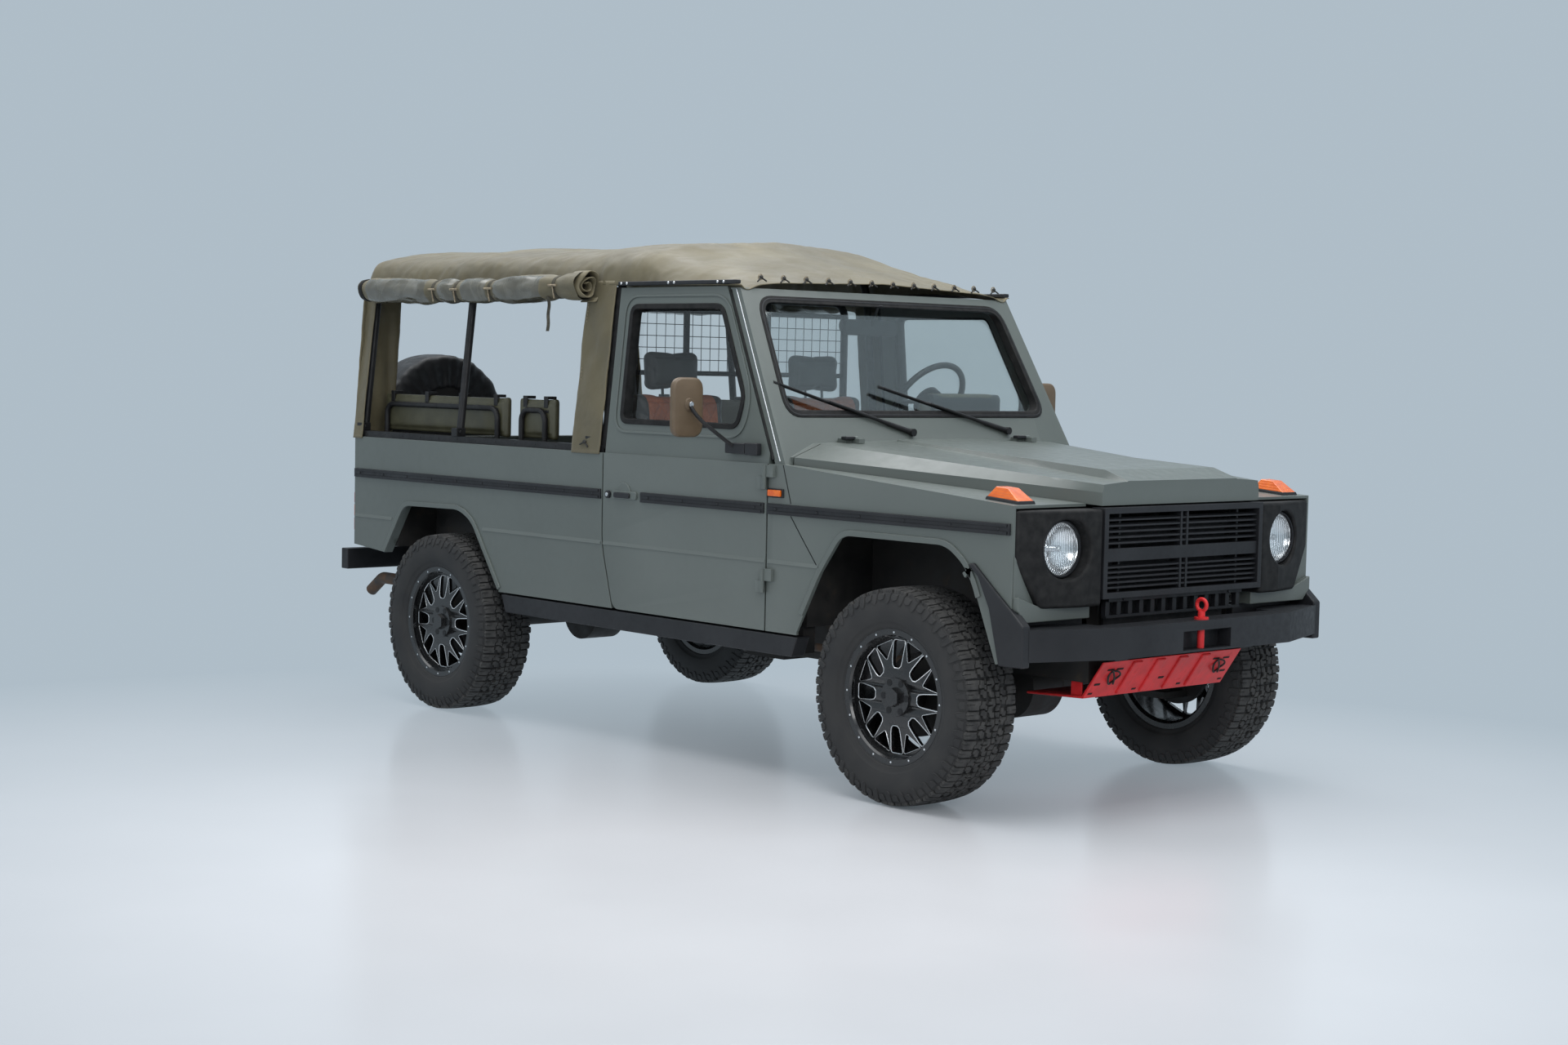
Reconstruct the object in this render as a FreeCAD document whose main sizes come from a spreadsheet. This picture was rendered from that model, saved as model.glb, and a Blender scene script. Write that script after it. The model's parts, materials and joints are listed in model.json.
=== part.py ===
import FreeCAD, Part
import math
import os
import Sketcher

# A long-wheelbase, soft-top 4x4 car with two doors, a half-height rear door and open rear sides.
# X points forward, Y to the car's left and Z up. The origin lies on the ground, midway along the car.

# Every measure is in millimetres, and each angle in degrees.
SIZES = {
    # The whole car
    "overall_length": 4580,
    "wheelbase": 2850,
    "front_overhang": 705,
    "body_width": 1676,
    "cab_lean": 6,
    "panel_gap": 8,
    "fit_gap": 0.3,
    "overrun": 30,
    "plate_thick": 8,
    # Heights along the body side
    "door_bottom_height": 555,
    "crease_height": 815,
    "belt_height": 1185,
    "header_height": 1850,
    "tail_corner_height": 683,
    "tail_panel_height": 661,
    # Wheels
    "track_width": 1530,
    "tyre_diameter": 780,
    "tyre_width": 270,
    "tread_width": 236,
    "tread_depth": 12,
    "tyre_wall": 14,
    "rim_flange_diameter": 492,
    "rim_seat_diameter": 457,
    "rim_width": 216,
    "rim_wall": 9,
    "rim_disc_thick": 22,
    "rim_disc_inset": 22,
    "rim_window_length": 62,
    "rim_window_width": 46,
    "hub_cap_diameter": 84,
    "hub_cap_depth": 26,
    # Axles, steering knuckles and springs
    "axle_tube_diameter": 84,
    "differential_diameter": 250,
    "differential_length": 170,
    "differential_side": 180,
    "kingpin_track": 1280,
    "kingpin_eye_diameter": 68,
    "knuckle_height": 230,
    "knuckle_plate_thick": 26,
    "knuckle_plate_width": 120,
    "spindle_diameter": 96,
    "brake_disc_diameter": 300,
    "brake_disc_thick": 20,
    "spring_diameter": 130,
    "spring_wire": 15,
    "spring_track": 940,
    "spring_turns": 5,
    "spring_seat": 12,
    # Frame, engine and driveline
    "frame_width": 780,
    "frame_rail_width": 70,
    "frame_rail_height": 120,
    "frame_bottom_height": 460,
    "frame_front_inset": 215,
    "frame_rear_inset": 330,
    "crossmember_width": 80,
    "engine_length": 800,
    "engine_width": 560,
    "engine_height": 460,
    "radiator_width": 700,
    "radiator_height": 340,
    "radiator_thick": 50,
    "gearbox_length": 860,
    "gearbox_width": 270,
    "gearbox_height": 125,
    "transfer_length": 230,
    "transfer_bottom_height": 340,
    "shaft_diameter": 62,
    "exhaust_diameter": 54,
    "exhaust_box_length": 280,
    "exhaust_box_diameter": 130,
    "exhaust_side": 250,
    "exhaust_low_height": 430,
    "exhaust_high_height": 500,
    "exhaust_tail_height": 528,
    "exhaust_tip_height": 462,
    "exhaust_tail_side": 745,
    "exhaust_bend": 60,
    # Tub
    "load_floor_height": 690,
    "floor_thick": 20,
    "bulkhead_setback": 580,
    "cab_length": 1335,
    "wheelhouse_width": 215,
    "wheelhouse_height": 940,
    "mat_thick": 4,
    "wheelhouse_front_run": 440,
    "wheelhouse_rear_run": 450,
    "inner_wing_width": 870,
    "inner_wing_bottom": 620,
    "tunnel_width": 340,
    "tunnel_height": 130,
    # Side panels and the wings
    "side_wall": 40,
    "tail_inset": 270,
    "tail_post_width": 198,
    "wing_wall": 10,
    "wing_nose_setback": 182,
    "wing_nose_rise": 16,
    "wing_drop_height": 676,
    # Doors
    "door_front_setback": 725,
    "door_length": 998,
    "door_foot_length": 923,
    "door_wall": 60,
    "door_frame_wall": 45,
    "door_top_height": 1860,
    "window_sill_height": 1310,
    "window_head_height": 1786,
    "window_rear_margin": 80,
    "window_top_front": 1076,
    "window_mid_front": 895,
    "window_mid_height": 1434,
    "window_low_front": 921,
    "window_corner": 45,
    "glass_thick": 6,
    "hinge_offset": 14,
    "hinge_diameter": 18,
    "hinge_height": 90,
    "hinge_low_height": 700,
    "hinge_high_height": 1090,
    "hinge_leaf": 40,
    # Windscreen
    "screen_base_setback": 640,
    "screen_head_setback": 995,
    "screen_frame_depth": 56,
    "screen_glass_inset": 34,
    "screen_sill_height": 1370,
    "screen_head_height": 1811,
    "screen_sill_width": 1452,
    "screen_top_width": 1356,
    "screen_corner": 70,
    "cowl_depth": 60,
    "cowl_drop": 70,
    # Bonnet
    "bonnet_front_setback": 128,
    "bonnet_rear_width": 1574,
    "bonnet_front_width": 892,
    "bonnet_rear_edge_height": 1168,
    "bonnet_rear_crown_height": 1272,
    "bonnet_hinge_track": 980,
    "bonnet_hinge_width": 60,
    "bonnet_lip_drop": 6,
    "bonnet_crown_rise": 84,
    "bonnet_top_rear_width": 524,
    "bonnet_top_front_width": 660,
    "bonnet_top_slope": 20,
    "bonnet_top_bend_reach": 106,
    "bonnet_top_rear_rise": 4,
    "bonnet_top_bend_rise": 26,
    "bonnet_corner_gap": 20,
    "bonnet_wall": 22,
    # Nose
    "grille_width": 904,
    "grille_bottom_height": 764,
    "grille_rise": 4,
    "grille_setback": 108,
    "grille_depth": 26,
    "grille_slot_height": 16,
    "grille_border": 24,
    "grille_rib_width": 8,
    "valance_width": 760,
    "valance_bottom_height": 694,
    "valance_setback": 150,
    "surround_width": 1655,
    "surround_bottom_height": 745,
    "surround_top_height": 1082,
    "surround_setback": 112,
    "surround_corner_setback": 176,
    "surround_depth": 70,
    "surround_chamfer": 110,
    "surround_cut_height": 160,
    "surround_cut_width": 105,
    "headlamp_track": 1230,
    "headlamp_height": 946,
    "headlamp_diameter": 184,
    "headlamp_depth": 44,
    "headlamp_recess": 206,
    "signal_length": 150,
    "signal_width": 86,
    "signal_height": 46,
    "signal_setback": 205,
    "signal_track": 1500,
    # Bumpers, skid plate and tow pin
    "bumper_top_height": 682,
    "bumper_bottom_height": 572,
    "bumper_depth": 96,
    "bumper_straight_width": 980,
    "bumper_sweep": 117,
    "bumper_width": 1634,
    "bumper_end_depth": 150,
    "bumper_bracket_width": 60,
    "tow_slot_width": 272,
    "tow_slot_height": 76,
    "tow_slot_depth": 60,
    "tow_pin_diameter": 26,
    "tow_pin_top_height": 712,
    "tow_eye_diameter": 56,
    "tow_eye_wire": 14,
    "skid_width": 786,
    "skid_top_setback": 142,
    "skid_top_height": 541,
    "skid_knee_setback": 235,
    "skid_knee_height": 403,
    "skid_rear_setback": 500,
    "skid_rear_height": 392,
    "skid_wall": 8,
    "skid_bracket_length": 50,
    "rear_bumper_length": 380,
    "rear_bumper_height": 96,
    "rear_bumper_bottom": 560,
    "rear_bumper_depth": 110,
    "sill_bottom_height": 470,
    "sill_wall": 60,
    "sill_rear_reach": 2425,
    "sill_front_reach": 540,
    "tail_lamp_width": 96,
    "tail_lamp_height": 190,
    "tail_lamp_depth": 26,
    "tail_lamp_bottom": 740,
    # Rear door and spare wheel
    "rear_door_width": 1264,
    "rear_door_wall": 45,
    "rear_door_bottom": 700,
    "rear_hinge_offset": 42,
    "rear_hinge_reach": 690,
    "spare_diameter": 700,
    "spare_width": 216,
    "spare_corner": 60,
    "spare_height": 1217,
    "spare_side": 290,
    "spare_boss_diameter": 170,
    # Soft top and its frame
    "rail_height": 28,
    "rail_width": 46,
    "hoop_tube": 34,
    "hoop_corner": 60,
    "mid_hoop_reach": 2798,
    "rear_hoop_inset": 35,
    "front_hoop_reach": 1830,
    "soft_top_wall": 8,
    "soft_top_edge_height": 1868,
    "soft_top_shoulder_rise": 150,
    "soft_top_crown_rise": 56,
    "soft_top_roll_height": 1889,
    "soft_top_tail_overhang": 8,
    "soft_top_brow_reach": 1640,
    "soft_top_front_reach": 990,
    "soft_top_front_height": 1892,
    "soft_top_lip_width": 1400,
    "front_strip_width": 186,
    "front_strip_gap": 26,
    "tail_strip_width": 66,
    "tail_curtain_width": 230,
    "strip_bottom_height": 1192,
    "roll_diameter": 126,
    "roll_height": 1868,
    "roll_width": 1638.6,
    # Inside
    "seat_width": 500,
    "seat_track": 816,
    "seat_base_height": 900,
    "cushion_thick": 110,
    "cushion_length": 500,
    "cushion_front_reach": 1260,
    "back_thick": 110,
    "back_top_height": 1440,
    "back_lean": 110,
    "headrest_width": 290,
    "headrest_height": 180,
    "headrest_thick": 90,
    "headrest_top_height": 1610,
    "seat_rail_width": 50,
    "seat_corner": 45,
    "dash_depth": 230,
    "dash_bottom_height": 1060,
    "dash_top_height": 1300,
    "dash_width": 1440,
    "binnacle_width": 400,
    "binnacle_top_height": 1450,
    "steering_side": 370,
    "steering_height": 1415,
    "steering_reach": 1072,
    "steering_wheel_diameter": 390,
    "steering_rim": 26,
    "steering_lean": 32,
    "steering_column": 46,
    "divider_reach": 1935,
    "divider_tube": 34,
    "divider_bar": 26,
    "divider_top_drop": 203,
    "divider_width": 1400,
    "divider_bar_drop": 60,
    "bench_back_thick": 44,
    "bench_back_bottom": 1205,
    "bench_back_top": 1400,
    "bench_track": 1330,
    "bench_tail_gap": 30,
    "bench_gap": 60,
    "bench_seat_thick": 60,
    "bench_seat_width": 370,
    "bench_tube": 24,
    "bench_corner": 26,
    # Mirrors
    "mirror_reach": 995,
    "mirror_side": 1010,
    "mirror_height": 1388,
    "mirror_width": 150,
    "mirror_tall": 226,
    "mirror_thick": 28,
    "mirror_corner": 42,
    "mirror_arm": 16,
    "mirror_foot_length": 190,
    "mirror_foot_height": 44,
    "mirror_foot_depth": 26,
    "mirror_foot_reach": 770,
    "mirror_foot_level": 1236,
}

# Wheel arch corners from the axle: forward and up, as shares of the tyre's radius
FRONT_ARCH_SHARES = (
    (-1.395, 0.45),
    (-1.07, 1.05),
    (-0.79, 1.42),
    (0.55, 1.42),
    (0.77, 1.27),
    (0.87, 1.13),
    (1.17, 0.42),
)
REAR_ARCH_SHARES = (
    (-1.256, 0.695),
    (-0.85, 1.272),
    (0.264, 1.29),
    (0.513, 1.174),
    (1.038, 0.446),
)
# How far below the tyre's top the arch cuts run on, as a share of the tyre's radius
ARCH_DROP_SHARE = 0.8
# The bonnet's lip, crease and flat top across its half width, each with its share of the rise
BONNET_REAR_SHARES = ((1, 0.42), (0.823, 0.9), (0.33, 0.97))
BONNET_FRONT_SHARES = ((1, 0.55), (0.985, 0.87), (0.73, 0.97))
# Where the soft top's shoulder bends, across its half width
SHOULDER_SHARES = (0.97, 0.86)
# How far from the roof's shoulder to its crown the bars behind the seats take their height
DIVIDER_CROWN_SHARE = 0.45
# Where each bench starts and ends on its way from the tail to the bars behind the seats
BENCH_SHARES = ((0, 0.61), (0.646, 0.823))
# The frame's crossmembers, along its length from the rear
CROSSMEMBER_SHARES = (0, 0.3, 0.46, 0.78, 1)
# Rim windows
RIM_WINDOWS = 8
# Slots in each half of the grille and ribs across it
GRILLE_SLOTS = 10
GRILLE_RIBS = 3
FULL_TURN = 360


class Size:
    """A measure with the formula that ties it to the sheet."""

    def __init__(self, value, formula):
        self.value = value
        self.formula = formula

    def join(self, other, sign, value):
        return Size(value, "(" + self.formula + " " + sign + " " + as_size(other).formula + ")")

    def __add__(self, other):
        return self.join(other, "+", self.value + as_size(other).value)

    def __sub__(self, other):
        return self.join(other, "-", self.value - as_size(other).value)

    def __mul__(self, other):
        return self.join(other, "*", self.value * as_size(other).value)

    def __truediv__(self, other):
        return self.join(other, "/", self.value / as_size(other).value)

    def __neg__(self):
        return Size(-self.value, "(0 - " + self.formula + ")")


def as_size(number):
    if isinstance(number, Size):
        return number
    return Size(number, repr(number))


class Measures:
    """Reads a named size from the sheet."""

    def __getattr__(self, name):
        return Size(SIZES[name], "sizes." + name)


def make_sheet(doc):
    sheet = doc.addObject("Spreadsheet::Sheet", "sizes")
    for row, (name, value) in enumerate(SIZES.items(), start=1):
        sheet.set("A" + str(row), name)
        sheet.set("B" + str(row), str(value))
        sheet.setAlias("B" + str(row), name)
    doc.recompute()
    return sheet


m = Measures()
doc = FreeCAD.newDocument("soft_top_car")
sheet = make_sheet(doc)
nodes = []

# Places that many pieces share
front_axle = m.overall_length / 2 - m.front_overhang
rear_axle = front_axle - m.wheelbase
axle_height = m.tyre_diameter / 2
tyre_radius = m.tyre_diameter / 2
body_side = m.body_width / 2
inner_side = body_side - m.side_wall
tail = m.tail_inset - m.overall_length / 2
door_front = front_axle - m.door_front_setback
door_rear = door_front - m.door_length
door_foot = door_front - m.door_foot_length
panel_front = door_rear - m.panel_gap
wing_rear = door_front + m.panel_gap
wing_nose = m.overall_length / 2 - m.wing_nose_setback
screen_base = front_axle - m.screen_base_setback
screen_head = front_axle - m.screen_head_setback
bonnet_rear = screen_base + m.panel_gap
bulkhead = front_axle - m.bulkhead_setback
nose = m.overall_length / 2
# The soft top's shoulder above its lower edge, and its crown above the shoulder
soft_top_shoulder = m.soft_top_edge_height + m.soft_top_shoulder_rise
soft_top_crown = soft_top_shoulder + m.soft_top_crown_rise
frame_top = m.frame_bottom_height + m.frame_rail_height
wing_nose_height = m.surround_top_height + m.wing_nose_rise
bonnet_edge_height = wing_nose_height - m.bonnet_lip_drop
bonnet_crown_height = bonnet_edge_height + m.bonnet_crown_rise
divider_place = front_axle - m.divider_reach
cab_half = body_side - m.door_wall - m.panel_gap
load_deck = m.load_floor_height + m.floor_thick
bench_frame_side = m.bench_track / 2 + m.bench_back_thick + m.bench_tube / 2
bench_leg_side = bench_frame_side - m.bench_seat_width + m.bench_tube


def plane_of(body, role):
    for feature in body.Origin.OriginFeatures:
        if feature.Role == role:
            return feature
    raise ValueError("no " + role)


def corner_arc(before, corner, after, radius):
    """The two tangent points and the centre of a rounded corner."""
    to_before = (before - corner).normalize()
    to_after = (after - corner).normalize()
    half = to_before.getAngle(to_after) / 2
    run = radius / math.tan(half)
    centre = corner + (to_before + to_after).normalize() * (radius / math.sin(half))
    return corner + to_before * run, corner + to_after * run, centre


def draw_outline(sketch, corners):
    """Draws a closed outline. A corner is across and up, with a radius where it is rounded."""
    count = len(corners)
    points = [FreeCAD.Vector(as_size(c[0]).value, as_size(c[1]).value, 0) for c in corners]
    starts = list(points)
    ends = list(points)
    arcs = {}
    for i, corner in enumerate(corners):
        if len(corner) == 3:
            radius = as_size(corner[2]).value
            first, last, centre = corner_arc(points[i - 1], points[i], points[(i + 1) % count], radius)
            ends[i] = first
            starts[i] = last
            turn = (points[i] - points[i - 1]).cross(points[(i + 1) % count] - points[i]).z
            begin, finish = (first, last) if turn > 0 else (last, first)
            angles = [math.atan2(p.y - centre.y, p.x - centre.x) for p in (begin, finish)]
            circle = Part.Circle(centre, FreeCAD.Vector(0, 0, 1), radius)
            arcs[i] = (Part.ArcOfCircle(circle, angles[0], angles[1]), turn > 0)
    lines = [Part.LineSegment(starts[i], ends[(i + 1) % count]) for i in range(count)]
    sketch.addGeometry(lines, False)
    arc_ids = {i: sketch.addGeometry(arc, False) for i, (arc, turn) in arcs.items()}
    marks = {i: sketch.addGeometry(Part.Point(points[i]), True) for i in arcs}
    rules = []
    bound = []
    for i in range(count):
        arriving = (i - 1) % count
        if i in arcs:
            entry, leave = (1, 2) if arcs[i][1] else (2, 1)
            rules.append(Sketcher.Constraint("Tangent", arriving, 2, arc_ids[i], entry))
            rules.append(Sketcher.Constraint("Tangent", i, 1, arc_ids[i], leave))
            rules.append(Sketcher.Constraint("PointOnObject", marks[i], 1, arriving))
            rules.append(Sketcher.Constraint("PointOnObject", marks[i], 1, i))
            held = marks[i]
            bound.append((len(rules), as_size(corners[i][2])))
            rules.append(Sketcher.Constraint("Radius", arc_ids[i], bound[-1][1].value))
        else:
            rules.append(Sketcher.Constraint("Coincident", arriving, 2, i, 1))
            held = i
        for kind, place in (("DistanceX", corners[i][0]), ("DistanceY", corners[i][1])):
            place = as_size(place)
            bound.append((len(rules), place))
            rules.append(Sketcher.Constraint(kind, -1, 1, held, 1, place.value))
    sketch.addConstraint(rules)
    for index, place in bound:
        sketch.setExpression("Constraints[" + str(index) + "]", place.formula)


def draw_circle(sketch, radius):
    """Draws a circle about the sketch's own origin."""
    radius = as_size(radius)
    sketch.addGeometry(Part.Circle(FreeCAD.Vector(0, 0, 0), FreeCAD.Vector(0, 0, 1), radius.value), False)
    sketch.addConstraint(Sketcher.Constraint("Coincident", -1, 1, 0, 3))
    sketch.addConstraint(Sketcher.Constraint("Radius", 0, radius.value))
    sketch.setExpression("Constraints[1]", radius.formula)


def rectangle(low, high, bottom, top):
    return ((low, bottom), (high, bottom), (high, top), (low, top))


class Piece:
    """A body built of pads, pockets and revolutions along the car's own axes."""

    PLANES = {"X": "YZ_Plane", "Y": "XZ_Plane", "Z": "XY_Plane"}

    def __init__(self, label):
        self.body = doc.addObject("PartDesign::Body", label)
        self.body.Label = label
        self.body.AllowCompound = True
        self.label = label
        self.features = []
        nodes.append(self.body)

    def sketch(self, axis, offset, at=(0, 0), lean=0):
        name = self.label + "_sketch"
        sketch = self.body.newObject("Sketcher::SketchObject", name)
        sketch.AttachmentSupport = [(plane_of(self.body, self.PLANES[axis]), "")]
        sketch.MapMode = "FlatFace"
        places = [as_size(place) for place in (at[0], at[1], offset)]
        base = FreeCAD.Vector(*[place.value for place in places])
        lean = as_size(lean)
        turn = FreeCAD.Rotation(FreeCAD.Vector(1, 0, 0), lean.value)
        sketch.AttachmentOffset = FreeCAD.Placement(base, turn)
        for side, place in zip("xyz", places):
            sketch.setExpression("AttachmentOffset.Base." + side, place.formula)
        if lean.value:
            sketch.setExpression("AttachmentOffset.Rotation.Angle", lean.formula)
        return sketch

    def shaped(self, kind, axis, low, high, draw, at=(0, 0), lean=0):
        low, high = as_size(low), as_size(high)
        offset = -high if axis == "Y" else low
        sketch = self.sketch(axis, offset, at, lean)
        draw(sketch)
        feature = self.body.newObject("PartDesign::" + kind, self.label + "_" + kind.lower())
        feature.Profile = sketch
        feature.setExpression("Length", (high - low).formula)
        feature.Reversed = kind == "Pocket"
        self.features.append(feature)
        return feature

    def pad(self, axis, corners, low, high, at=(0, 0), lean=0):
        return self.shaped("Pad", axis, low, high, lambda sketch: draw_outline(sketch, corners), at, lean)

    def pocket(self, axis, corners, low, high, at=(0, 0), lean=0):
        return self.shaped("Pocket", axis, low, high, lambda sketch: draw_outline(sketch, corners), at, lean)

    def rod(self, axis, at, radius, low, high):
        return self.shaped("Pad", axis, low, high, lambda sketch: draw_circle(sketch, radius), at)

    def bore(self, axis, at, radius, low, high):
        return self.shaped("Pocket", axis, low, high, lambda sketch: draw_circle(sketch, radius), at)

    def block(self, along, across, up):
        return self.pad("Z", rectangle(along[0], along[1], across[0], across[1]), up[0], up[1])

    def spin(self, corners, line, axis, at, offset, kind="Revolution"):
        """Turns an outline about the sketch's own H or V line, set down at one place."""
        sketch = self.sketch(axis, offset, at)
        draw_outline(sketch, corners)
        feature = self.body.newObject("PartDesign::" + kind, self.label + "_" + kind.lower())
        feature.Profile = sketch
        feature.ReferenceAxis = (sketch, [line + "_Axis"])
        self.features.append(feature)
        return feature

    def loft(self, sections, kind="AdditiveLoft"):
        """Joins outlines across the car, each at its place along it."""
        sketches = []
        for place, corners in sections:
            sketch = self.sketch("X", place)
            draw_outline(sketch, corners)
            sketches.append(sketch)
        feature = self.body.newObject("PartDesign::" + kind, self.label + "_" + kind.lower())
        feature.Profile = sketches[0]
        feature.Sections = sketches[1:]
        feature.Ruled = True
        self.features.append(feature)
        return feature

    def mirror(self):
        """Repeats all that the body has so far on the car's other side."""
        feature = self.body.newObject("PartDesign::Mirrored", self.label + "_mirrored")
        feature.Originals = list(self.features)
        feature.MirrorPlane = (plane_of(self.body, "XZ_Plane"), [""])
        self.body.Tip = feature
        return feature

    def ring(self, originals, axis, count):
        feature = self.body.newObject("PartDesign::PolarPattern", self.label + "_ring")
        feature.Originals = originals
        feature.Axis = axis
        feature.Angle = FULL_TURN
        feature.Occurrences = count
        self.body.Tip = feature
        return feature


def across(side, inner, outer):
    """The low and high places of a slab on one side of the car, side being -1 or 1."""
    if side > 0:
        return inner, outer
    return -outer, -inner


def tube_path(points, bend):
    """A wire of straight runs with tangent arcs at its inner corners."""
    edges = []
    start = points[0]
    for before, corner, after in zip(points, points[1:], points[2:]):
        first, last, centre = corner_arc(before, corner, after, bend)
        middle = centre + (corner - centre).normalize() * bend
        edges.append(Part.LineSegment(start, first).toShape())
        edges.append(Part.Arc(first, middle, last).toShape())
        start = last
    edges.append(Part.LineSegment(start, points[-1]).toShape())
    return Part.Wire(edges)


def tube(points, diameter, bend):
    """A round bar along a bent path."""
    path = tube_path(points, bend)
    direction = points[1] - points[0]
    circle = Part.Circle(points[0], direction, diameter / 2)
    return path.makePipeShell([Part.Wire([circle.toShape()])], True, False)


def place(x, y, z):
    return FreeCAD.Vector(as_size(x).value, as_size(y).value, as_size(z).value)


def mirrored(shape):
    return shape.mirror(FreeCAD.Vector(0, 0, 0), FreeCAD.Vector(0, 1, 0))


def formed(label, shapes):
    """A sub-part made of bent bars, whose shape is worked out here from the sheet's sizes."""
    feature = doc.addObject("Part::Feature", label)
    feature.Label = label
    shape = shapes[0]
    if len(shapes) > 1:
        shape = shapes[0].fuse(shapes[1:])
    feature.Shape = shape
    feature.Placement = FreeCAD.Placement()
    nodes.append(feature)
    return feature


def arch_cut(axle, shares):
    """The outline that opens a wheel arch, run on below the panel's edge."""
    corners = [(axle + tyre_radius * x, axle_height + tyre_radius * z) for x, z in shares]
    low = axle_height - tyre_radius * ARCH_DROP_SHARE
    return [(corners[0][0], low)] + corners + [(corners[-1][0], low)]


# Chassis


def chassis_frame():
    piece = Piece("chassis_frame")
    front = nose - m.frame_front_inset
    rear = m.frame_rear_inset - nose
    outer = m.frame_width / 2
    piece.block((rear, front), (outer - m.frame_rail_width, outer), (m.frame_bottom_height, frame_top))
    # Brackets over the front springs
    reach = m.spring_diameter / 2 + m.plate_thick
    piece.block((front_axle - reach, front_axle + reach), (outer, m.spring_track / 2 + reach),
                (frame_top - m.plate_thick * 2, frame_top))
    piece.mirror()
    for share in CROSSMEMBER_SHARES:
        low = rear + (front - rear - m.crossmember_width) * share
        piece.block((low, low + m.crossmember_width), (-outer, outer),
                    (m.frame_bottom_height + m.plate_thick, frame_top - m.plate_thick))
    return piece


def engine_block():
    piece = Piece("engine_block")
    bottom = frame_top - m.plate_thick
    rear = bulkhead + m.floor_thick + m.panel_gap
    half = m.engine_width / 2
    piece.block((rear, rear + m.engine_length), (-half, half), (bottom, bottom + m.engine_height))
    front = nose - m.frame_front_inset
    half = m.radiator_width / 2
    piece.block((front - m.radiator_thick, front), (-half, half), (bottom + m.plate_thick,
                bottom + m.plate_thick + m.radiator_height))
    return piece


def driveline():
    """The gearbox with its transfer case, and the two shafts that run from it to the axles."""
    piece = Piece("driveline")
    bottom = frame_top - m.plate_thick
    front = bulkhead + m.floor_thick + m.panel_gap
    half = m.gearbox_width / 2
    rear = front - m.gearbox_length
    piece.block((rear, front), (-half, half), (bottom, bottom + m.gearbox_height))
    side = m.differential_side
    low = rear - m.transfer_length / 2
    piece.block((low, low + m.transfer_length), (-side - m.shaft_diameter / 2, m.shaft_diameter),
                (m.transfer_bottom_height, bottom))
    radius = m.shaft_diameter / 2
    reach = m.differential_length + m.fit_gap
    piece.rod("X", (-side, axle_height), radius, low, front_axle - reach)
    piece.rod("X", (0, axle_height), radius, rear_axle + reach, low)
    return piece


def axle(label, centre, drive_side, toward, half_length):
    """A beam axle with its differential and a nose for the drive shaft."""
    piece = Piece(label)
    at = (centre, axle_height)
    piece.rod("Y", at, m.axle_tube_diameter / 2, -half_length, half_length)
    half = m.differential_length / 2
    piece.rod("Y", at, m.differential_diameter / 2, drive_side - half, drive_side + half)
    ends = (centre, centre + m.differential_length * toward)
    if toward < 0:
        ends = (ends[1], ends[0])
    piece.rod("X", (drive_side, axle_height), m.axle_tube_diameter / 2, ends[0], ends[1])
    return piece


def spring_seats(piece, centre):
    side = m.spring_track / 2
    for way in (-1, 1):
        piece.rod("Z", (centre, side * way), m.spring_diameter / 2, axle_height, axle_height
                  + m.axle_tube_diameter / 2 + m.spring_seat)


def front_axle_beam():
    kingpin = m.kingpin_track / 2
    piece = axle("front_axle", front_axle, -m.differential_side, -1, kingpin)
    spring_seats(piece, front_axle)
    eye = m.knuckle_height / 2 - m.knuckle_plate_thick - m.fit_gap
    for way in (-1, 1):
        piece.rod("Z", (front_axle, kingpin * way), m.kingpin_eye_diameter / 2, axle_height - eye, axle_height + eye)
    return piece


def rear_axle_beam():
    """The rear beam carries its brake discs and hubs itself."""
    hub_end = m.track_width / 2 + m.rim_width / 2 - m.rim_disc_inset - m.rim_disc_thick - m.fit_gap
    piece = axle("rear_axle", rear_axle, as_size(0), 1, hub_end)
    spring_seats(piece, rear_axle)
    inner = m.track_width / 2 - m.brake_disc_thick * 2
    for way in (-1, 1):
        low, high = across(way, inner, inner + m.brake_disc_thick)
        piece.rod("Y", (rear_axle, axle_height), m.brake_disc_diameter / 2, low, high)
        low, high = across(way, inner, hub_end)
        piece.rod("Y", (rear_axle, axle_height), m.spindle_diameter / 2, low, high)
    return piece


def springs():
    """Four coil springs, each from its seat on the axle to the frame or floor above it."""
    seat = axle_height + m.axle_tube_diameter / 2 + m.spring_seat
    wire = m.spring_wire.value
    coils = []
    for centre, top in ((front_axle, frame_top - m.plate_thick * 2), (rear_axle, m.load_floor_height)):
        low = seat.value + wire / 2
        height = top.value - wire / 2 - low
        pitch = height / m.spring_turns.value
        radius = (m.spring_diameter.value - wire) / 2
        helix = Part.makeHelix(pitch, height, radius)
        circle = Part.Circle(FreeCAD.Vector(radius, 0, 0), FreeCAD.Vector(0, 1, 0), wire / 2)
        coil = Part.Wire(helix.Edges).makePipeShell([Part.Wire([circle.toShape()])], True, True)
        coil.translate(FreeCAD.Vector(centre.value, m.spring_track.value / 2, low))
        coils += [coil, mirrored(coil)]
    feature = doc.addObject("Part::Feature", "springs")
    feature.Label = "springs"
    feature.Shape = Part.makeCompound(coils)
    feature.Placement = FreeCAD.Placement()
    nodes.append(feature)


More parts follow.
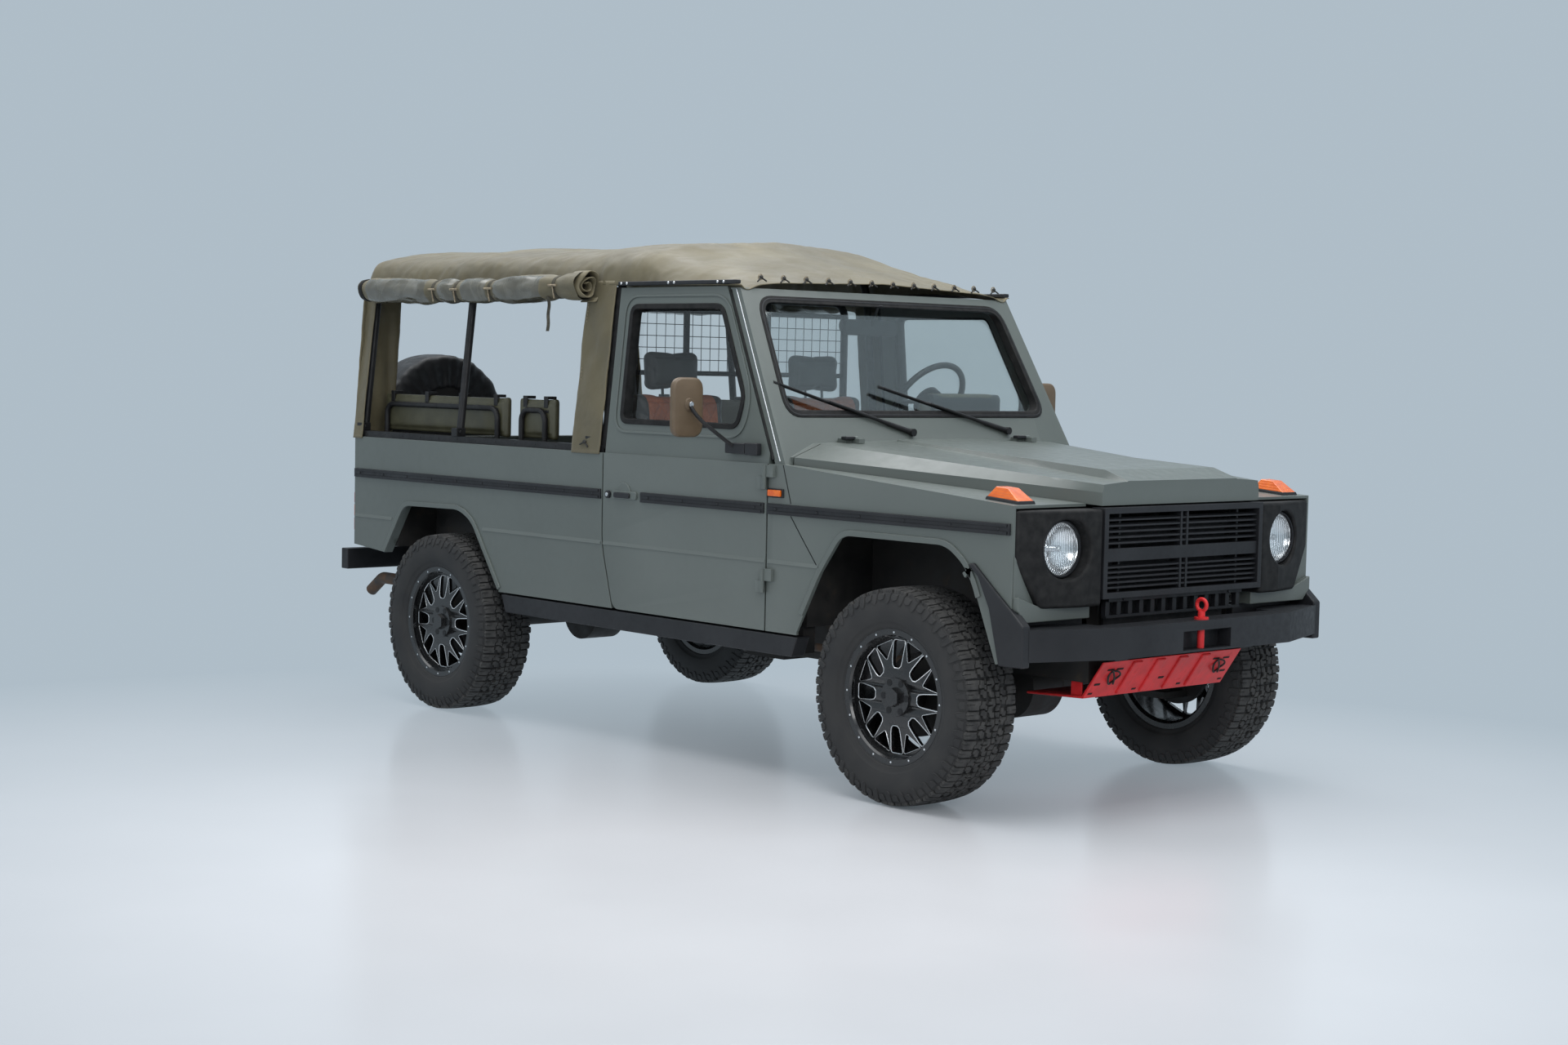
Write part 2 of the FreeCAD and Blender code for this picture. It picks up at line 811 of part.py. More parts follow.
def exhaust_pipe():
    """One pipe from the engine under the frame to the silencer, and its tail behind the rear wheel."""
    side = -m.exhaust_side
    low = m.exhaust_low_height
    high = m.exhaust_high_height
    start = bulkhead + m.floor_thick + m.panel_gap + m.exhaust_bend
    hump = m.differential_diameter + m.exhaust_bend
    box_front = rear_axle - hump
    run = [
        place(start, side, frame_top - m.plate_thick),
        place(start, side, low),
        place(rear_axle + hump, side, low),
        place(rear_axle + hump / 2, side, high),
        place(box_front + m.exhaust_bend, side, high),
    ]
    box_rear = box_front - m.exhaust_box_length
    drop = box_rear + m.exhaust_box_length / 3
    tail_side = -m.exhaust_tail_side
    tail_run = [
        place(drop, side, low),
        place(drop, side - m.exhaust_box_length, low),
        place(drop, tail_side, m.exhaust_tail_height),
        place(box_rear - m.exhaust_bend, tail_side, m.exhaust_tail_height),
        place(tail + m.panel_gap, tail_side, m.exhaust_tip_height),
    ]
    bore = m.exhaust_diameter.value
    bend = m.exhaust_bend.value
    box = Part.makeCylinder(m.exhaust_box_diameter.value / 2, m.exhaust_box_length.value,
                            place(box_rear, side, high), FreeCAD.Vector(1, 0, 0))
    run[-1] = place(box_front - m.exhaust_bend, side, high)
    formed("exhaust_pipe", [tube(run, bore, bend), box, tube(tail_run, bore, bend)])


# Body


def cab_floor():
    """The cab's floor with its tunnel and sides, the bulkhead ahead of it and the step up behind it."""
    piece = Piece("cab_floor")
    half = cab_half
    floor_top = frame_top + m.floor_thick
    step = bulkhead - m.cab_length
    inner = m.tunnel_width / 2 - m.floor_thick
    ridge = floor_top + m.tunnel_height
    shelf = m.belt_height - m.cowl_drop
    piece.block((step, bulkhead), (inner, half), (frame_top, floor_top))
    piece.block((step, bulkhead), (inner, m.tunnel_width / 2), (floor_top, ridge))
    piece.block((step, bulkhead), (half - m.sill_wall, half), (m.sill_bottom_height + m.plate_thick, frame_top))
    piece.block((bulkhead, bulkhead + m.floor_thick), (inner, half), (frame_top, shelf))
    piece.mirror()
    # What spans the car
    piece.block((step - m.floor_thick, bulkhead), (-m.tunnel_width / 2, m.tunnel_width / 2), (ridge - m.floor_thick,
                ridge))
    piece.block((step - m.floor_thick, step), (-half, half), (frame_top, load_deck))
    # The bulkhead over the gearbox, and the shelf under the windscreen
    piece.block((bulkhead, bulkhead + m.floor_thick), (-inner, inner), (ridge - m.floor_thick, shelf))
    piece.block((screen_base - m.cowl_depth, bulkhead + m.floor_thick), (-half, half), (shelf - m.plate_thick,
                shelf))
    return piece


def load_bed():
    """The load floor on its bearers, with the wheelhouses beside it."""
    piece = Piece("load_bed")
    step = bulkhead - m.cab_length - m.floor_thick
    wall = inner_side - m.wheelhouse_width
    house_front = rear_axle + m.wheelhouse_front_run
    house_rear = rear_axle - m.wheelhouse_rear_run
    rear = tail + m.rear_door_wall + m.panel_gap
    rail = m.frame_width / 2
    plate = m.plate_thick
    piece.block((rear, step), (0, wall), (m.load_floor_height, load_deck))
    piece.block((house_front, step), (wall, inner_side), (m.load_floor_height, load_deck))
    piece.block((rear, house_rear), (wall, inner_side), (m.load_floor_height, load_deck))
    piece.block((rear, step), (rail - m.frame_rail_width, rail), (frame_top, m.load_floor_height))
    piece.block((house_rear, house_front), (wall, wall + plate), (frame_top, m.wheelhouse_height))
    piece.block((house_rear, house_front), (wall, inner_side), (m.wheelhouse_height - plate, m.wheelhouse_height))
    piece.block((house_front - plate, house_front), (wall, inner_side), (frame_top, m.wheelhouse_height))
    piece.block((house_rear, house_rear + plate), (wall, inner_side), (m.load_floor_height, m.wheelhouse_height))
    piece.mirror()
    return piece


def load_mat():
    """The flat mat between the benches' legs, which cargo stands on."""
    piece = Piece("load_mat")
    half = bench_leg_side - m.bench_tube
    rear = tail + m.rear_door_wall + m.panel_gap * 2
    piece.block((rear, divider_place - m.divider_tube), (-half, half), (load_deck, load_deck + m.mat_thick))
    return piece


def inner_wings():
    """The plates beside the engine and the panels behind the headlamps."""
    piece = Piece("inner_wings")
    plate = m.plate_thick
    wing = m.inner_wing_width / 2
    lamp_panel = nose - m.surround_corner_setback - m.surround_depth
    drop = m.bonnet_wall * 2
    rear = bulkhead + m.floor_thick
    profile = (
        (rear, m.inner_wing_bottom),
        (lamp_panel, m.inner_wing_bottom),
        (lamp_panel, bonnet_edge_height - drop),
        (rear, m.bonnet_rear_edge_height - drop),
    )
    piece.pad("Y", profile, wing - plate, wing)
    piece.block((lamp_panel - plate, lamp_panel), (wing - plate, body_side - m.wing_wall),
                (m.surround_bottom_height, m.surround_top_height - m.bonnet_wall))
    piece.mirror()
    return piece


def side_panel(label, side):
    """A rear quarter from the door to the tail, with its wheel arch and the corner post."""
    piece = Piece(label)
    belt = m.belt_height
    outline = (
        (tail, m.tail_corner_height),
        (tail + m.tail_inset, m.tail_panel_height),
        (rear_axle, m.door_bottom_height),
        (door_foot - m.panel_gap, m.door_bottom_height),
        (panel_front, m.crease_height, m.crease_height / 2),
        (panel_front, belt),
        (tail, belt),
    )
    low, high = across(side, inner_side, body_side)
    piece.pad("Y", outline, low, high)
    low, high = across(side, body_side - m.tail_post_width, inner_side)
    piece.block((tail, tail + m.side_wall), (low, high), (m.tail_corner_height, belt))
    low, high = across(side, inner_side - m.overrun, body_side + m.overrun)
    piece.pocket("Y", arch_cut(rear_axle, REAR_ARCH_SHARES), low, high)
    return piece


def bonnet_edge(x):
    """Half the bonnet's width at one place along the car."""
    front = nose - m.bonnet_front_setback
    share = (x - bonnet_rear) / (front - bonnet_rear)
    return (m.bonnet_rear_width + (m.bonnet_front_width - m.bonnet_rear_width) * share) / 2


def wing(label, side):
    """A front wing: its side with the wheel arch and a narrow top beside the bonnet."""
    piece = Piece(label)
    top = (
        (wing_rear, m.belt_height),
        (screen_base, m.belt_height),
        (wing_nose, wing_nose_height),
    )
    outline = (
        (wing_rear, m.door_bottom_height),
        (wing_nose, m.door_bottom_height),
        (wing_nose, wing_nose_height),
        (screen_base, m.belt_height),
        (wing_rear, m.belt_height),
    )
    low, high = across(side, body_side - m.wing_wall, body_side)
    piece.pad("Y", outline, low, high)
    under = tuple((x, z - m.wing_wall) for x, z in reversed(top))
    inner_edge = bonnet_edge(wing_nose) + m.panel_gap
    low, high = across(side, inner_edge, body_side - m.wing_wall)
    piece.pad("Y", top + under, low, high)
    # The top is cut back along the bonnet's edge
    way = as_size(side)
    rear_edge = bonnet_edge(wing_rear - m.overrun) + m.bonnet_corner_gap
    cut = (
        (wing_rear - m.overrun, 0),
        (wing_nose + m.overrun, 0),
        (wing_nose + m.overrun, bonnet_edge(wing_nose + m.overrun) * way + m.panel_gap * way),
        (wing_rear - m.overrun, rear_edge * way),
    )
    piece.pocket("Z", cut, m.surround_bottom_height, m.header_height)
    low, high = across(side, body_side - m.wing_wall - m.overrun, body_side + m.overrun)
    piece.pocket("Y", arch_cut(front_axle, FRONT_ARCH_SHARES), low, high)
    drop = (
        (front_axle, 0),
        (nose, 0),
        (nose, m.wing_drop_height),
        (wing_nose - m.wing_wall, m.wing_drop_height),
        (wing_nose - m.overrun * 2, m.door_bottom_height),
        (front_axle, m.door_bottom_height),
    )
    piece.pocket("Y", drop, low, high)
    # The wing's halves of the door hinges
    for height in (m.hinge_low_height, m.hinge_high_height):
        hinge_half(piece, side, 1, height)
    return piece


def hinge_half(piece, side, way, height):
    """One leaf and barrel of a door hinge; way is 1 ahead of the pin and -1 behind it."""
    radius = m.hinge_diameter / 2
    line = body_side + m.hinge_offset
    start = as_size(height) if way < 0 else height + m.hinge_height / 2 + m.fit_gap
    end = start + m.hinge_height / 2
    low, high = across(side, body_side, line)
    if way < 0:
        along = (door_front - m.hinge_leaf, door_front - m.panel_gap / 2)
    else:
        along = (wing_rear, wing_rear + m.hinge_leaf)
    piece.block(along, (low, high), (start, end))
    near, far = (door_front - m.panel_gap, door_front) if way < 0 else (door_front, wing_rear)
    low, high = across(side, line - radius / 2, line + radius / 2)
    piece.block((near, far), (low, high), (start, end))
    piece.rod("Z", (door_front, line * side), radius, start, end)


def screen_line(height, inset=0):
    """Where the windscreen's slanting face is at one height, set back by an inset."""
    share = (as_size(height) - m.belt_height) / (m.header_height - m.belt_height)
    return screen_base + (screen_head - screen_base) * share - inset


def lean_in(height):
    """How far the car's upper side has leaned in at one height."""
    run = math.tan(math.radians(SIZES["cab_lean"]))
    return (as_size(height) - m.belt_height) * run


def windscreen_frame():
    """The slanting frame round the windscreen, with the cowl under it and the bonnet's hinges."""
    piece = Piece("windscreen_frame")
    low = m.belt_height
    high = m.header_height
    foot = body_side - m.hinge_offset
    head = foot - lean_in(high)
    outline = ((-foot, low), (foot, low), (head, high), (-head, high))
    rear = screen_head - m.screen_frame_depth * 2
    piece.pad("X", outline, rear, screen_base + m.overrun)
    front_wedge = (
        (screen_line(low - m.overrun), low - m.overrun),
        (screen_base + m.overrun * 3, low - m.overrun),
        (screen_base + m.overrun * 3, high + m.overrun),
        (screen_line(high + m.overrun), high + m.overrun),
    )
    piece.pocket("Y", front_wedge, -body_side, body_side)
    depth = m.screen_frame_depth
    rear_wedge = (
        (rear - m.overrun, low - m.overrun),
        (screen_line(low - m.overrun, depth), low - m.overrun),
        (screen_line(high + m.overrun, depth), high + m.overrun),
        (rear - m.overrun, high + m.overrun),
    )
    piece.pocket("Y", rear_wedge, -body_side, body_side)
    piece.pocket("X", screen_opening(0), rear - m.overrun, screen_base + m.overrun * 3)
    low = m.belt_height - m.cowl_drop
    line = rear_line()
    cowl = [(line[-1][0], low), (line[0][0], low)]
    piece.pad("X", tuple(cowl + line), screen_base - m.cowl_depth, screen_base)
    bonnet_hinges(piece, -1)
    return piece


def screen_opening(inset):
    sill = m.screen_sill_width / 2 - inset
    head = m.screen_top_width / 2 - inset
    low = m.screen_sill_height + inset
    high = m.screen_head_height - inset
    corner = m.screen_corner - inset
    return ((-sill, low, corner), (sill, low, corner), (head, high, corner), (-head, high, corner))


def windscreen_glass():
    piece = Piece("windscreen_glass")
    rear = screen_head - m.screen_frame_depth * 2
    front = screen_base + m.overrun
    piece.pad("X", screen_opening(m.fit_gap), rear, front)
    low = m.belt_height
    high = m.header_height
    outer = m.screen_glass_inset
    inner = outer + m.glass_thick
    wedge = (
        (screen_line(low, outer), low),
        (front + m.overrun, low),
        (front + m.overrun, high),
        (screen_line(high, outer), high),
    )
    piece.pocket("Y", wedge, -body_side, body_side)
    wedge = (
        (rear - m.overrun, low),
        (screen_line(low, inner), low),
        (screen_line(high, inner), high),
        (rear - m.overrun, high),
    )
    piece.pocket("Y", wedge, -body_side, body_side)
    return piece


def bonnet_line(half, edge, crown, shares):
    """The bonnet's top across the car: an upright lip, a slope up to a crease, and the flat top."""
    rise = crown - edge
    right = [(half, edge)] + [(half * side, edge + rise * height) for side, height in shares]
    return right + [(-y, z) for y, z in reversed(right)]


def bonnet_inside(line):
    """The underside of the same line, from the left lip back to the right one."""
    wall = m.bonnet_wall
    drops = (as_size(0), wall / 2, wall, wall)
    right = [(y - wall, z - drop) for (y, z), drop in zip(line, drops)]
    return [(-y, z) for y, z in right] + list(reversed(right))


def rear_line():
    return bonnet_line(m.bonnet_rear_width / 2, m.bonnet_rear_edge_height, m.bonnet_rear_crown_height,
                       BONNET_REAR_SHARES)


def raised_section(width, top, base):
    """The raised middle of the bonnet across the car, with its sloping sides."""
    half = width / 2
    return ((-half, base), (m.bonnet_top_slope - half, top), (half - m.bonnet_top_slope, top), (half, base))


def bonnet():
    """The lid over the engine, tapering forwards, with its raised middle and its halves of the hinges."""
    piece = Piece("bonnet")
    front = nose - m.bonnet_front_setback
    front_line = bonnet_line(m.bonnet_front_width / 2, bonnet_edge_height, bonnet_crown_height,
                             BONNET_FRONT_SHARES)
    piece.loft([(x, tuple(line + bonnet_inside(line))) for x, line in ((bonnet_rear, rear_line()),
                                                                        (front, front_line))])
    piece.pad("X", tuple(front_line), front - m.bonnet_wall / 2, front)
    # The raised middle runs down to the front edge past a bend
    bend = front - m.bonnet_top_bend_reach
    share = (bend - bonnet_rear) / (front - bonnet_rear)
    rear_crown = m.bonnet_rear_crown_height
    bend_crown = rear_crown + (bonnet_crown_height - rear_crown) * share
    sink = m.bonnet_wall * 3 / 4
    at_rear = (bonnet_rear, raised_section(m.bonnet_top_rear_width, rear_crown + m.bonnet_top_rear_rise,
                                           rear_crown - sink))
    at_bend = (bend, raised_section(m.bonnet_top_front_width, bend_crown + m.bonnet_top_bend_rise,
                                    bend_crown - sink))
    at_front = (front, raised_section(m.bonnet_top_front_width, bonnet_crown_height, bonnet_crown_height - sink))
    piece.loft([at_rear, at_bend])
    piece.loft([at_bend, at_front])
    bonnet_hinges(piece, 1)
    return piece


def bonnet_hinges(piece, way):
    """Leaves and barrels on the bonnet (way 1) or on the cowl behind it (way -1)."""
    radius = m.hinge_diameter / 2
    height = m.bonnet_rear_crown_height + radius
    line = bonnet_rear - m.panel_gap / 2
    for side in (-1, 1):
        middle = m.bonnet_hinge_track / 2 * side
        start, end = middle, middle + m.bonnet_hinge_width / 2
        if way < 0:
            start, end = middle - m.bonnet_hinge_width / 2, middle - m.fit_gap
        piece.rod("Y", (line, height), radius, start, end)
        along = (line, bonnet_rear + m.hinge_leaf) if way > 0 else (screen_base - m.hinge_leaf, line)
        piece.block(along, (start, end), (m.bonnet_rear_crown_height - radius, height))


# Nose and bumpers


def grille():
    piece = Piece("grille")
    front = nose - m.grille_setback
    rear = front - m.grille_depth
    half = m.grille_width / 2
    low = m.grille_bottom_height
    high = m.surround_top_height + m.grille_rise
    piece.block((rear, front), (-half, half), (low, high))
    slot_half = half - m.grille_border
    pitch = (high - low - m.grille_border * 2 - m.grille_slot_height) / (GRILLE_SLOTS - 1)
    for slot in range(GRILLE_SLOTS):
        bottom = low + m.grille_border + pitch * slot
        piece.pocket("X", rectangle(-slot_half, slot_half, bottom, bottom + m.grille_slot_height),
                     rear - m.overrun, front + m.overrun)
    rib = m.grille_rib_width / 2
    for number in range(1, GRILLE_RIBS + 1):
        side = slot_half * (2 * number / (GRILLE_RIBS + 1) - 1)
        piece.block((rear, rear + m.grille_depth / 2), (side - rib, side + rib), (low, high))
    valance = m.valance_width / 2
    back = nose - m.valance_setback
    piece.block((back - m.grille_depth, back), (-valance, valance), (m.valance_bottom_height, low))
    piece.block((back - m.grille_depth, front), (-valance, valance), (low, low + m.plate_thick))
    return piece


def headlamp_surrounds():
    """The black housings round both headlamps, whose faces sweep back towards the wings."""
    piece = Piece("headlamp_surrounds")
    back = nose - m.surround_corner_setback - m.surround_depth
    inner = m.grille_width / 2 + m.fit_gap
    outer = m.surround_width / 2
    plan = (
        (back, inner),
        (nose - m.surround_setback, inner),
        (nose - m.surround_setback, inner + m.surround_chamfer),
        (nose - m.surround_corner_setback, outer),
        (back, outer),
    )
    low = m.surround_bottom_height
    high = m.surround_top_height
    piece.pad("Z", plan, low, high)
    corner = (
        (outer + m.overrun, low - m.overrun),
        (outer + m.overrun, low + m.surround_cut_height),
        (outer, low + m.surround_cut_height),
        (outer - m.surround_cut_width, low),
        (outer - m.surround_cut_width, low - m.overrun),
    )
    piece.pocket("X", corner, back - m.overrun, nose)
    seat = back + m.surround_depth / 2
    piece.bore("X", (m.headlamp_track / 2, m.headlamp_height), m.headlamp_recess / 2, seat, nose)
    piece.mirror()
    return piece


def headlamps():
    piece = Piece("headlamps")
    seat = nose - m.surround_corner_setback - m.surround_depth / 2
    radius = m.headlamp_diameter / 2
    depth = m.headlamp_depth
    dome = depth / 3
    profile = (
        (0, 0),
        (depth + dome, 0),
        (depth + dome, radius / 3),
        (depth, radius),
        (0, radius),
    )
    piece.spin(profile, "H", "Z", (seat, m.headlamp_track / 2), m.headlamp_height)
    piece.mirror()
    return piece


def wing_top(x):
    """The height of the wing's top at one place along the car."""
    share = (x - screen_base) / (wing_nose - screen_base)
    return m.belt_height + (wing_nose_height - m.belt_height) * share


def turn_signals():
    piece = Piece("turn_signals")
    front = nose - m.signal_setback
    rear = front - m.signal_length
    rise = m.signal_height
    profile = (
        (rear, wing_top(rear)),
        (front, wing_top(front)),
        (front - rise / 2, wing_top(front) + rise),
        (rear + rise / 2, wing_top(rear) + rise),
    )
    middle = m.signal_track / 2
    piece.pad("Y", profile, middle - m.signal_width / 2, middle + m.signal_width / 2)
    piece.mirror()
    return piece


def front_bumper():
    piece = Piece("front_bumper")
    straight = m.bumper_straight_width / 2
    end = m.bumper_width / 2
    swept = nose - m.bumper_sweep
    back = nose - m.bumper_depth
    plan = (
        (nose, -straight),
        (nose, straight),
        (swept, end),
        (swept - m.bumper_end_depth, end),
        (swept - m.bumper_end_depth, end - m.bumper_bracket_width),
        (back - m.bumper_sweep / 2, straight),
        (back, straight),
        (back, -straight),
        (back - m.bumper_sweep / 2, -straight),
        (swept - m.bumper_end_depth, m.bumper_bracket_width - end),
        (swept - m.bumper_end_depth, -end),
        (swept, -end),
    )
    piece.pad("Z", plan, m.bumper_bottom_height, m.bumper_top_height)
    slot = m.tow_slot_width / 2
    bottom = m.bumper_bottom_height - m.overrun
    top = m.bumper_bottom_height + m.tow_slot_height
    piece.pocket("Z", rectangle(nose - m.tow_slot_depth, nose + m.overrun, -slot, slot), bottom, top)
    # The slot's floor, with the tow pin's hole through floor and roof
    lip = m.plate_thick
    piece.block((nose - m.tow_slot_depth - lip, nose), (-slot, slot), (m.bumper_bottom_height,
                m.bumper_bottom_height + lip))
    piece.bore("Z", (nose - m.tow_slot_depth / 2, 0), m.tow_pin_diameter / 2 + m.fit_gap,
               m.bumper_bottom_height - m.overrun, m.bumper_top_height + m.overrun)
    # Brackets back to the frame's ends
    outer = m.frame_width / 2
    frame_front = nose - m.frame_front_inset
    for way in (-1, 1):
        low, high = across(way, outer - m.frame_rail_width, outer)
        piece.block((frame_front, back), (low, high), (frame_top - m.overrun, frame_top + m.overrun))
    return piece


def tow_pin():
    """A pin through the bumper's slot with a ring eye on its top."""
    centre = place(nose - m.tow_slot_depth / 2, 0, 0)
    low = m.bumper_bottom_height.value
    high = m.tow_pin_top_height.value
    radius = m.tow_pin_diameter.value / 2
    pin = Part.makeCylinder(radius, high - low, centre + FreeCAD.Vector(0, 0, low))
    collar = Part.makeCylinder(radius * 2, m.plate_thick.value,
                               centre + FreeCAD.Vector(0, 0, m.bumper_top_height.value))
    wire = m.tow_eye_wire.value / 2
    ring = m.tow_eye_diameter.value / 2 - wire
    eye = Part.makeTorus(ring, wire, centre + FreeCAD.Vector(0, 0, high + ring), FreeCAD.Vector(0, 1, 0))
    formed("tow_pin", [pin, collar, eye])


def skid_plate():
    """The plate under the nose: a sloping face and a flat tail below the axle's steering gear."""
    piece = Piece("skid_plate")
    wall = m.skid_wall
    top = (nose - m.skid_top_setback, m.skid_top_height)
    knee = (nose - m.skid_knee_setback, m.skid_knee_height)
    rear = (nose - m.skid_rear_setback, m.skid_rear_height)
    profile = (
        top,
        (top[0] - wall, top[1]),
        (knee[0] - wall, knee[1] + wall),
        (rear[0], rear[1] + wall),
        rear,
        knee,
    )
    half = m.skid_width / 2
    piece.pad("Y", profile, -half, half)
    # Brackets from the plate's tail up to the frame's rails
    outer = m.frame_width / 2
    for way in (-1, 1):
        low, high = across(way, outer - wall * 2, outer - wall)
        end = nose - m.skid_knee_setback - wall * 2
        piece.block((end - m.skid_bracket_length, end), (low, high), (m.skid_knee_height, m.frame_bottom_height))
    return piece


def rear_bumper():
    """Two short corner bumpers on arms from the frame."""
    piece = Piece("rear_bumper")
    back = tail - m.rear_bumper_depth
    outer = body_side
    low = m.rear_bumper_bottom
    inner = outer - m.rear_bumper_length
    piece.block((back, back + m.rear_bumper_depth / 2), (inner, outer), (low, low + m.rear_bumper_height))
    frame_rear = m.frame_rear_inset - nose
    rail = m.frame_width / 2
    piece.block((back + m.rear_bumper_depth / 2, frame_rear), (inner, inner + m.sill_wall),
                (low, low + m.plate_thick * 3))
    piece.block((frame_rear, frame_rear + m.crossmember_width), (rail, inner + m.sill_wall),
                (low, low + m.plate_thick * 2))
    piece.mirror()
    return piece


def sills():
    """The dark covers under the doors, from wheel arch to wheel arch."""
    piece = Piece("sills")
    inner = body_side - m.door_wall - m.panel_gap
    rear = front_axle - m.sill_rear_reach
    front = front_axle - m.sill_front_reach
    top = m.door_bottom_height - m.panel_gap
    run = m.sill_wall
    profile = (
        (rear + run / 2, m.sill_bottom_height),
        (front - run / 2, m.sill_bottom_height),
        (front, top),
        (rear, top),
    )
    piece.pad("Y", profile, inner, body_side)
    piece.mirror()
    return piece


def tail_lamps():
    piece = Piece("tail_lamps")
    outer = body_side - m.panel_gap
    low = m.tail_lamp_bottom
    piece.block((tail - m.tail_lamp_depth, tail), (outer - m.tail_lamp_width, outer),
                (low, low + m.tail_lamp_height))
    piece.mirror()
    return piece


# Doors


def upright(height):
    """A height above the belt, as it is measured up the leaning side of the cab."""
    return as_size(height) - m.belt_height


def door_window(inset):
    corner = m.window_corner - inset
    top = upright(m.window_head_height) - inset
    low = upright(m.window_sill_height) + inset
    rear = door_rear + m.window_rear_margin + inset
    return (
        (rear, low, corner),
        (front_axle - m.window_low_front - inset, low, corner),
        (front_axle - m.window_mid_front - inset, upright(m.window_mid_height), corner),
        (front_axle - m.window_top_front - inset, top, corner),
        (rear, top, corner),
    )


def leaning(piece, kind, side, corners, inner, outer):
    """A pad or pocket on the cab's leaning side; inner and outer are its places across, at the belt."""
    lean = m.cab_lean * side
    low, high = across(side, as_size(inner), as_size(outer))
    angle = math.radians(lean.value)
    # The outline's origin stays on the body side's own leaning plane, whatever the depth
    depth = body_side * side - high
    at = (0, m.belt_height - Size(math.sin(angle), "sin(" + lean.formula + ")") * depth)
    start = body_side * side - Size(math.cos(angle), "cos(" + lean.formula + ")") * depth
    return getattr(piece, kind)("Y", corners, start - (high - low), start, at, lean)


def door(label, side):
    """A cab door: a thick lower half, and a window frame that leans in."""
    piece = Piece(label)
    lower = (
        (door_foot, m.door_bottom_height, m.window_corner),
        (door_front, m.door_bottom_height),
        (door_front, m.belt_height),
        (door_rear, m.belt_height),
        (door_rear, m.crease_height, m.crease_height / 2),
    )
    low, high = across(side, body_side - m.door_wall, body_side)
    piece.pad("Y", lower, low, high)
    foot = m.belt_height - m.overrun * 2
    top = upright(m.door_top_height)
    # The frame's front edge runs a gap behind the windscreen's frame
    setback = m.screen_frame_depth + m.panel_gap
    rise = (m.header_height - m.belt_height) / (screen_base - screen_head)
    frame = (
        (door_rear, upright(foot)),
        (door_front, upright(foot)),
        (door_front, (screen_base - setback - door_front) * rise),
        (screen_line(m.door_top_height, setback), top),
        (door_rear, top),
    )
    outer = body_side - m.panel_gap
    inner = outer - m.door_frame_wall
    leaning(piece, "pad", side, frame, inner, outer)
    leaning(piece, "pocket", side, door_window(as_size(0)), inner - m.overrun, outer + m.overrun)
    for height in (m.hinge_low_height, m.hinge_high_height):
        hinge_half(piece, side, -1, height)
    return piece


def door_glass(label, side):
    piece = Piece(label)
    outer = body_side - m.panel_gap - m.door_frame_wall / 2
    leaning(piece, "pad", side, door_window(m.fit_gap), outer - m.glass_thick, outer)
    return piece


def door_mirror(label, side):
    """An upright mirror on a bent arm from its foot on the door."""
    foot_front = front_axle - m.mirror_foot_reach
    foot_low = m.mirror_foot_level - m.mirror_foot_height / 2
    outer = side_at(foot_low, m.panel_gap) + m.fit_gap
    foot = Part.makeBox(m.mirror_foot_length.value, m.mirror_foot_depth.value, m.mirror_foot_height.value,
                        place(foot_front - m.mirror_foot_length, outer, foot_low))
    centre = place(front_axle - m.mirror_reach, m.mirror_side, m.mirror_height)
    width = m.mirror_width.value
    tall = m.mirror_tall.value
    thick = m.mirror_thick.value
    plate = Part.makeBox(thick, width, tall, centre - FreeCAD.Vector(thick / 2, width / 2, tall / 2))
    edges = [edge for edge in plate.Edges if edge.BoundBox.XLength > thick / 2]
    plate = plate.makeFillet(m.mirror_corner.value, edges)
    start = place(foot_front - m.mirror_foot_length / 3, outer + m.mirror_foot_depth / 2, m.mirror_foot_level)
    knee = FreeCAD.Vector(start.x, start.y + width / 3, start.z + width / 3)
    arm = tube([start, knee, centre], m.mirror_arm.value, m.mirror_arm.value)
    shapes = [foot, plate, arm]
    if side < 0:
        shapes = [mirrored(shape) for shape in shapes]
    formed(label, shapes)


def rear_door():
    """The half-height door at the tail, on exposed hinges at the car's right."""
    piece = Piece("rear_door")
    half = m.rear_door_width / 2
    piece.block((tail, tail + m.rear_door_wall), (-half, half), (m.rear_door_bottom, m.belt_height))
    boss = m.spare_boss_diameter / 2
    spare_front = m.spare_width - nose
    piece.rod("X", (-m.spare_side, m.spare_height - boss * 3), boss, spare_front, tail)
    radius = m.hinge_diameter / 2
    line = (tail - m.rear_hinge_offset, -m.rear_hinge_reach)
    for height in (m.rear_door_bottom + m.hinge_height, m.belt_height - m.hinge_height * 2):
        end = height + m.hinge_height / 2
        piece.rod("Z", line, radius, height, end)
        piece.block((line[0] - radius, tail), (line[1] + m.hinge_leaf * 2, line[1] + m.hinge_leaf * 3), (height, end))
        piece.block((line[0] - radius, line[0] + radius), (line[1], line[1] + m.hinge_leaf * 3), (height, end))
    return piece


def rear_hinge_posts(piece):
    """The tail posts' halves of the rear door's hinges, on the car's right."""
    radius = m.hinge_diameter / 2
    line = (tail - m.rear_hinge_offset, -m.rear_hinge_reach)
    for height in (m.rear_door_bottom + m.hinge_height, m.belt_height - m.hinge_height * 2):
        start = height + m.hinge_height / 2 + m.fit_gap
        end = start + m.hinge_height / 2
        piece.rod("Z", line, radius, start, end)
        piece.block((line[0], tail), (line[1] - radius, line[1] + radius), (start, end))


def spare_wheel():
    """The spare under its cover, as one closed drum with a rounded rim."""
    piece = Piece("spare_wheel")
    radius = m.spare_diameter / 2
    corner = m.spare_corner
    profile = (
        (0, 0),
        (m.spare_width, 0),
        (m.spare_width, radius, corner),
        (0, radius, corner),
    )
    piece.spin(profile, "H", "Z", (-nose, -m.spare_side), m.spare_height)
    return piece


# Wheels


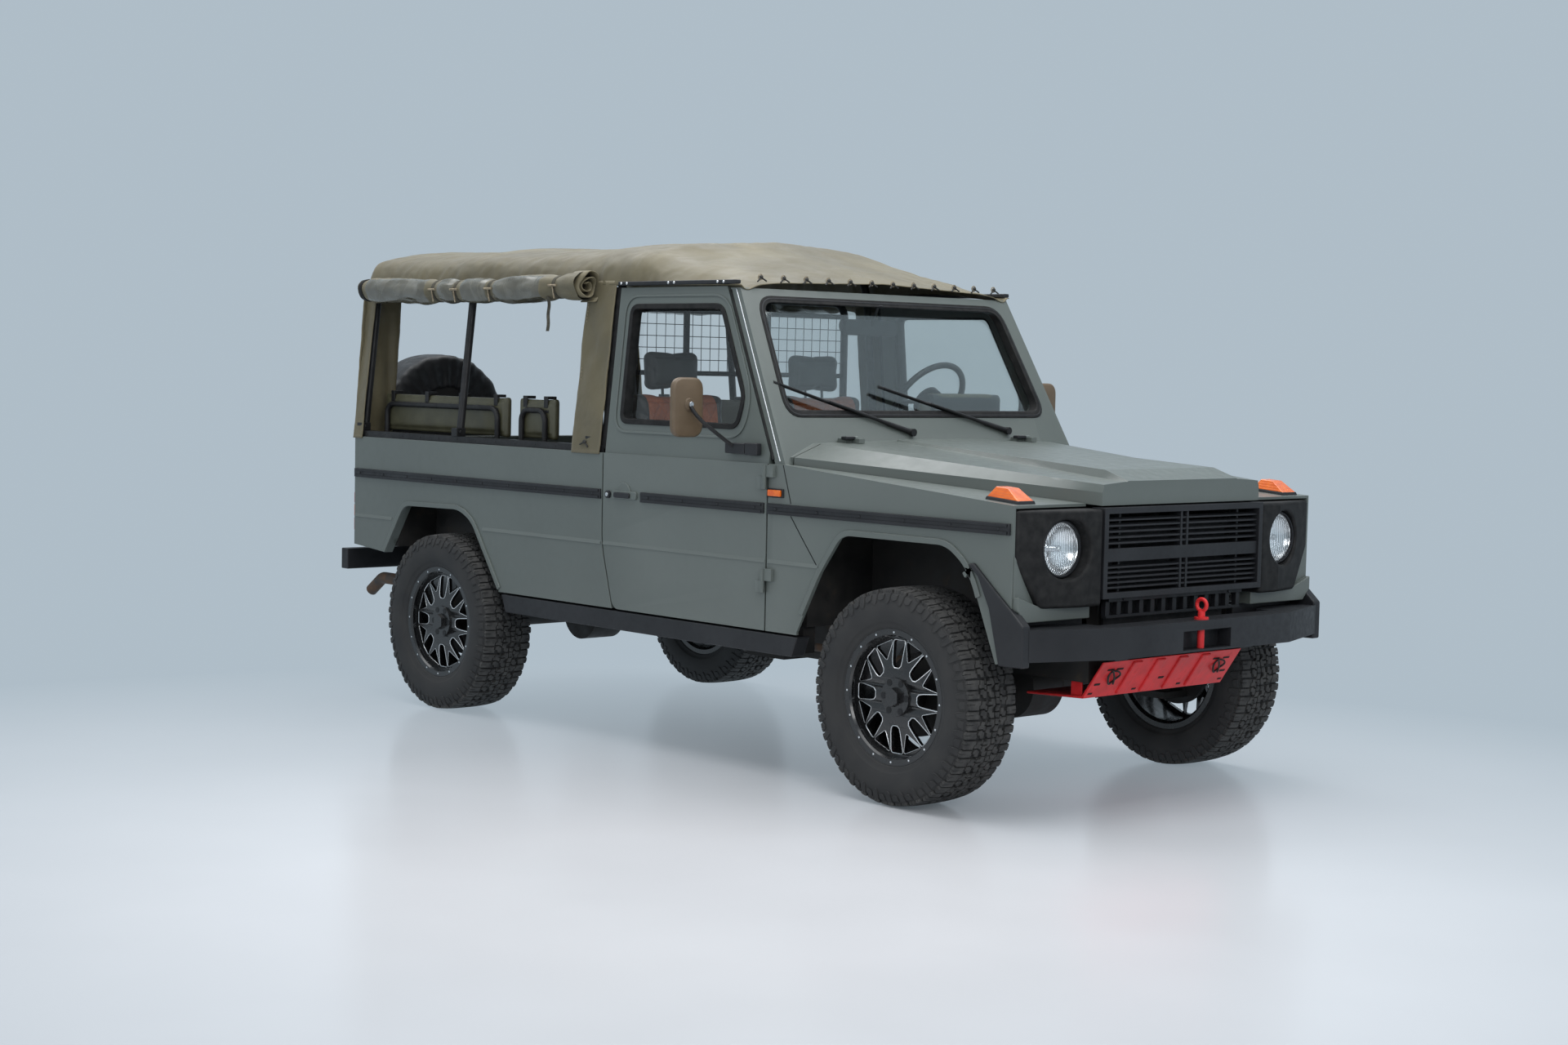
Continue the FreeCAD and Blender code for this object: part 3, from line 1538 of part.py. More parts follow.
def knuckle(label, side):
    """A steering knuckle that holds the axle's eye between two plates, with its disc and hub."""
    piece = Piece(label)
    kingpin = m.kingpin_track / 2
    half_x = m.knuckle_plate_width / 2
    half_z = m.knuckle_height / 2
    outer = kingpin + half_x + m.knuckle_plate_thick
    bottom = axle_height - half_z
    top = axle_height + half_z
    wall = m.knuckle_plate_thick
    low, high = across(side, kingpin - half_x, outer)
    piece.block((front_axle - half_x, front_axle + half_x), (low, high), (bottom, bottom + wall))
    piece.block((front_axle - half_x, front_axle + half_x), (low, high), (top - wall, top))
    low, high = across(side, outer - wall, outer)
    piece.block((front_axle - half_x, front_axle + half_x), (low, high), (bottom, top))
    hub_end = m.track_width / 2 + m.rim_width / 2 - m.rim_disc_inset - m.rim_disc_thick - m.fit_gap
    low, high = across(side, outer, hub_end)
    piece.rod("Y", (front_axle, axle_height), m.spindle_diameter / 2, low, high)
    low, high = across(side, outer, outer + m.brake_disc_thick)
    piece.rod("Y", (front_axle, axle_height), m.brake_disc_diameter / 2, low, high)
    return piece


def rim(label, centre, side):
    """A wheel: its barrel with flanges, a disc with long windows and a plain hub cap."""
    piece = Piece(label)
    flange = m.rim_flange_diameter / 2
    seat = m.rim_seat_diameter / 2
    wall = m.rim_wall
    drop = seat - wall
    half = m.rim_width / 2 * side
    lip = wall * side
    face = half - m.rim_disc_inset * side
    back = face - m.rim_disc_thick * side
    cap = m.hub_cap_diameter / 2
    profile = (
        (0, back),
        (drop, back),
        (drop, -half),
        (flange, -half),
        (flange, lip - half),
        (seat, lip - half),
        (seat, half - lip),
        (flange, half - lip),
        (flange, half),
        (drop, half),
        (drop, face),
        (cap, face),
        (cap, face + m.hub_cap_depth * side),
        (0, face + m.hub_cap_depth * side),
    )
    at = (centre, m.track_width / 2 * side)
    wheel = piece.spin(profile, "V", "Z", at, axle_height)
    middle = (drop + cap) / 2
    reach = m.rim_window_length / 2
    width = m.rim_window_width / 2
    window = (
        (-width, middle - reach, width / 2),
        (width, middle - reach, width / 2),
        (width, middle + reach, width / 2),
        (-width, middle + reach, width / 2),
    )
    low, high = across(side, m.track_width / 2 - m.tyre_width / 2, m.track_width / 2 + m.tyre_width / 2)
    hole = piece.pocket("Y", window, low, high, (centre, axle_height))
    piece.ring([hole], (wheel.Profile[0], ["V_Axis"]), RIM_WINDOWS)
    return piece


# The tyre's outline from bead to tread: radius as a share of the wall's height, and half width
TYRE_WALL_SHARES = (
    (0.13, 0.74),
    (0.22, 0.9),
    (0.5, 1),
    (0.76, 0.98),
    (0.92, 0.92),
)


def tyre(label, centre, side):
    """A hollow tyre, open towards its rim."""
    piece = Piece(label)
    bead = m.rim_seat_diameter / 2 + m.fit_gap
    bead_side = m.rim_width / 2 - m.rim_wall - m.fit_gap
    half = m.tyre_width / 2
    rise = tyre_radius - bead
    wall = m.tyre_wall
    tread = m.tread_width / 2 - m.tread_depth
    outer = [(bead, bead_side)]
    outer += [(bead + rise * share, half * width) for share, width in TYRE_WALL_SHARES]
    outer[1] = (outer[1][0], bead_side)
    outer.append((tyre_radius, tread))
    inner = [(bead, bead_side - wall)]
    inner += [(radius, width - wall) for radius, width in outer[1:-2]]
    inner.append((tyre_radius - wall * 2, tread - wall))
    profile = outer + [(r, -w) for r, w in reversed(outer)]
    profile += [(r, -w) for r, w in inner] + [(r, w) for r, w in reversed(inner)]
    at = (centre, m.track_width / 2 * side)
    piece.spin(profile, "V", "Z", at, axle_height)
    return piece


# Soft top


def side_at(height, inset=0):
    """Half the car's width on its leaning upper side at one height."""
    return body_side - lean_in(height) - inset


def hoop(x):
    """One bow of the soft top: two leaning posts and a bar that follows the roof's section."""
    gap = m.soft_top_wall * 3 / 2 + m.hoop_tube / 2 + m.fit_gap
    foot_height = m.belt_height + m.rail_height
    edge = m.soft_top_edge_height
    half = side_at(edge)
    wide, narrow = SHOULDER_SHARES
    shoulder = soft_top_shoulder
    knee = (half * wide - gap, (edge + shoulder) / 2 - gap / 2)
    right = [(side_at(foot_height, gap), foot_height), (half - gap, edge), knee]
    right.append((half * narrow - gap * 3 / 4, shoulder - gap))
    crown = [(as_size(0), soft_top_crown - gap)]
    points = [place(x, y, z) for y, z in right + crown + [(-y, z) for y, z in reversed(right)]]
    return tube(points, m.hoop_tube.value, m.hoop_corner.value)


def canopy_frame():
    """Rails along the tops of the side panels, with the hoops that stand on them."""
    rail_rear = tail + m.side_wall
    rail_length = panel_front - m.panel_gap - rail_rear
    rail = Part.makeBox(rail_length.value, m.rail_width.value, m.rail_height.value,
                        place(rail_rear, side_at(m.belt_height + m.rail_height, m.rail_width + m.soft_top_wall
                                                 + m.fit_gap), m.belt_height))
    shapes = [rail, mirrored(rail)]
    rear_hoop = tail + m.rear_hoop_inset
    front_hoop = front_axle - m.front_hoop_reach
    for x in (front_hoop, front_axle - m.mid_hoop_reach, rear_hoop):
        shapes.append(hoop(x))
    # A bar along the roof joins the hoops
    drop = m.soft_top_wall + m.hoop_tube + m.fit_gap
    start = place(rear_hoop, 0, soft_top_crown - drop)
    length = (front_hoop - rear_hoop).value
    shapes.append(Part.makeCylinder(m.hoop_tube.value / 3, length, start, FreeCAD.Vector(1, 0, 0)))
    formed("canopy_frame", shapes)


def roof_section(edge, shoulder, crown, inset, drop):
    """The soft top across the car, from one lower edge over the crown to the other."""
    wide, narrow = SHOULDER_SHARES
    half = side_at(edge)
    rise = shoulder - edge
    right = [
        (half * -1 + inset, edge - drop),
        (half * -wide + inset, edge + rise / 2 - inset / 2),
        (half * -narrow + inset, shoulder - inset),
    ]
    left = [(-y, z) for y, z in reversed(right)]
    return tuple(right + [(as_size(0), crown - inset)] + left)


strip_front = door_rear - m.front_strip_gap
strip_rear = strip_front - m.front_strip_width
top_rear = tail - m.soft_top_tail_overhang


def soft_top():
    """The canvas: a roof with a sloping brow, and strips down to the body at its corners."""
    piece = Piece("soft_top")
    edge = m.soft_top_edge_height
    rear = top_rear
    brow = front_axle - m.soft_top_brow_reach
    front = front_axle - m.soft_top_front_reach
    wall = m.soft_top_wall
    none = as_size(0)
    main = (edge, soft_top_shoulder, soft_top_crown)
    low = (edge, m.soft_top_front_height - wall * 2, m.soft_top_front_height)
    piece.loft((
        (rear, roof_section(*main, none, none)),
        (brow, roof_section(*main, none, none)),
        (front, roof_section(*low, none, none)),
    ))
    piece.loft((
        (rear + wall, roof_section(*main, wall, wall)),
        (brow, roof_section(*main, wall, wall)),
        (front - wall, roof_section(*low, wall, wall)),
    ), "SubtractiveLoft")
    # The roof's edges are higher where the side curtains are rolled up
    gap = rectangle(rear + m.tail_strip_width, strip_rear, edge - m.overrun, m.soft_top_roll_height)
    piece.pocket("Y", gap, -body_side, body_side)
    # The front lip rests on the windscreen's frame
    lip = m.soft_top_lip_width / 2
    piece.block((front - wall, front), (-lip, lip), (m.header_height + m.fit_gap, edge + wall))
    strips = (
        (strip_rear, strip_front),
        (rear, rear + m.tail_strip_width),
    )
    foot = upright(m.strip_bottom_height)
    head = upright(edge + wall)
    for start, end in strips:
        for side in (-1, 1):
            leaning(piece, "pad", side, rectangle(start, end, foot, head), body_side - wall, body_side)
    for side in (-1, 1):
        way = as_size(side)
        outer_low = side_at(m.strip_bottom_height) * way
        outer_high = side_at(edge + wall) * way
        width = m.tail_curtain_width * way
        corners = (
            (outer_low - width, m.strip_bottom_height),
            (outer_low, m.strip_bottom_height),
            (outer_high, edge + wall),
            (outer_high - width, edge + wall),
        )
        piece.pad("X", corners, rear, rear + wall)
    return piece


def curtain_rolls():
    """The side curtains, rolled up under the roof's edges."""
    piece = Piece("curtain_rolls")
    rear = top_rear + m.tail_strip_width + m.fit_gap
    front = strip_rear - m.fit_gap
    piece.rod("X", (m.roll_width / 2, m.roll_height), m.roll_diameter / 2, rear, front)
    piece.mirror()
    return piece


# Inside


def front_seats():
    """Two seats, each a cushion, a leaning back and a headrest on its frame."""
    piece = Piece("front_seats")
    middle = m.seat_track / 2
    half = m.seat_width / 2
    low, high = middle - half, middle + half
    front = front_axle - m.cushion_front_reach
    rear = front - m.cushion_length
    top = m.seat_base_height
    base = top - m.cushion_thick
    corner = m.seat_corner
    cushion = (
        (rear, base),
        (front, base),
        (front, top, corner),
        (rear, top),
    )
    piece.pad("Y", cushion, low, high)
    lean = m.back_lean
    thick = m.back_thick
    back = (
        (rear, base),
        (rear + thick, base),
        (rear + thick - lean, m.back_top_height, corner),
        (rear - lean, m.back_top_height, corner),
    )
    piece.pad("Y", back, low, high)
    inset = m.headrest_thick / 8
    head_low = m.headrest_top_height - m.headrest_height
    head = (
        (rear - lean + inset, head_low, corner / 2),
        (rear - lean + m.headrest_thick, head_low, corner / 2),
        (rear - lean + m.headrest_thick - inset, m.headrest_top_height, corner / 2),
        (rear - lean, m.headrest_top_height, corner / 2),
    )
    half_head = m.headrest_width / 2
    piece.pad("Y", head, middle - half_head, middle + half_head)
    rail = m.seat_rail_width
    for side in (low + rail, high - rail * 2):
        piece.block((rear + rail, front - rail), (side, side + rail), (frame_top + m.floor_thick, base))
    piece.mirror()
    return piece


def dashboard():
    piece = Piece("dashboard")
    front = screen_base - m.cowl_depth
    rear = front - m.dash_depth
    low = m.dash_bottom_height
    top = m.dash_top_height
    profile = (
        (front, low),
        (front, m.belt_height),
        (screen_line(m.belt_height + m.panel_gap, m.screen_frame_depth + m.panel_gap), m.belt_height + m.panel_gap),
        (screen_line(top, m.screen_frame_depth + m.panel_gap), top),
        (rear, top, m.seat_corner),
        (rear, low, m.seat_corner),
    )
    half = m.dash_width / 2
    piece.pad("Y", profile, -half, half)
    # The hood over the dials
    high = m.binnacle_top_height
    inset = m.screen_frame_depth + m.panel_gap
    hood = (
        (rear + m.seat_corner, top - m.seat_corner),
        (screen_line(high, inset), top - m.seat_corner),
        (screen_line(high, inset), high, m.seat_corner / 2),
        (rear, high, m.seat_corner / 2),
        (rear, top - m.seat_corner),
    )
    half = m.binnacle_width / 2
    piece.pad("Y", hood, m.steering_side - half, m.steering_side + half)
    return piece


def steering_wheel():
    """The wheel with its boss and column, leaning towards the driver on the car's left."""
    lean = math.radians(SIZES["steering_lean"])
    axis = FreeCAD.Vector(-math.cos(lean), 0, math.sin(lean))
    centre = place(front_axle - m.steering_reach, m.steering_side, m.steering_height)
    radius = m.steering_wheel_diameter.value / 2
    wire = m.steering_rim.value / 2
    ring = Part.makeTorus(radius - wire, wire, centre, axis)
    boss = Part.makeCylinder(radius / 3, m.steering_rim.value, centre - axis * wire, axis)
    across_way = FreeCAD.Vector(0, 1, 0)
    ways = (across_way, -across_way, axis.cross(across_way).normalize())
    spokes = [Part.makeCylinder(wire * 2 / 3, radius - wire, centre, way) for way in ways]
    face = screen_base - m.cowl_depth - m.dash_depth - m.fit_gap
    run = m.steering_wheel_diameter.value
    column = Part.makeCylinder(m.steering_column.value / 2, run, centre, -axis)
    beyond = Part.makeBox(run, run, run * 2, place(face, m.steering_side, m.steering_height) - FreeCAD.Vector(
        0, run / 2, run))
    column = column.cut(beyond)
    formed("steering_wheel", [ring, boss, column] + spokes)


def cab_divider():
    """The bars behind the seats."""
    x = divider_place
    tube_size = m.divider_tube.value
    bar = m.divider_bar.value / 2
    half = m.divider_width / 2
    low = load_deck
    shoulder = soft_top_shoulder
    top = shoulder + (soft_top_crown - shoulder) * DIVIDER_CROWN_SHARE - m.divider_top_drop
    frame = tube([place(x, -half, low), place(x, -half, top), place(x, half, top), place(x, half, low)],
                 tube_size, tube_size * 2)
    shapes = [frame]
    for side in (-half / 3, half / 3):
        shapes.append(Part.makeCylinder(bar, (top - low).value, place(x, side, low)))
    for height in (m.belt_height, (m.belt_height + top) / 2, top - m.divider_bar_drop):
        shapes.append(Part.makeCylinder(bar * 4 / 5, (half * 2).value, place(x, -half, height),
                                        FreeCAD.Vector(0, 1, 0)))
    formed("cab_divider", shapes)


def bench_spans():
    """The rear and front ends of the two backrests on each side."""
    rear = tail + m.bench_tail_gap
    run = divider_place - rear
    return tuple((rear + run * start, rear + run * end) for start, end in BENCH_SHARES)


def rear_benches():
    """The benches along the load space: padded backs and seats that face inward."""
    piece = Piece("rear_benches")
    middle = m.bench_track / 2
    thick = m.bench_back_thick
    corner = m.bench_corner
    low = m.bench_back_bottom
    high = m.bench_back_top
    for rear, front in bench_spans():
        back = ((rear, low, corner), (front, low, corner), (front, high, corner), (rear, high, corner))
        piece.pad("Y", back, middle, middle + thick)
        seat_low = m.wheelhouse_height
        piece.block((rear + m.bench_gap / 2, front), (middle + thick - m.bench_seat_width, middle + thick),
                    (seat_low, seat_low + m.bench_seat_thick))
    piece.mirror()
    return piece


def foot_of(x):
    """The height that a bench's outer leg stands on: the wheelhouse, or the load floor beyond it."""
    ahead = (rear_axle + m.wheelhouse_front_run).value
    behind = (rear_axle - m.wheelhouse_rear_run).value
    if behind < x.value < ahead:
        return m.wheelhouse_height
    return load_deck


def bench_hoop(rear, front):
    """One bent tube that carries a backrest, on the car's left side."""
    inset = m.bench_gap
    top = m.bench_back_top - m.bench_gap
    points = [
        place(rear + inset, bench_frame_side, foot_of(rear + inset)),
        place(rear + inset, bench_frame_side, top),
        place(front - inset, bench_frame_side, top),
        place(front - inset, bench_frame_side, foot_of(front - inset)),
    ]
    return tube(points, m.bench_tube.value, m.bench_tube.value * 2)


def formed_apart(name, shapes):
    """A node from solids that don't touch each other."""
    feature = doc.addObject("Part::Feature", name)
    feature.Label = name
    feature.Shape = Part.makeCompound(shapes)
    feature.Placement = FreeCAD.Placement()
    nodes.append(feature)


def bench_frames():
    """The tubes that carry the benches: a long hoop on each side, then short hoops and legs."""
    long_span, short_span = bench_spans()
    hoop_left = bench_hoop(*long_span)
    formed_apart("bench_hoop_left", [hoop_left])
    formed_apart("bench_hoop_right", [mirrored(hoop_left)])
    bars = [bench_hoop(*short_span)]
    # Legs under the seats' inner edges
    for rear, front in (long_span, short_span):
        for x in (rear + m.bench_gap, front - m.bench_gap):
            bars.append(Part.makeCylinder(m.bench_tube.value / 2, (m.wheelhouse_height - load_deck).value,
                                          place(x, bench_leg_side, load_deck)))
    formed_apart("bench_frames", bars + [mirrored(bar) for bar in bars])


SIDES = (("right", -1), ("left", 1))

chassis_frame()
engine_block()
driveline()
front_axle_beam()
rear_axle_beam()
springs()
exhaust_pipe()
cab_floor()
load_bed()
load_mat()
inner_wings()
for name, side in SIDES:
    panel = side_panel("side_panel_" + name, side)
    if side < 0:
        rear_hinge_posts(panel)
    wing("wing_" + name, side)
windscreen_frame()
windscreen_glass()
bonnet()
grille()
headlamp_surrounds()
headlamps()
turn_signals()
front_bumper()
tow_pin()
skid_plate()
rear_bumper()
sills()
tail_lamps()
for name, side in SIDES:
    door("door_" + name, side)
    door_glass("door_glass_" + name, side)
    door_mirror("mirror_" + name, side)
rear_door()
spare_wheel()
for name, side in SIDES:
    knuckle("knuckle_" + name, side)
for end, centre in (("front", front_axle), ("rear", rear_axle)):
    for name, side in SIDES:
        rim("rim_" + end + "_" + name, centre, side)
        tyre("tyre_" + end + "_" + name, centre, side)
canopy_frame()
soft_top()
curtain_rolls()
front_seats()
dashboard()
steering_wheel()
cab_divider()
rear_benches()
bench_frames()


def write_nodes():
    doc.recompute()
    faults = []
    for thing in doc.Objects:
        if "Invalid" in thing.State or "Error" in thing.State:
            faults.append(thing.Name + " " + str(thing.State))
    for node in nodes:
        if node.Shape.isNull() or not node.Shape.isValid() or not node.Shape.Solids:
            faults.append(node.Label + " has no valid solid")
    if faults:
        raise RuntimeError("; ".join(faults))
    os.makedirs("parts", exist_ok=True)
    for node in nodes:
        node.Shape.exportStep("parts/" + node.Label + ".step")
        box = node.Shape.BoundBox
        print(node.Label, len(node.Shape.Solids), "solids", [round(v) for v in (
            box.XMin, box.XMax, box.YMin, box.YMax, box.ZMin, box.ZMax)])


write_nodes()
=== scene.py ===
# %% [markdown]
# A soft-top 4x4 car on its wheels, dressed for a photograph.
# The measured solids come in first and stay where they are. Everything after this adds the looks: rounded
# panel edges, tread, canvas, lamps, seats and small fittings.
# All lengths are in metres. X points forward, Y to the car's left and Z up.

# %% Load the measured model
import json
import math
import bmesh
import bpy
from mathutils import Matrix, Vector, noise

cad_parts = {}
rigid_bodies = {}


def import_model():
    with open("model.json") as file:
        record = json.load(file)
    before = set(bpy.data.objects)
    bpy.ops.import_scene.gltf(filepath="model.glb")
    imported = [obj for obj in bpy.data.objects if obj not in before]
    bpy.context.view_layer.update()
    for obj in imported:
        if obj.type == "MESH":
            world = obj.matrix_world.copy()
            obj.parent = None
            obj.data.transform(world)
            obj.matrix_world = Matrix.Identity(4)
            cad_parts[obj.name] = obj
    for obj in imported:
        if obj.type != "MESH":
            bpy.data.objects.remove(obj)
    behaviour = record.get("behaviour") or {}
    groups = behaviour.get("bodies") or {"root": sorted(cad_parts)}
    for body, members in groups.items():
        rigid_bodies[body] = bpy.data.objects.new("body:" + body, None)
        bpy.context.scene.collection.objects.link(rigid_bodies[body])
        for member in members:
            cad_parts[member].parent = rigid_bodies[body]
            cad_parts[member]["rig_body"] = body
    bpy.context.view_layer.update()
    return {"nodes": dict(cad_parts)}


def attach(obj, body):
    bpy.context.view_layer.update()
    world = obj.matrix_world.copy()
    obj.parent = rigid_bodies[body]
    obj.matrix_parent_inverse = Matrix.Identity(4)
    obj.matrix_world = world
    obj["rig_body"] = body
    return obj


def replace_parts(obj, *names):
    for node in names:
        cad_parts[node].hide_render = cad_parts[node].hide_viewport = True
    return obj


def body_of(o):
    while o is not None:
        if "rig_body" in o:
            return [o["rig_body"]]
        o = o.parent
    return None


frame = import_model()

NODES = frame["nodes"]

# %% [markdown]
# These places come from the measured model, so that each new piece lands on the panel that carries it.

# %% Shared places
WHEEL_RADIUS = 0.39
FRONT_AXLE = 1.585
REAR_AXLE = -1.265
HALF_TRACK = 0.765
SIDE = 0.838
BELT = 1.185
HEADER = 1.85
LEAN = math.radians(6)
SCREEN_BASE = 0.945
SCREEN_HEAD = 0.59
SIDES = (("right", -1), ("left", 1))
EVEN = (1, 1, 1)


def side_at(z, inset=0.0):
    """Half the car's width on its leaning upper side."""
    return SIDE - (z - BELT) * math.tan(LEAN) - inset


def screen_at(z, inset=0.0):
    """Where the windscreen's outer face is along the car, at one height."""
    share = (z - BELT) / (HEADER - BELT)
    return SCREEN_BASE + (SCREEN_HEAD - SCREEN_BASE) * share - inset


def sided(side, first, second):
    """Two distances from the middle as a low and a high place on one side of the car."""
    return sorted((first * side, second * side))


def turns_of(count):
    """Equal steps of a full turn."""
    return [2 * math.pi * k / count for k in range(count)]


# %% [markdown]
# The camera stands at the photograph's place: ahead of the car, to its right, a little above the bonnet.
# Its direction is given as a heading, a drop and a slight roll, and turned into three axes.

# %% Camera
CAMERA_PLACE = Vector((7.4219, -6.7159, 1.5475))
HEADING, DROP, ROLL = (math.radians(v) for v in (137.71, 3.784, 1.215))
FOCAL = 53.94
forward = Vector((math.cos(HEADING) * math.cos(DROP), math.sin(HEADING) * math.cos(DROP), -math.sin(DROP)))
level = forward.cross(Vector((0, 0, 1))).normalized()
upward = level.cross(forward)
right = level * math.cos(ROLL) + upward * math.sin(ROLL)
top = right.cross(forward)


def placed(name, data):
    """Puts new data into the scene as an object."""
    thing = bpy.data.objects.new(name, data)
    bpy.context.scene.collection.objects.link(thing)
    return thing


camera_data = bpy.data.cameras.new("camera")
camera_data.lens = FOCAL
camera_data.sensor_width = 36
camera = placed("camera", camera_data)
camera.matrix_world = Matrix.Translation(CAMERA_PLACE) @ Matrix((right, top, -forward)).transposed().to_4x4()
bpy.context.scene.camera = camera
bpy.context.scene.view_settings.view_transform = "Standard"
print("camera looks along", tuple(round(v, 3) for v in forward))

# %% [markdown]
# A material here is a small graph of nodes. One helper makes a node, and fills each of its sockets with a value
# or with a link. Every finish starts from the same shader, so that each recipe below stays a few lines long.


# %% Node helpers
def wire(tree, node, sockets):
    """Fills a node's sockets, each with a value or with a link from another node's output."""
    for key, value in sockets.items():
        socket = node.inputs[key]
        if isinstance(value, bpy.types.NodeSocket):
            tree.links.new(value, socket)
        else:
            socket.default_value = (*value, 1) if socket.type == "RGBA" else value
    return node


def add_node(tree, kind, sockets=None, **settings):
    node = tree.nodes.new("ShaderNode" + kind)
    for key, value in settings.items():
        setattr(node, key, value)
    return wire(tree, node, sockets or {})


class Finish:
    """A material with its shader, its slot in the record, and short ways to add textures to it."""

    def __init__(self, name, color, rough, slot="", sockets=None):
        self.mat = bpy.data.materials.new(name)
        self.mat.use_nodes = True
        self.mat.diffuse_color = (*color, 1)
        self.slot = slot
        self.tree = self.mat.node_tree
        self.shader = self.tree.nodes["Principled BSDF"]
        self.place = self.add("TexCoord").outputs["Object"]
        wire(self.tree, self.shader, {"Base Color": color, "Roughness": rough, **(sockets or {})})

    def add(self, kind, sockets=None, **settings):
        return add_node(self.tree, kind, sockets, **settings)

    def noise(self, scale, detail=3, stretch=EVEN, warp=0.0):
        mapped = self.add("Mapping", {"Scale": stretch, "Vector": self.place}).outputs[0]
        return self.add("TexNoise", {"Scale": scale, "Detail": detail, "Distortion": warp,
                                     "Vector": mapped}).outputs["Fac"]

    def wave(self, scale, direction="X"):
        node = self.add("TexWave", {"Scale": scale, "Vector": self.place}, bands_direction=direction)
        return node.outputs["Fac"]

    def cells(self, scale, feature="F1"):
        node = self.add("TexVoronoi", {"Scale": scale, "Vector": self.place}, feature=feature)
        return node.outputs["Distance"]

    def ramp(self, fac, stops):
        node = self.add("ValToRGB", {"Fac": fac})
        marks = node.color_ramp.elements
        while len(marks) < len(stops):
            marks.new(0.5)
        for mark, (place, color) in zip(marks, stops):
            mark.position = place
            mark.color = (*color, 1)
        return node.outputs["Color"]

    def span(self, fac, low, high, start=0.3, end=0.7):
        """Stretches a range of one texture over another range."""
        return self.add("MapRange", {"Value": fac, "From Min": start, "From Max": end, "To Min": low,
                                     "To Max": high}).outputs["Result"]

    def mix(self, fac, first, second):
        return self.add("Mix", data_type="RGBA", sockets={0: fac, 6: first, 7: second}).outputs[2]

    def math(self, kind, first, second):
        return self.add("Math", {0: first, 1: second}, operation=kind).outputs["Value"]

    def edges(self, low, high):
        """Light where the surface bulges, as at a worn edge."""
        return self.span(self.add("NewGeometry").outputs["Pointiness"], 0, 1, low, high)

    def height(self, axis, low, high):
        """From 0 to 1 along one of the car's axes, for dust that gathers low down."""
        return self.span(self.add("SeparateXYZ", {"Vector": self.place}).outputs[axis], 0, 1, low, high)

    def color(self, out):
        wire(self.tree, self.shader, {"Base Color": out})

    def rough(self, out):
        wire(self.tree, self.shader, {"Roughness": out})

    def bump(self, out, strength, distance):
        node = self.add("Bump", {"Strength": strength, "Distance": distance, "Height": out})
        before = self.shader.inputs["Normal"].links
        if before:
            wire(self.tree, node, {"Normal": before[0].from_socket})
        wire(self.tree, self.shader, {"Normal": node.outputs["Normal"]})

    def surface(self, out):
        wire(self.tree, self.tree.nodes["Material Output"], {"Surface": out})


def mottled(name, color, rough, slot, grain=None, stops=None, gloss=None, bumps=(), sockets=None):
    """A finish whose colour follows a noise, with a second noise in its gloss and a list of bumps.

    grain is the colour noise's measures. gloss is its own noise, or None for the colour's, and two roughnesses.
    A bump is a texture's kind and measures, then its strength and depth."""
    finish = Finish(name, color, rough, slot, sockets)
    if grain:
        tone = finish.noise(*grain)
        finish.color(finish.ramp(tone, stops))
    if gloss:
        own, low, high = gloss
        finish.rough(finish.span(finish.noise(*own) if own else tone, low, high))
    for kind, measures, strength, distance in bumps:
        finish.bump(getattr(finish, kind)(*measures), strength, distance)
    return finish


def coat(weight, rough):
    return {"Coat Weight": weight, "Coat Roughness": rough}


def shade(color, gain):
    return tuple(v * gain for v in color)


# %% [markdown]
# The floor is one large sheet. Near the car it is a pale, slightly glossy paint that takes the shadow and a
# faint reflection. Further out it fades into the colour of the wall, so that no edge of it ever shows.
# The world is a plain soft light. A ray from the camera, or one that glass or metal sends on, sees the wall's
# colour in its place.

# %% Floor, world and lamps
WALL = (0.43, 0.51, 0.575)
FLOOR = (0.66, 0.675, 0.71)
FLOOR_REACH = 60
FADE_START, FADE_END = 0.9, 5.2
FADE_CENTRE = (2.2, -2.2, 0)
WORLD_LIGHT = 0.62
WORLD_TINT = (0.93, 0.97, 1)
floor_mesh = bpy.data.meshes.new("floor")
shape = bmesh.new()
bmesh.ops.create_grid(shape, x_segments=1, y_segments=1, size=FLOOR_REACH)
shape.to_mesh(floor_mesh)
shape.free()
floor = placed("floor", floor_mesh)
paint = mottled("floor_paint", FLOOR, 0.16, "", (0.9, 3), ((0.3, shade(FLOOR, 0.95)), (0.7, FLOOR)),
                ((0.7, 2), 0.17, 0.25))
distance = paint.add("VectorMath", {0: paint.place, 1: FADE_CENTRE}, operation="DISTANCE").outputs["Value"]
glow = paint.add("Emission", {"Color": WALL})
faded = paint.span(distance, 0, 1, FADE_START, FADE_END)
paint.surface(paint.add("MixShader", {0: faded, 1: paint.shader.outputs[0], 2: glow.outputs[0]}).outputs[0])
floor_mesh.materials.append(paint.mat)

world = bpy.data.worlds.new("studio")
bpy.context.scene.world = world
world.use_nodes = True
lights = world.node_tree
# 1 for a ray that a viewer sees: straight from the camera, or by way of a mirror or glass
path = add_node(lights, "LightPath").outputs
shown = path["Is Camera Ray"]
for kind in ("Is Glossy Ray", "Is Transmission Ray"):
    shown = add_node(lights, "Math", {0: shown, 1: path[kind]}, operation="MAXIMUM").outputs[0]
ambient = wire(lights, lights.nodes["Background"], {"Color": WORLD_TINT, "Strength": WORLD_LIGHT})
wall = add_node(lights, "Background", {"Color": WALL})
chooser = add_node(lights, "MixShader", {0: shown, 1: ambient.outputs[0], 2: wall.outputs[0]})
wire(lights, lights.nodes["World Output"], {"Surface": chooser.outputs[0]})
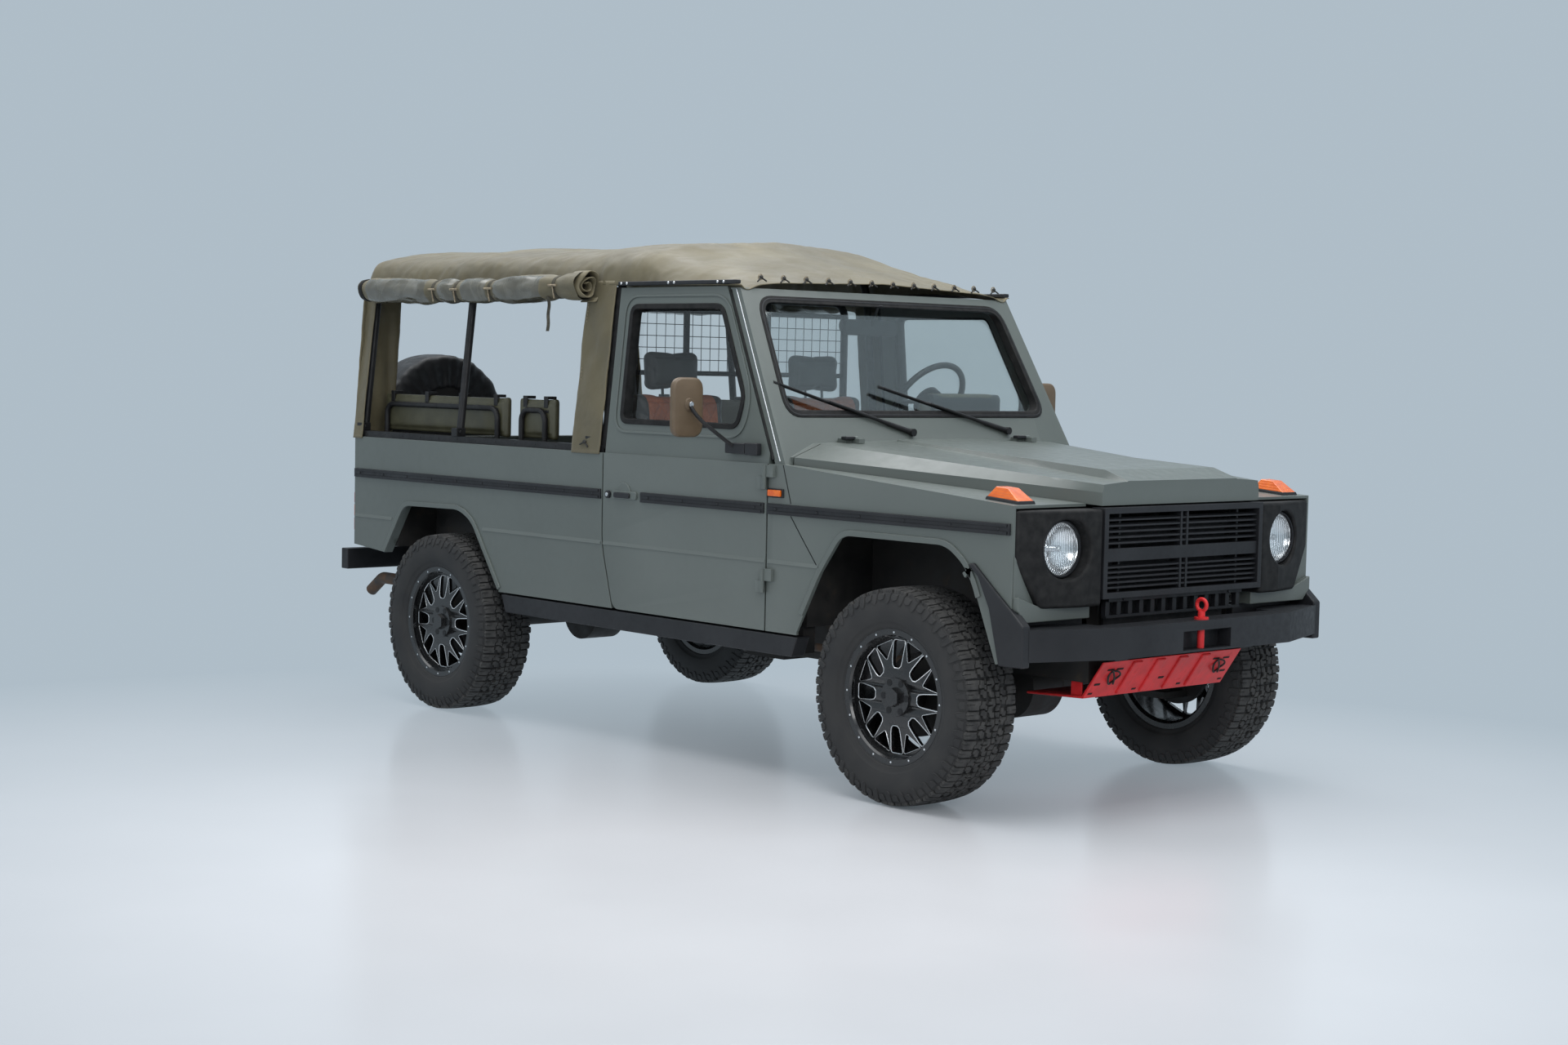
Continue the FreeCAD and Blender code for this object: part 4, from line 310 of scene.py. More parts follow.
# A soft panel of light each: its name, place, aim, size and power
LAMPS = (
    ("ceiling_panel", (0, 0, 5.2), (0, 0, 0), (9, 6), 440),
    ("front_panel", (7.5, -3.5, 3.6), (1, 0, 0.9), (3, 2.4), 130),
    ("side_panel", (-1, -8, 3.2), (0, 0, 1), (6, 2), 60),
)
for name, place, aim, size, power in LAMPS:
    data = bpy.data.lights.new(name, "AREA")
    data.shape = "RECTANGLE"
    data.size, data.size_y = size
    data.energy = power
    panel = placed(name, data)
    panel.location = place
    panel.rotation_euler = (Vector(aim) - Vector(place)).to_track_quat("-Z", "Y").to_euler()
print("floor, world and lamps are in place")

# %% [markdown]
# New pieces are shaped in a bmesh and then become objects. This helper turns one bmesh into a finished object:
# it points the faces outwards, gives it a finish and a place in the car, and adds a bevel where asked.


# %% Piece helpers
def finished(name, shape, finish, bevel=0.0, segments=2, angle=32, body="car", slot="", outward=True, sub=0):
    """A bmesh as an object that rides on a body. The slot argument is not used."""
    if outward:
        bmesh.ops.recalc_face_normals(shape, faces=shape.faces)
    for face in shape.faces:
        face.smooth = True
    mesh = bpy.data.meshes.new(name)
    shape.to_mesh(mesh)
    shape.free()
    mesh.set_sharp_from_angle(angle=math.radians(angle))
    mesh.materials.append(finish.mat)
    piece = placed(name, mesh)
    if bevel:
        rounder = piece.modifiers.new("edges", "BEVEL")
        rounder.width = bevel
        rounder.segments = segments
        rounder.limit_method = "ANGLE"
        rounder.angle_limit = math.radians(angle)
        rounder.harden_normals = True
    if sub:
        finer = piece.modifiers.new("finer", "SUBSURF")
        finer.levels = finer.render_levels = sub
    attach(piece, body)
    return piece


def built(name, finish, *parts, **how):
    """A piece from a list of parts, each a function that adds to a bmesh and its measures."""
    shape = bmesh.new()
    for add, *measures in parts:
        add(shape, *measures)
    return finished(name, shape, finish, **how)


def add_box(shape, low, high, turn=None):
    """A block between two corners, turned about its own middle if asked."""
    middle = (Vector(low) + Vector(high)) / 2
    size = Vector(high) - Vector(low)
    place = Matrix.Translation(middle) @ (turn or Matrix.Identity(4)) @ Matrix.Diagonal((*size, 1))
    bmesh.ops.create_cube(shape, size=1, matrix=place)


def add_rod(shape, start, end, radius, segments=16, end_radius=None):
    """A round bar, or a cone, between two points."""
    start, end = Vector(start), Vector(end)
    run = end - start
    place = Matrix.Translation((start + end) / 2) @ run.to_track_quat("Z", "Y").to_matrix().to_4x4()
    bmesh.ops.create_cone(shape, cap_ends=True, segments=segments, radius1=radius,
                          radius2=radius if end_radius is None else end_radius, depth=run.length, matrix=place)


def add_ball(shape, place, radius, scale=EVEN, segments=12):
    size = Matrix.Diagonal((*scale, 1))
    bmesh.ops.create_uvsphere(shape, u_segments=segments, v_segments=segments // 2, radius=radius,
                              matrix=Matrix.Translation(place) @ size)


def fresh_verts(result):
    """The points among what a bmesh operation has just made."""
    return [item for item in result["geom"] if isinstance(item, bmesh.types.BMVert)]


PLANES = {"X": lambda a, b, c: (c, a, b), "Y": lambda a, b, c: (a, c, b), "Z": lambda a, b, c: (a, b, c)}


def add_slab(shape, outline, axis, low, high):
    """An outline in one plane, pulled out along the third axis: X, Y or Z."""
    face = shape.faces.new([shape.verts.new(PLANES[axis](a, b, low)) for a, b in outline])
    moved = fresh_verts(bmesh.ops.extrude_face_region(shape, geom=[face]))
    bmesh.ops.translate(shape, verts=moved, vec=Vector(PLANES[axis](0, 0, high - low)))


def skin(shape, rows, loop=False):
    """Joins closed rows of points with faces; a loop joins the last row to the first too."""
    for first, second in zip(rows, rows[1:] + (rows[:1] if loop else [])):
        for i in range(len(first)):
            k = (i + 1) % len(first)
            shape.faces.new((first[i], first[k], second[k], second[i]))


def spun(spots, axis, centre, steps, closed=False):
    """A line of points spun into a solid round an axis."""
    shape = bmesh.new()
    marks = [shape.verts.new(spot) for spot in spots]
    pairs = list(zip(marks, marks[1:])) + ([(marks[-1], marks[0])] if closed else [])
    lines = [shape.edges.new(pair) for pair in pairs]
    bmesh.ops.spin(shape, geom=marks + lines, axis=axis, cent=centre, angle=2 * math.pi, steps=steps,
                   use_merge=True)
    bmesh.ops.remove_doubles(shape, verts=shape.verts, dist=1e-6)
    return shape


def curve_of(name, lines, kind="POLY", closed=True, **settings):
    """Lines of points as one curve object, with the curve's settings."""
    curve = bpy.data.curves.new(name, "CURVE")
    for key, value in settings.items():
        setattr(curve, key, value)
    for points in lines:
        spline = curve.splines.new(kind)
        spline.points.add(len(points) - 1)
        for mark, place in zip(spline.points, points):
            mark.co = (*place, 1)
        if kind == "NURBS":
            spline.order_u = 3
            spline.use_endpoint_u = not closed
        spline.use_cyclic_u = closed
    return placed(name, curve)


def add_curve(shape, holder):
    """Adds a curve's surface to a bmesh and takes the curve away."""
    shape.from_mesh(bpy.data.meshes.new_from_object(holder))
    bpy.data.objects.remove(holder)


def tube(name, points, radius, finish, body="car", kind="NURBS", closed=False):
    """A bent bar or wire along points."""
    piece = curve_of(name, [points], kind, closed, dimensions="3D", bevel_depth=radius, bevel_resolution=3,
                     resolution_u=6, use_fill_caps=True)
    piece.data.materials.append(finish.mat)
    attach(piece, body)
    return piece


def joined(name, pieces, finish, slot=""):
    """Several curves as one mesh piece."""
    shape = bmesh.new()
    for piece in pieces:
        add_curve(shape, piece)
    return finished(name, shape, finish, slot=slot)




# %% [markdown]
# The tyres are chunky all-terrain ones. The carcass is a half section spun round the axle. The tread is cut
# into hooked blocks that lock into each other. One pitch of it is drawn flat, as outlines along and across the
# tyre, then repeated, and every point is rolled round the wheel at its own height.

# %% Rubber
rubber = mottled("tyre_rubber", (0.02, 0.0205, 0.0215), 0.78, "tyre", (9, 5),
                 ((0.35, (0.014, 0.0142, 0.015)), (0.7, (0.032, 0.032, 0.032))), (None, 0.66, 0.9),
                 (("noise", (420, 2), 0.18, 0.0006),))
tread_rubber = mottled("tread_rubber", (0.03, 0.03, 0.031), 0.86, "tyre", (30, 5),
                       ((0.3, (0.022, 0.022, 0.0225)), (0.72, (0.062, 0.061, 0.059))), None,
                       (("noise", (260, 3), 0.35, 0.0008),))

# %% Carcass of a tyre
# Distance from the middle of the tyre, then from the axle
CARCASS = (
    (0.0, 0.3785), (0.06, 0.3782), (0.095, 0.3765), (0.113, 0.3735), (0.121, 0.366), (0.1275, 0.349),
    (0.1315, 0.329), (0.1322, 0.309), (0.129, 0.287), (0.1245, 0.2715), (0.1225, 0.268), (0.1205, 0.2665),
    (0.1155, 0.2575), (0.112, 0.2495), (0.1085, 0.2475), (0.1065, 0.2440),
)
WHEEL_STEPS = 96


def carcass():
    chain = [(0, -y, r) for y, r in reversed(CARCASS[1:])] + [(0, y, r) for y, r in CARCASS]
    return spun(chain, (0, 1, 0), (0, 0, 0), WHEEL_STEPS)


# %% [markdown]
# The tread pattern copies the real tyre's order: big shoulder blocks with stepped ends, a row of hooked blocks
# inside each shoulder, and two rows of locking blocks in the middle.

# %% Tread blocks
PITCHES = 34
PITCH = 2 * math.pi * 0.382 / PITCHES
TREAD_BASE = 0.3755
TREAD_TOP = WHEEL_RADIUS - 0.0002
# The left shoulder's blocks are the right one's turned round and shifted by this share of a pitch
TURN_SHIFT = 1.53
# Along the tyre as shares of one pitch, across it in metres
MIDDLE_BLOCKS = (
    ((0.04, -0.004), (0.30, -0.002), (0.30, 0.008), (0.50, 0.010), (0.52, 0.002), (0.62, 0.003), (0.60, 0.026),
     (0.34, 0.030), (0.30, 0.021), (0.12, 0.019), (0.03, 0.012)),
    ((0.56, -0.002), (0.66, -0.010), (0.96, -0.006), (0.98, 0.010), (0.84, 0.013), (0.84, 0.026), (0.68, 0.028),
     (0.68, 0.004), (0.57, 0.004)),
    ((0.36, -0.030), (0.62, -0.033), (0.64, -0.017), (0.54, -0.012), (0.36, -0.008), (0.34, -0.018)),
    ((0.70, -0.031), (0.96, -0.029), (1.00, -0.015), (0.86, -0.011), (0.69, -0.015)),
    ((0.02, -0.028), (0.28, -0.031), (0.29, -0.010), (0.16, -0.008), (0.03, -0.013)),
)
INNER_BLOCKS = (
    ((0.05, 0.036), (0.36, 0.034), (0.38, 0.044), (0.46, 0.046), (0.44, 0.061), (0.22, 0.064), (0.20, 0.054),
     (0.04, 0.050)),
    ((0.44, 0.033), (0.66, 0.032), (0.68, 0.041), (0.88, 0.038), (0.90, 0.056), (0.70, 0.060), (0.70, 0.066),
     (0.53, 0.067), (0.52, 0.043), (0.45, 0.041)),
    ((0.73, 0.032), (0.95, 0.031), (0.96, 0.035), (0.74, 0.037)),
)
SHOULDER_BLOCKS = (
    ((0.04, 0.070), (0.24, 0.068), (0.26, 0.073), (0.40, 0.071), (0.42, 0.118), (0.26, 0.1215), (0.25, 0.096),
     (0.235, 0.096), (0.235, 0.1215), (0.04, 0.118)),
    ((0.48, 0.073), (0.70, 0.070), (0.72, 0.064), (0.92, 0.062), (0.95, 0.114), (0.78, 0.1165), (0.77, 0.092),
     (0.755, 0.092), (0.755, 0.1165), (0.50, 0.113)),
)
# Lugs that run down the sidewall: along in pitches, then height from the axle
SIDE_LUGS = (
    ((0.04, 0.372), (0.42, 0.372), (0.40, 0.343), (0.30, 0.331), (0.16, 0.331), (0.05, 0.343)),
    ((0.50, 0.368), (0.95, 0.368), (0.92, 0.350), (0.74, 0.344), (0.52, 0.350)),
)
LUG_BASE, LUG_TOP = 0.119, 0.1338


def rolled(flat, height_and_side):
    """Rolls a flat pattern round the wheel, each point at the height and side that a rule gives it."""
    for vert in flat.verts:
        turn = vert.co.x / (PITCH * PITCHES) * 2 * math.pi
        radius, y = height_and_side(vert.co)
        vert.co = Vector((radius * math.sin(turn), y, radius * math.cos(turn)))
    return flat


def chamfer(flat, outer, offset):
    """Bevels the edges whose ends both pass a test."""
    edges = [edge for edge in flat.edges if all(outer(v.co) for v in edge.verts)]
    bmesh.ops.bevel(flat, geom=edges, offset=offset, segments=1, affect="EDGES", profile=0.5, material=-1)


def tread():
    flat = bmesh.new()
    blocks = list(MIDDLE_BLOCKS)
    for outline in INNER_BLOCKS + SHOULDER_BLOCKS:
        blocks += [outline, [(TURN_SHIFT - u, -y) for u, y in outline]]
    for outline in blocks:
        add_slab(flat, [(u * PITCH, y) for u, y in outline], "Z", TREAD_BASE, TREAD_TOP)
    chamfer(flat, lambda spot: spot.z > TREAD_BASE + 0.001, 0.0011)
    one = list(flat.verts) + list(flat.edges) + list(flat.faces)
    for number in range(1, PITCHES):
        moved = fresh_verts(bmesh.ops.duplicate(flat, geom=one))
        bmesh.ops.translate(flat, verts=moved, vec=(PITCH * number, 0, 0))
    # The tread lies lower away from the tyre's middle
    return rolled(flat, lambda spot: (spot.z - 0.0062 * (abs(spot.y) / 0.12) ** 3, spot.y))


def side_lugs():
    """Raised lugs on both sidewalls, rolled round the wheel like the tread."""
    flat = bmesh.new()
    for number in range(PITCHES):
        for outline in SIDE_LUGS:
            for way in (-1, 1):
                corners = [((number + (u if way > 0 else TURN_SHIFT - u)) * PITCH, z) for u, z in outline]
                add_slab(flat, corners, "Y", LUG_BASE * way, LUG_TOP * way)
    chamfer(flat, lambda spot: abs(spot.y) > 0.13, 0.0022)
    return rolled(flat, lambda spot: (spot.z, spot.y - math.copysign(max(0.0, spot.z - 0.345) * 0.42, spot.y)))


# %% [markdown]
# The wheels are black alloys. The face is a flat plate with tapered windows and small triangles cut through it,
# which a filled curve with holes makes in one go. Their rims are machined bright, and a ring of small round
# studs sits on the outer flange. The hub has no badge.

# %% Wheel finishes
gloss_black = mottled("wheel_black", (0.0065, 0.0065, 0.007), 0.24, "black_alloy", gloss=((35, 4), 0.16, 0.36),
                      bumps=(("noise", (500, 2), 0.05, 0.0003),), sockets=coat(0.4, 0.12))
milled = mottled("wheel_milled", (0.74, 0.75, 0.76), 0.24, "black_alloy",
                 gloss=((220, 3, (1, 8, 1)), 0.16, 0.4), bumps=(("wave", (700, "X"), 0.12, 0.0002),),
                 sockets={"Metallic": 1.0})
dark_metal = mottled("dark_nuts", (0.02, 0.02, 0.021), 0.3, "black_alloy", gloss=((60, 3), 0.22, 0.42),
                     sockets={"Metallic": 0.6})

# %% Wheel windows
WINDOWS = 8
# Out from the axle, then half width
WINDOW = ((0.203, 0.022), (0.199, 0.0285), (0.188, 0.0295), (0.132, 0.0245), (0.112, 0.0205), (0.103, 0.011))
# Out from the axle, then degrees from the window before
TRIANGLE = ((0.2035, 11.2), (0.2035, 33.8), (0.196, 35.0), (0.141, 24.6), (0.138, 22.5), (0.141, 20.4),
            (0.196, 10.0))
STUDS, STUD_CIRCLE = 16, 0.2315
NUTS, NUT_CIRCLE = 6, 0.0565
FACE_OUTER, FACE_PLACE, FACE_THICK = 0.217, 0.088, 0.016
# Across the rim, then out from the axle
BARREL = ((-0.108, 0.225), (-0.108, 0.2455), (-0.1, 0.2455), (-0.096, 0.229), (0.094, 0.229), (0.098, 0.2455),
          (0.1045, 0.2455), (0.107, 0.243), (0.106, 0.222), (0.098, 0.2165), (0.07, 0.2155), (-0.095, 0.2135))


def circle_line(middle, radius, count=28):
    return [(middle[0] + radius * math.cos(t), middle[1] + radius * math.sin(t)) for t in turns_of(count)]


def window_outlines():
    """The long windows' outlines, then the triangles'."""
    window = list(WINDOW) + [(r, -w) for r, w in reversed(WINDOW)]
    long_ones = [[(r * math.cos(t) - w * math.sin(t), r * math.sin(t) + w * math.cos(t)) for r, w in window]
                 for t in turns_of(WINDOWS)]
    small_ones = [[(r * math.cos(t + math.radians(a)), r * math.sin(t + math.radians(a))) for r, a in TRIANGLE]
                  for t in turns_of(WINDOWS)]
    return long_ones, small_ones


def dish(a, b):
    """How far the wheel's face stands out at one place on it."""
    return FACE_PLACE - 0.016 * max(0.0, (math.hypot(a, b) - 0.09) / 0.127) ** 1.5


# %% Build one wheel, facing out along +Y, about the origin
def wheel_face():
    shape = bmesh.new()
    long_ones, small_ones = window_outlines()
    outlines = [circle_line((0, 0), FACE_OUTER, 96)] + long_ones + small_ones
    add_curve(shape, curve_of("plate", [[(a, b, 0) for a, b in outline] for outline in outlines],
                              dimensions="2D", fill_mode="BOTH", extrude=FACE_THICK / 2))
    bmesh.ops.remove_doubles(shape, verts=shape.verts, dist=1e-5)
    bmesh.ops.rotate(shape, verts=shape.verts, cent=(0, 0, 0), matrix=Matrix.Rotation(math.pi / 2, 3, "X"))
    for vert in shape.verts:
        vert.co.y += dish(vert.co.x, vert.co.z) - FACE_THICK / 2
    # The hub's boss, and a plain cap
    add_rod(shape, (0, 0.055, 0), (0, FACE_PLACE + 0.006, 0), 0.078, 48, 0.068)
    add_rod(shape, (0, 0.06, 0), (0, FACE_PLACE + 0.0235, 0), 0.041, 6, 0.033)
    return shape


def wheel_barrel():
    return spun([(0, y, r) for y, r in BARREL], (0, 1, 0), (0, 0, 0), WHEEL_STEPS, True)


def wheel_bright():
    """The machined edges round the windows, and the studs."""
    shape = bmesh.new()
    for outlines, thick in zip(window_outlines(), (0.0019, 0.0011)):
        for outline in outlines:
            line = [(a, dish(a, b) + 0.0002, b) for a, b in outline]
            add_curve(shape, curve_of("edge", [line], dimensions="3D", bevel_depth=thick, bevel_resolution=1))
    for a, b in circle_line((0, 0), STUD_CIRCLE, STUDS):
        add_rod(shape, (a, 0.099, b), (a, 0.1068, b), 0.0052, 12, 0.0038)
    return shape


def wheel_nuts():
    shape = bmesh.new()
    for a, b in circle_line((0, 0), NUT_CIRCLE, NUTS):
        add_rod(shape, (a, 0.06, b), (a, FACE_PLACE + 0.0072, b), 0.0125, 16)
    return shape


# %% Put the four wheels on
WHEEL_PARTS = (
    (carcass, "tyre", rubber, "tyre", 0), (tread, "tyre", tread_rubber, "tread", 0),
    (side_lugs, "tyre", rubber, "lugs", 0), (wheel_face, "rim", gloss_black, "face", 0.0022),
    (wheel_barrel, "rim", gloss_black, "barrel", 0), (wheel_bright, "rim", milled, "bright", 0),
    (wheel_nuts, "rim", dark_metal, "nuts", 0),
)
for end, axle in (("front", FRONT_AXLE), ("rear", REAR_AXLE)):
    for name, side in SIDES:
        tag = end + "_" + name
        for build, node, finish, label, bevel in WHEEL_PARTS:
            shape = build()
            if side < 0:
                bmesh.ops.rotate(shape, verts=shape.verts, cent=(0, 0, 0),
                                 matrix=Matrix.Rotation(math.pi, 3, "Z"))
            bmesh.ops.translate(shape, verts=shape.verts, vec=(axle, HALF_TRACK * side, WHEEL_RADIUS))
            piece = finished(label + "_" + tag, shape, finish, bevel, body=tag + "_wheel")
            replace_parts(piece, node + "_" + tag)

# %% [markdown]
# The body panels are pressed steel under satin paint. Their measured shapes are right, so each one is copied,
# its loose triangles are merged into flat faces, and a bevel rounds the edges as a press would. The copy
# stands for the measured solid, and moves with the same body.


# %% Softened copies
def softened(node, finish, width=0.004, segments=3):
    source = NODES[node]
    shape = bmesh.new()
    shape.from_mesh(source.data)
    bmesh.ops.remove_doubles(shape, verts=shape.verts, dist=2e-5)
    bmesh.ops.dissolve_limit(shape, angle_limit=math.radians(0.6), verts=shape.verts, edges=shape.edges)
    piece = finished(node + "_shell", shape, finish, width, segments, body=body_of(source)[0])
    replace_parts(piece, node)


def refinished(finish, *nodes):
    """Measured solids whose shape is right keep their mesh and get a better material."""
    for node in nodes:
        NODES[node].data.materials.clear()
        NODES[node].data.materials.append(finish.mat)


# %% [markdown]
# Army paint is matt to satin. Its look comes from a fine orange peel in the bump, a broad drift in colour,
# bare-looking edges where hands and boots rub, and dust that settles towards the sills.

# %% Body paint
PAINT = (0.086, 0.103, 0.096)
RUBBED, DUST = (0.17, 0.19, 0.18), (0.13, 0.12, 0.1)
body_paint = mottled("body_paint", PAINT, 0.4, "body_paint", gloss=((26, 4), 0.34, 0.48),
                     bumps=(("noise", (380, 2), 0.07, 0.0004),), sockets=coat(0.22, 0.3))
drift = body_paint.ramp(body_paint.noise(1.6, 4), ((0.35, shade(PAINT, 0.93)), (0.65, shade(PAINT, 1.06))))
worn = body_paint.math("MULTIPLY", body_paint.edges(0.51, 0.6), 0.25)
low_dust = body_paint.math("MULTIPLY", body_paint.height("Z", 1.05, 0.45), body_paint.noise(14, 5))
clean_paint = body_paint.mix(worn, drift, RUBBED)
body_paint.color(body_paint.mix(body_paint.math("MULTIPLY", low_dust, 0.16), clean_paint, DUST))
for nodes, width in ((("side_panel_right", "side_panel_left", "bonnet"), 0.005),
                     (("wing_right", "wing_left"), 0.003), (("door_right", "door_left"), 0.004),
                     (("windscreen_frame", "rear_door"), 0.006)):
    for node in nodes:
        softened(node, body_paint, width)
print("painted panels done")

# %% [markdown]
# Black parts come in three finishes: a grained plastic, a satin powder coat on steel, and rubber. Each one has
# its own grain size, which is what tells them apart in a close view.

# %% Black finishes
plastic = mottled("black_plastic", (0.013, 0.014, 0.0165), 0.5, "black_plastic", (5, 5),
                  ((0.3, (0.0105, 0.0112, 0.0135)), (0.7, (0.0175, 0.0185, 0.0215))), ((40, 3), 0.4, 0.58),
                  (("cells", (900,), 0.12, 0.0004),), {"Specular IOR Level": 0.36})
coated = mottled("powder_coat", (0.012, 0.0122, 0.0132), 0.42, "black_steel", (12, 4),
                 ((0.3, (0.0095, 0.0096, 0.0105)), (0.72, (0.021, 0.021, 0.0225))), ((60, 3), 0.34, 0.55),
                 (("noise", (700, 2), 0.14, 0.0003),), {"Specular IOR Level": 0.3})
seal = mottled("seal_rubber", (0.011, 0.011, 0.0115), 0.62, "black_plastic", (30, 4),
               ((0.35, (0.008, 0.008, 0.0085)), (0.75, (0.02, 0.02, 0.02))), None,
               (("noise", (300, 2), 0.1, 0.0004),), {"Specular IOR Level": 0.2})
grimy = mottled("chassis_black", (0.016, 0.0155, 0.015), 0.7, "", (16, 6),
                ((0.35, (0.011, 0.011, 0.0112)), (0.62, (0.02, 0.0185, 0.017)), (0.8, (0.05, 0.037, 0.027))),
                (None, 0.55, 0.85), (("noise", (120, 4), 0.3, 0.0008),))
iron = mottled("rusty_iron", (0.07, 0.05, 0.04), 0.72, "", (24, 6),
               ((0.3, (0.045, 0.04, 0.037)), (0.55, (0.1, 0.065, 0.045)), (0.78, (0.16, 0.09, 0.055))),
               (None, 0.5, 0.85), (("noise", (160, 4), 0.35, 0.0007),), {"Metallic": 0.45})
refinished(grimy, "chassis_frame", "springs", "front_axle", "rear_axle", "driveline", "knuckle_right",
           "knuckle_left", "cab_floor", "load_bed", "inner_wings", "engine_block")
refinished(iron, "exhaust_pipe")
refinished(coated, "cab_divider", "bench_frames", "bench_hoop_right", "bench_hoop_left", "canopy_frame")
refinished(seal, "load_mat")
refinished(plastic, "steering_wheel")
for node, width in (("rear_bumper", 0.006), ("front_bumper", 0.012), ("sills", 0.006), ("dashboard", 0.014)):
    softened(node, plastic, width)
softened("headlamp_surrounds", seal, 0.013)
print("black parts done")

# %% [markdown]
# Pressed panels have small raised features that carry the light: a waistline crease, a rolled lip round each
# wheel arch, and black rub strips held by screws. A band is an outline with a width, pulled out sideways. It
# follows the panel's face and stands a few millimetres proud of it.


# %% Outlines
def box_line(left, right, low, high):
    return [(left, low), (right, low), (right, high), (left, high)]


def soft_corners(points, radius, steps=6, closed=True):
    """An outline with its corners rounded; an open one keeps its ends."""
    result = []
    for i, point in enumerate(points):
        if not closed and i in (0, len(points) - 1):
            result.append(point)
            continue
        here = Vector(point)
        start = here + (Vector(points[i - 1]) - here).normalized() * radius
        end = here + (Vector(points[(i + 1) % len(points)]) - here).normalized() * radius
        for share in (k / steps for k in range(steps + 1)):
            result.append(tuple(start * (1 - share) ** 2 + here * 2 * share * (1 - share) + end * share ** 2))
    return result


def grown(points, reach):
    """A closed outline moved outwards all round; its points run counter-clockwise."""
    result = []
    for i, point in enumerate(points):
        before = Vector(point) - Vector(points[i - 1])
        after = Vector(points[(i + 1) % len(points)]) - Vector(point)
        first = Vector((before.y, -before.x)).normalized()
        second = Vector((after.y, -after.x)).normalized()
        result.append(tuple(Vector(point) + (first + second) / (1 + first.dot(second)) * reach))
    return result


def add_frame(shape, outer, inner, axis, low, high):
    """A ring between two outlines with equally many points, pulled out along an axis."""
    skin(shape, [[shape.verts.new(PLANES[axis](a, b, depth)) for a, b in line]
                 for line, depth in ((outer, low), (inner, low), (inner, high), (outer, high))], True)


def add_band(shape, points, inner, outer, low, high):
    """A band that follows a line on the car's side, from one distance beside it to another."""
    sides = []
    for i in range(len(points)):
        before, after = points[max(i - 1, 0)], points[min(i + 1, len(points) - 1)]
        run = Vector((after[0] - before[0], after[1] - before[1])).normalized()
        sides.append((-run.y, run.x))
    rows = []
    for (a, b), (across, up) in zip(points, sides):
        rows.append([shape.verts.new((a + across * reach, y, b + up * reach))
                     for reach, y in ((inner, low), (outer, low), (outer, high), (inner, high))])
    skin(shape, rows)
    shape.faces.new(rows[0])
    shape.faces.new(rows[-1])


def arch_line(axle, shares):
    return [(axle + WHEEL_RADIUS * x, WHEEL_RADIUS + WHEEL_RADIUS * z) for x, z in shares]


# %% Arch lips and waist crease
FRONT_ARCH = arch_line(FRONT_AXLE, ((-1.31, 0.62), (-1.07, 1.05), (-0.79, 1.42), (0.55, 1.42), (0.77, 1.27),
                                    (0.87, 1.13), (0.93, 0.98)))
REAR_ARCH = arch_line(REAR_AXLE, ((-1.256, 0.695), (-0.85, 1.272), (0.264, 1.29), (0.513, 1.174),
                                  (1.038, 0.446)))
CREASE = 0.815
CREASES = (("tail", -2.016, -1.70), ("quarter", -0.985, -0.15), ("door", -0.134, 0.856), ("wing", 0.872, 1.15))


def owner(label, name):
    """The body that a strip or crease rides on."""
    return name + "_door" if label == "door" else "car"


for name, side in SIDES:
    for label, arch in (("front", FRONT_ARCH), ("rear", REAR_ARCH)):
        built(label + "_arch_lip_" + name, body_paint,
              (add_band, soft_corners(arch, 0.045, 6, False), -0.001, 0.021,
               *sided(side, SIDE - 0.004, SIDE + 0.007)), bevel=0.003)
    for label, start, end in CREASES:
        # A low ridge with a soft upper slope and a sharper lower edge
        shape = bmesh.new()
        add_slab(shape, box_line(start, end, CREASE - 0.003, CREASE + 0.012), "Y",
                 *sided(side, SIDE - 0.003, SIDE + 0.0028))
        top = [v for v in shape.verts if v.co.z > CREASE and abs(v.co.y) > SIDE]
        bmesh.ops.translate(shape, verts=top, vec=(0, -0.0026 * side, 0))
        finished(label + "_crease_" + name, shape, body_paint, body=owner(label, name))
print("arch lips and creases done")

# %% [markdown]
# The rub strips are black plastic channels, screwed on every few hand-widths. Each is a bar with two long
# ridges, and its screws are small domes repeated along it.

# %% Rub strips
STRIP_LOW, STRIP_HIGH = 0.997, 1.037
STRIP_FACE = SIDE + 0.007
STRIPS = (("tail", -2.014, -0.15), ("door", 0.108, 0.848), ("wing", 0.868, 2.096))
SCREW_GAP = 0.19
for name, side in SIDES:
    for label, start, end in STRIPS:
        shape = bmesh.new()
        outline = box_line(start, end, STRIP_LOW, STRIP_HIGH)
        add_slab(shape, outline, "Y", *sided(side, SIDE - 0.002, STRIP_FACE))
        bmesh.ops.bevel(shape, geom=shape.edges[:], offset=0.002, segments=2, affect="EDGES", profile=0.5,
                        material=-1)
        low, high = sided(side, STRIP_FACE, STRIP_FACE + 0.004)
        for z in (STRIP_LOW + 0.007, STRIP_HIGH - 0.007):
            add_box(shape, (start + 0.01, low, z - 0.005), (end - 0.01, high, z + 0.005))
        count = max(2, round((end - start) / SCREW_GAP))
        for k in range(count):
            x = start + 0.05 + (end - start - 0.1) * k / (count - 1)
            spot = (x, (STRIP_FACE + 0.0005) * side, (STRIP_LOW + STRIP_HIGH) / 2)
            add_ball(shape, spot, 0.006, (1, 0.45, 1), 10)
        finished("rub_strip_" + label + "_" + name, shape, plastic, 0.0012, body=owner(label, name))
print("rub strips done")

# %% [markdown]
# A black plastic flare closes the front of each front arch and runs down to the bumper's end, where it becomes
# a corner panel. It is one outline, pulled out to a shallow box that stands proud of the wing. Behind it, the
# nose is painted below the lamp surround and beside its cut edge.

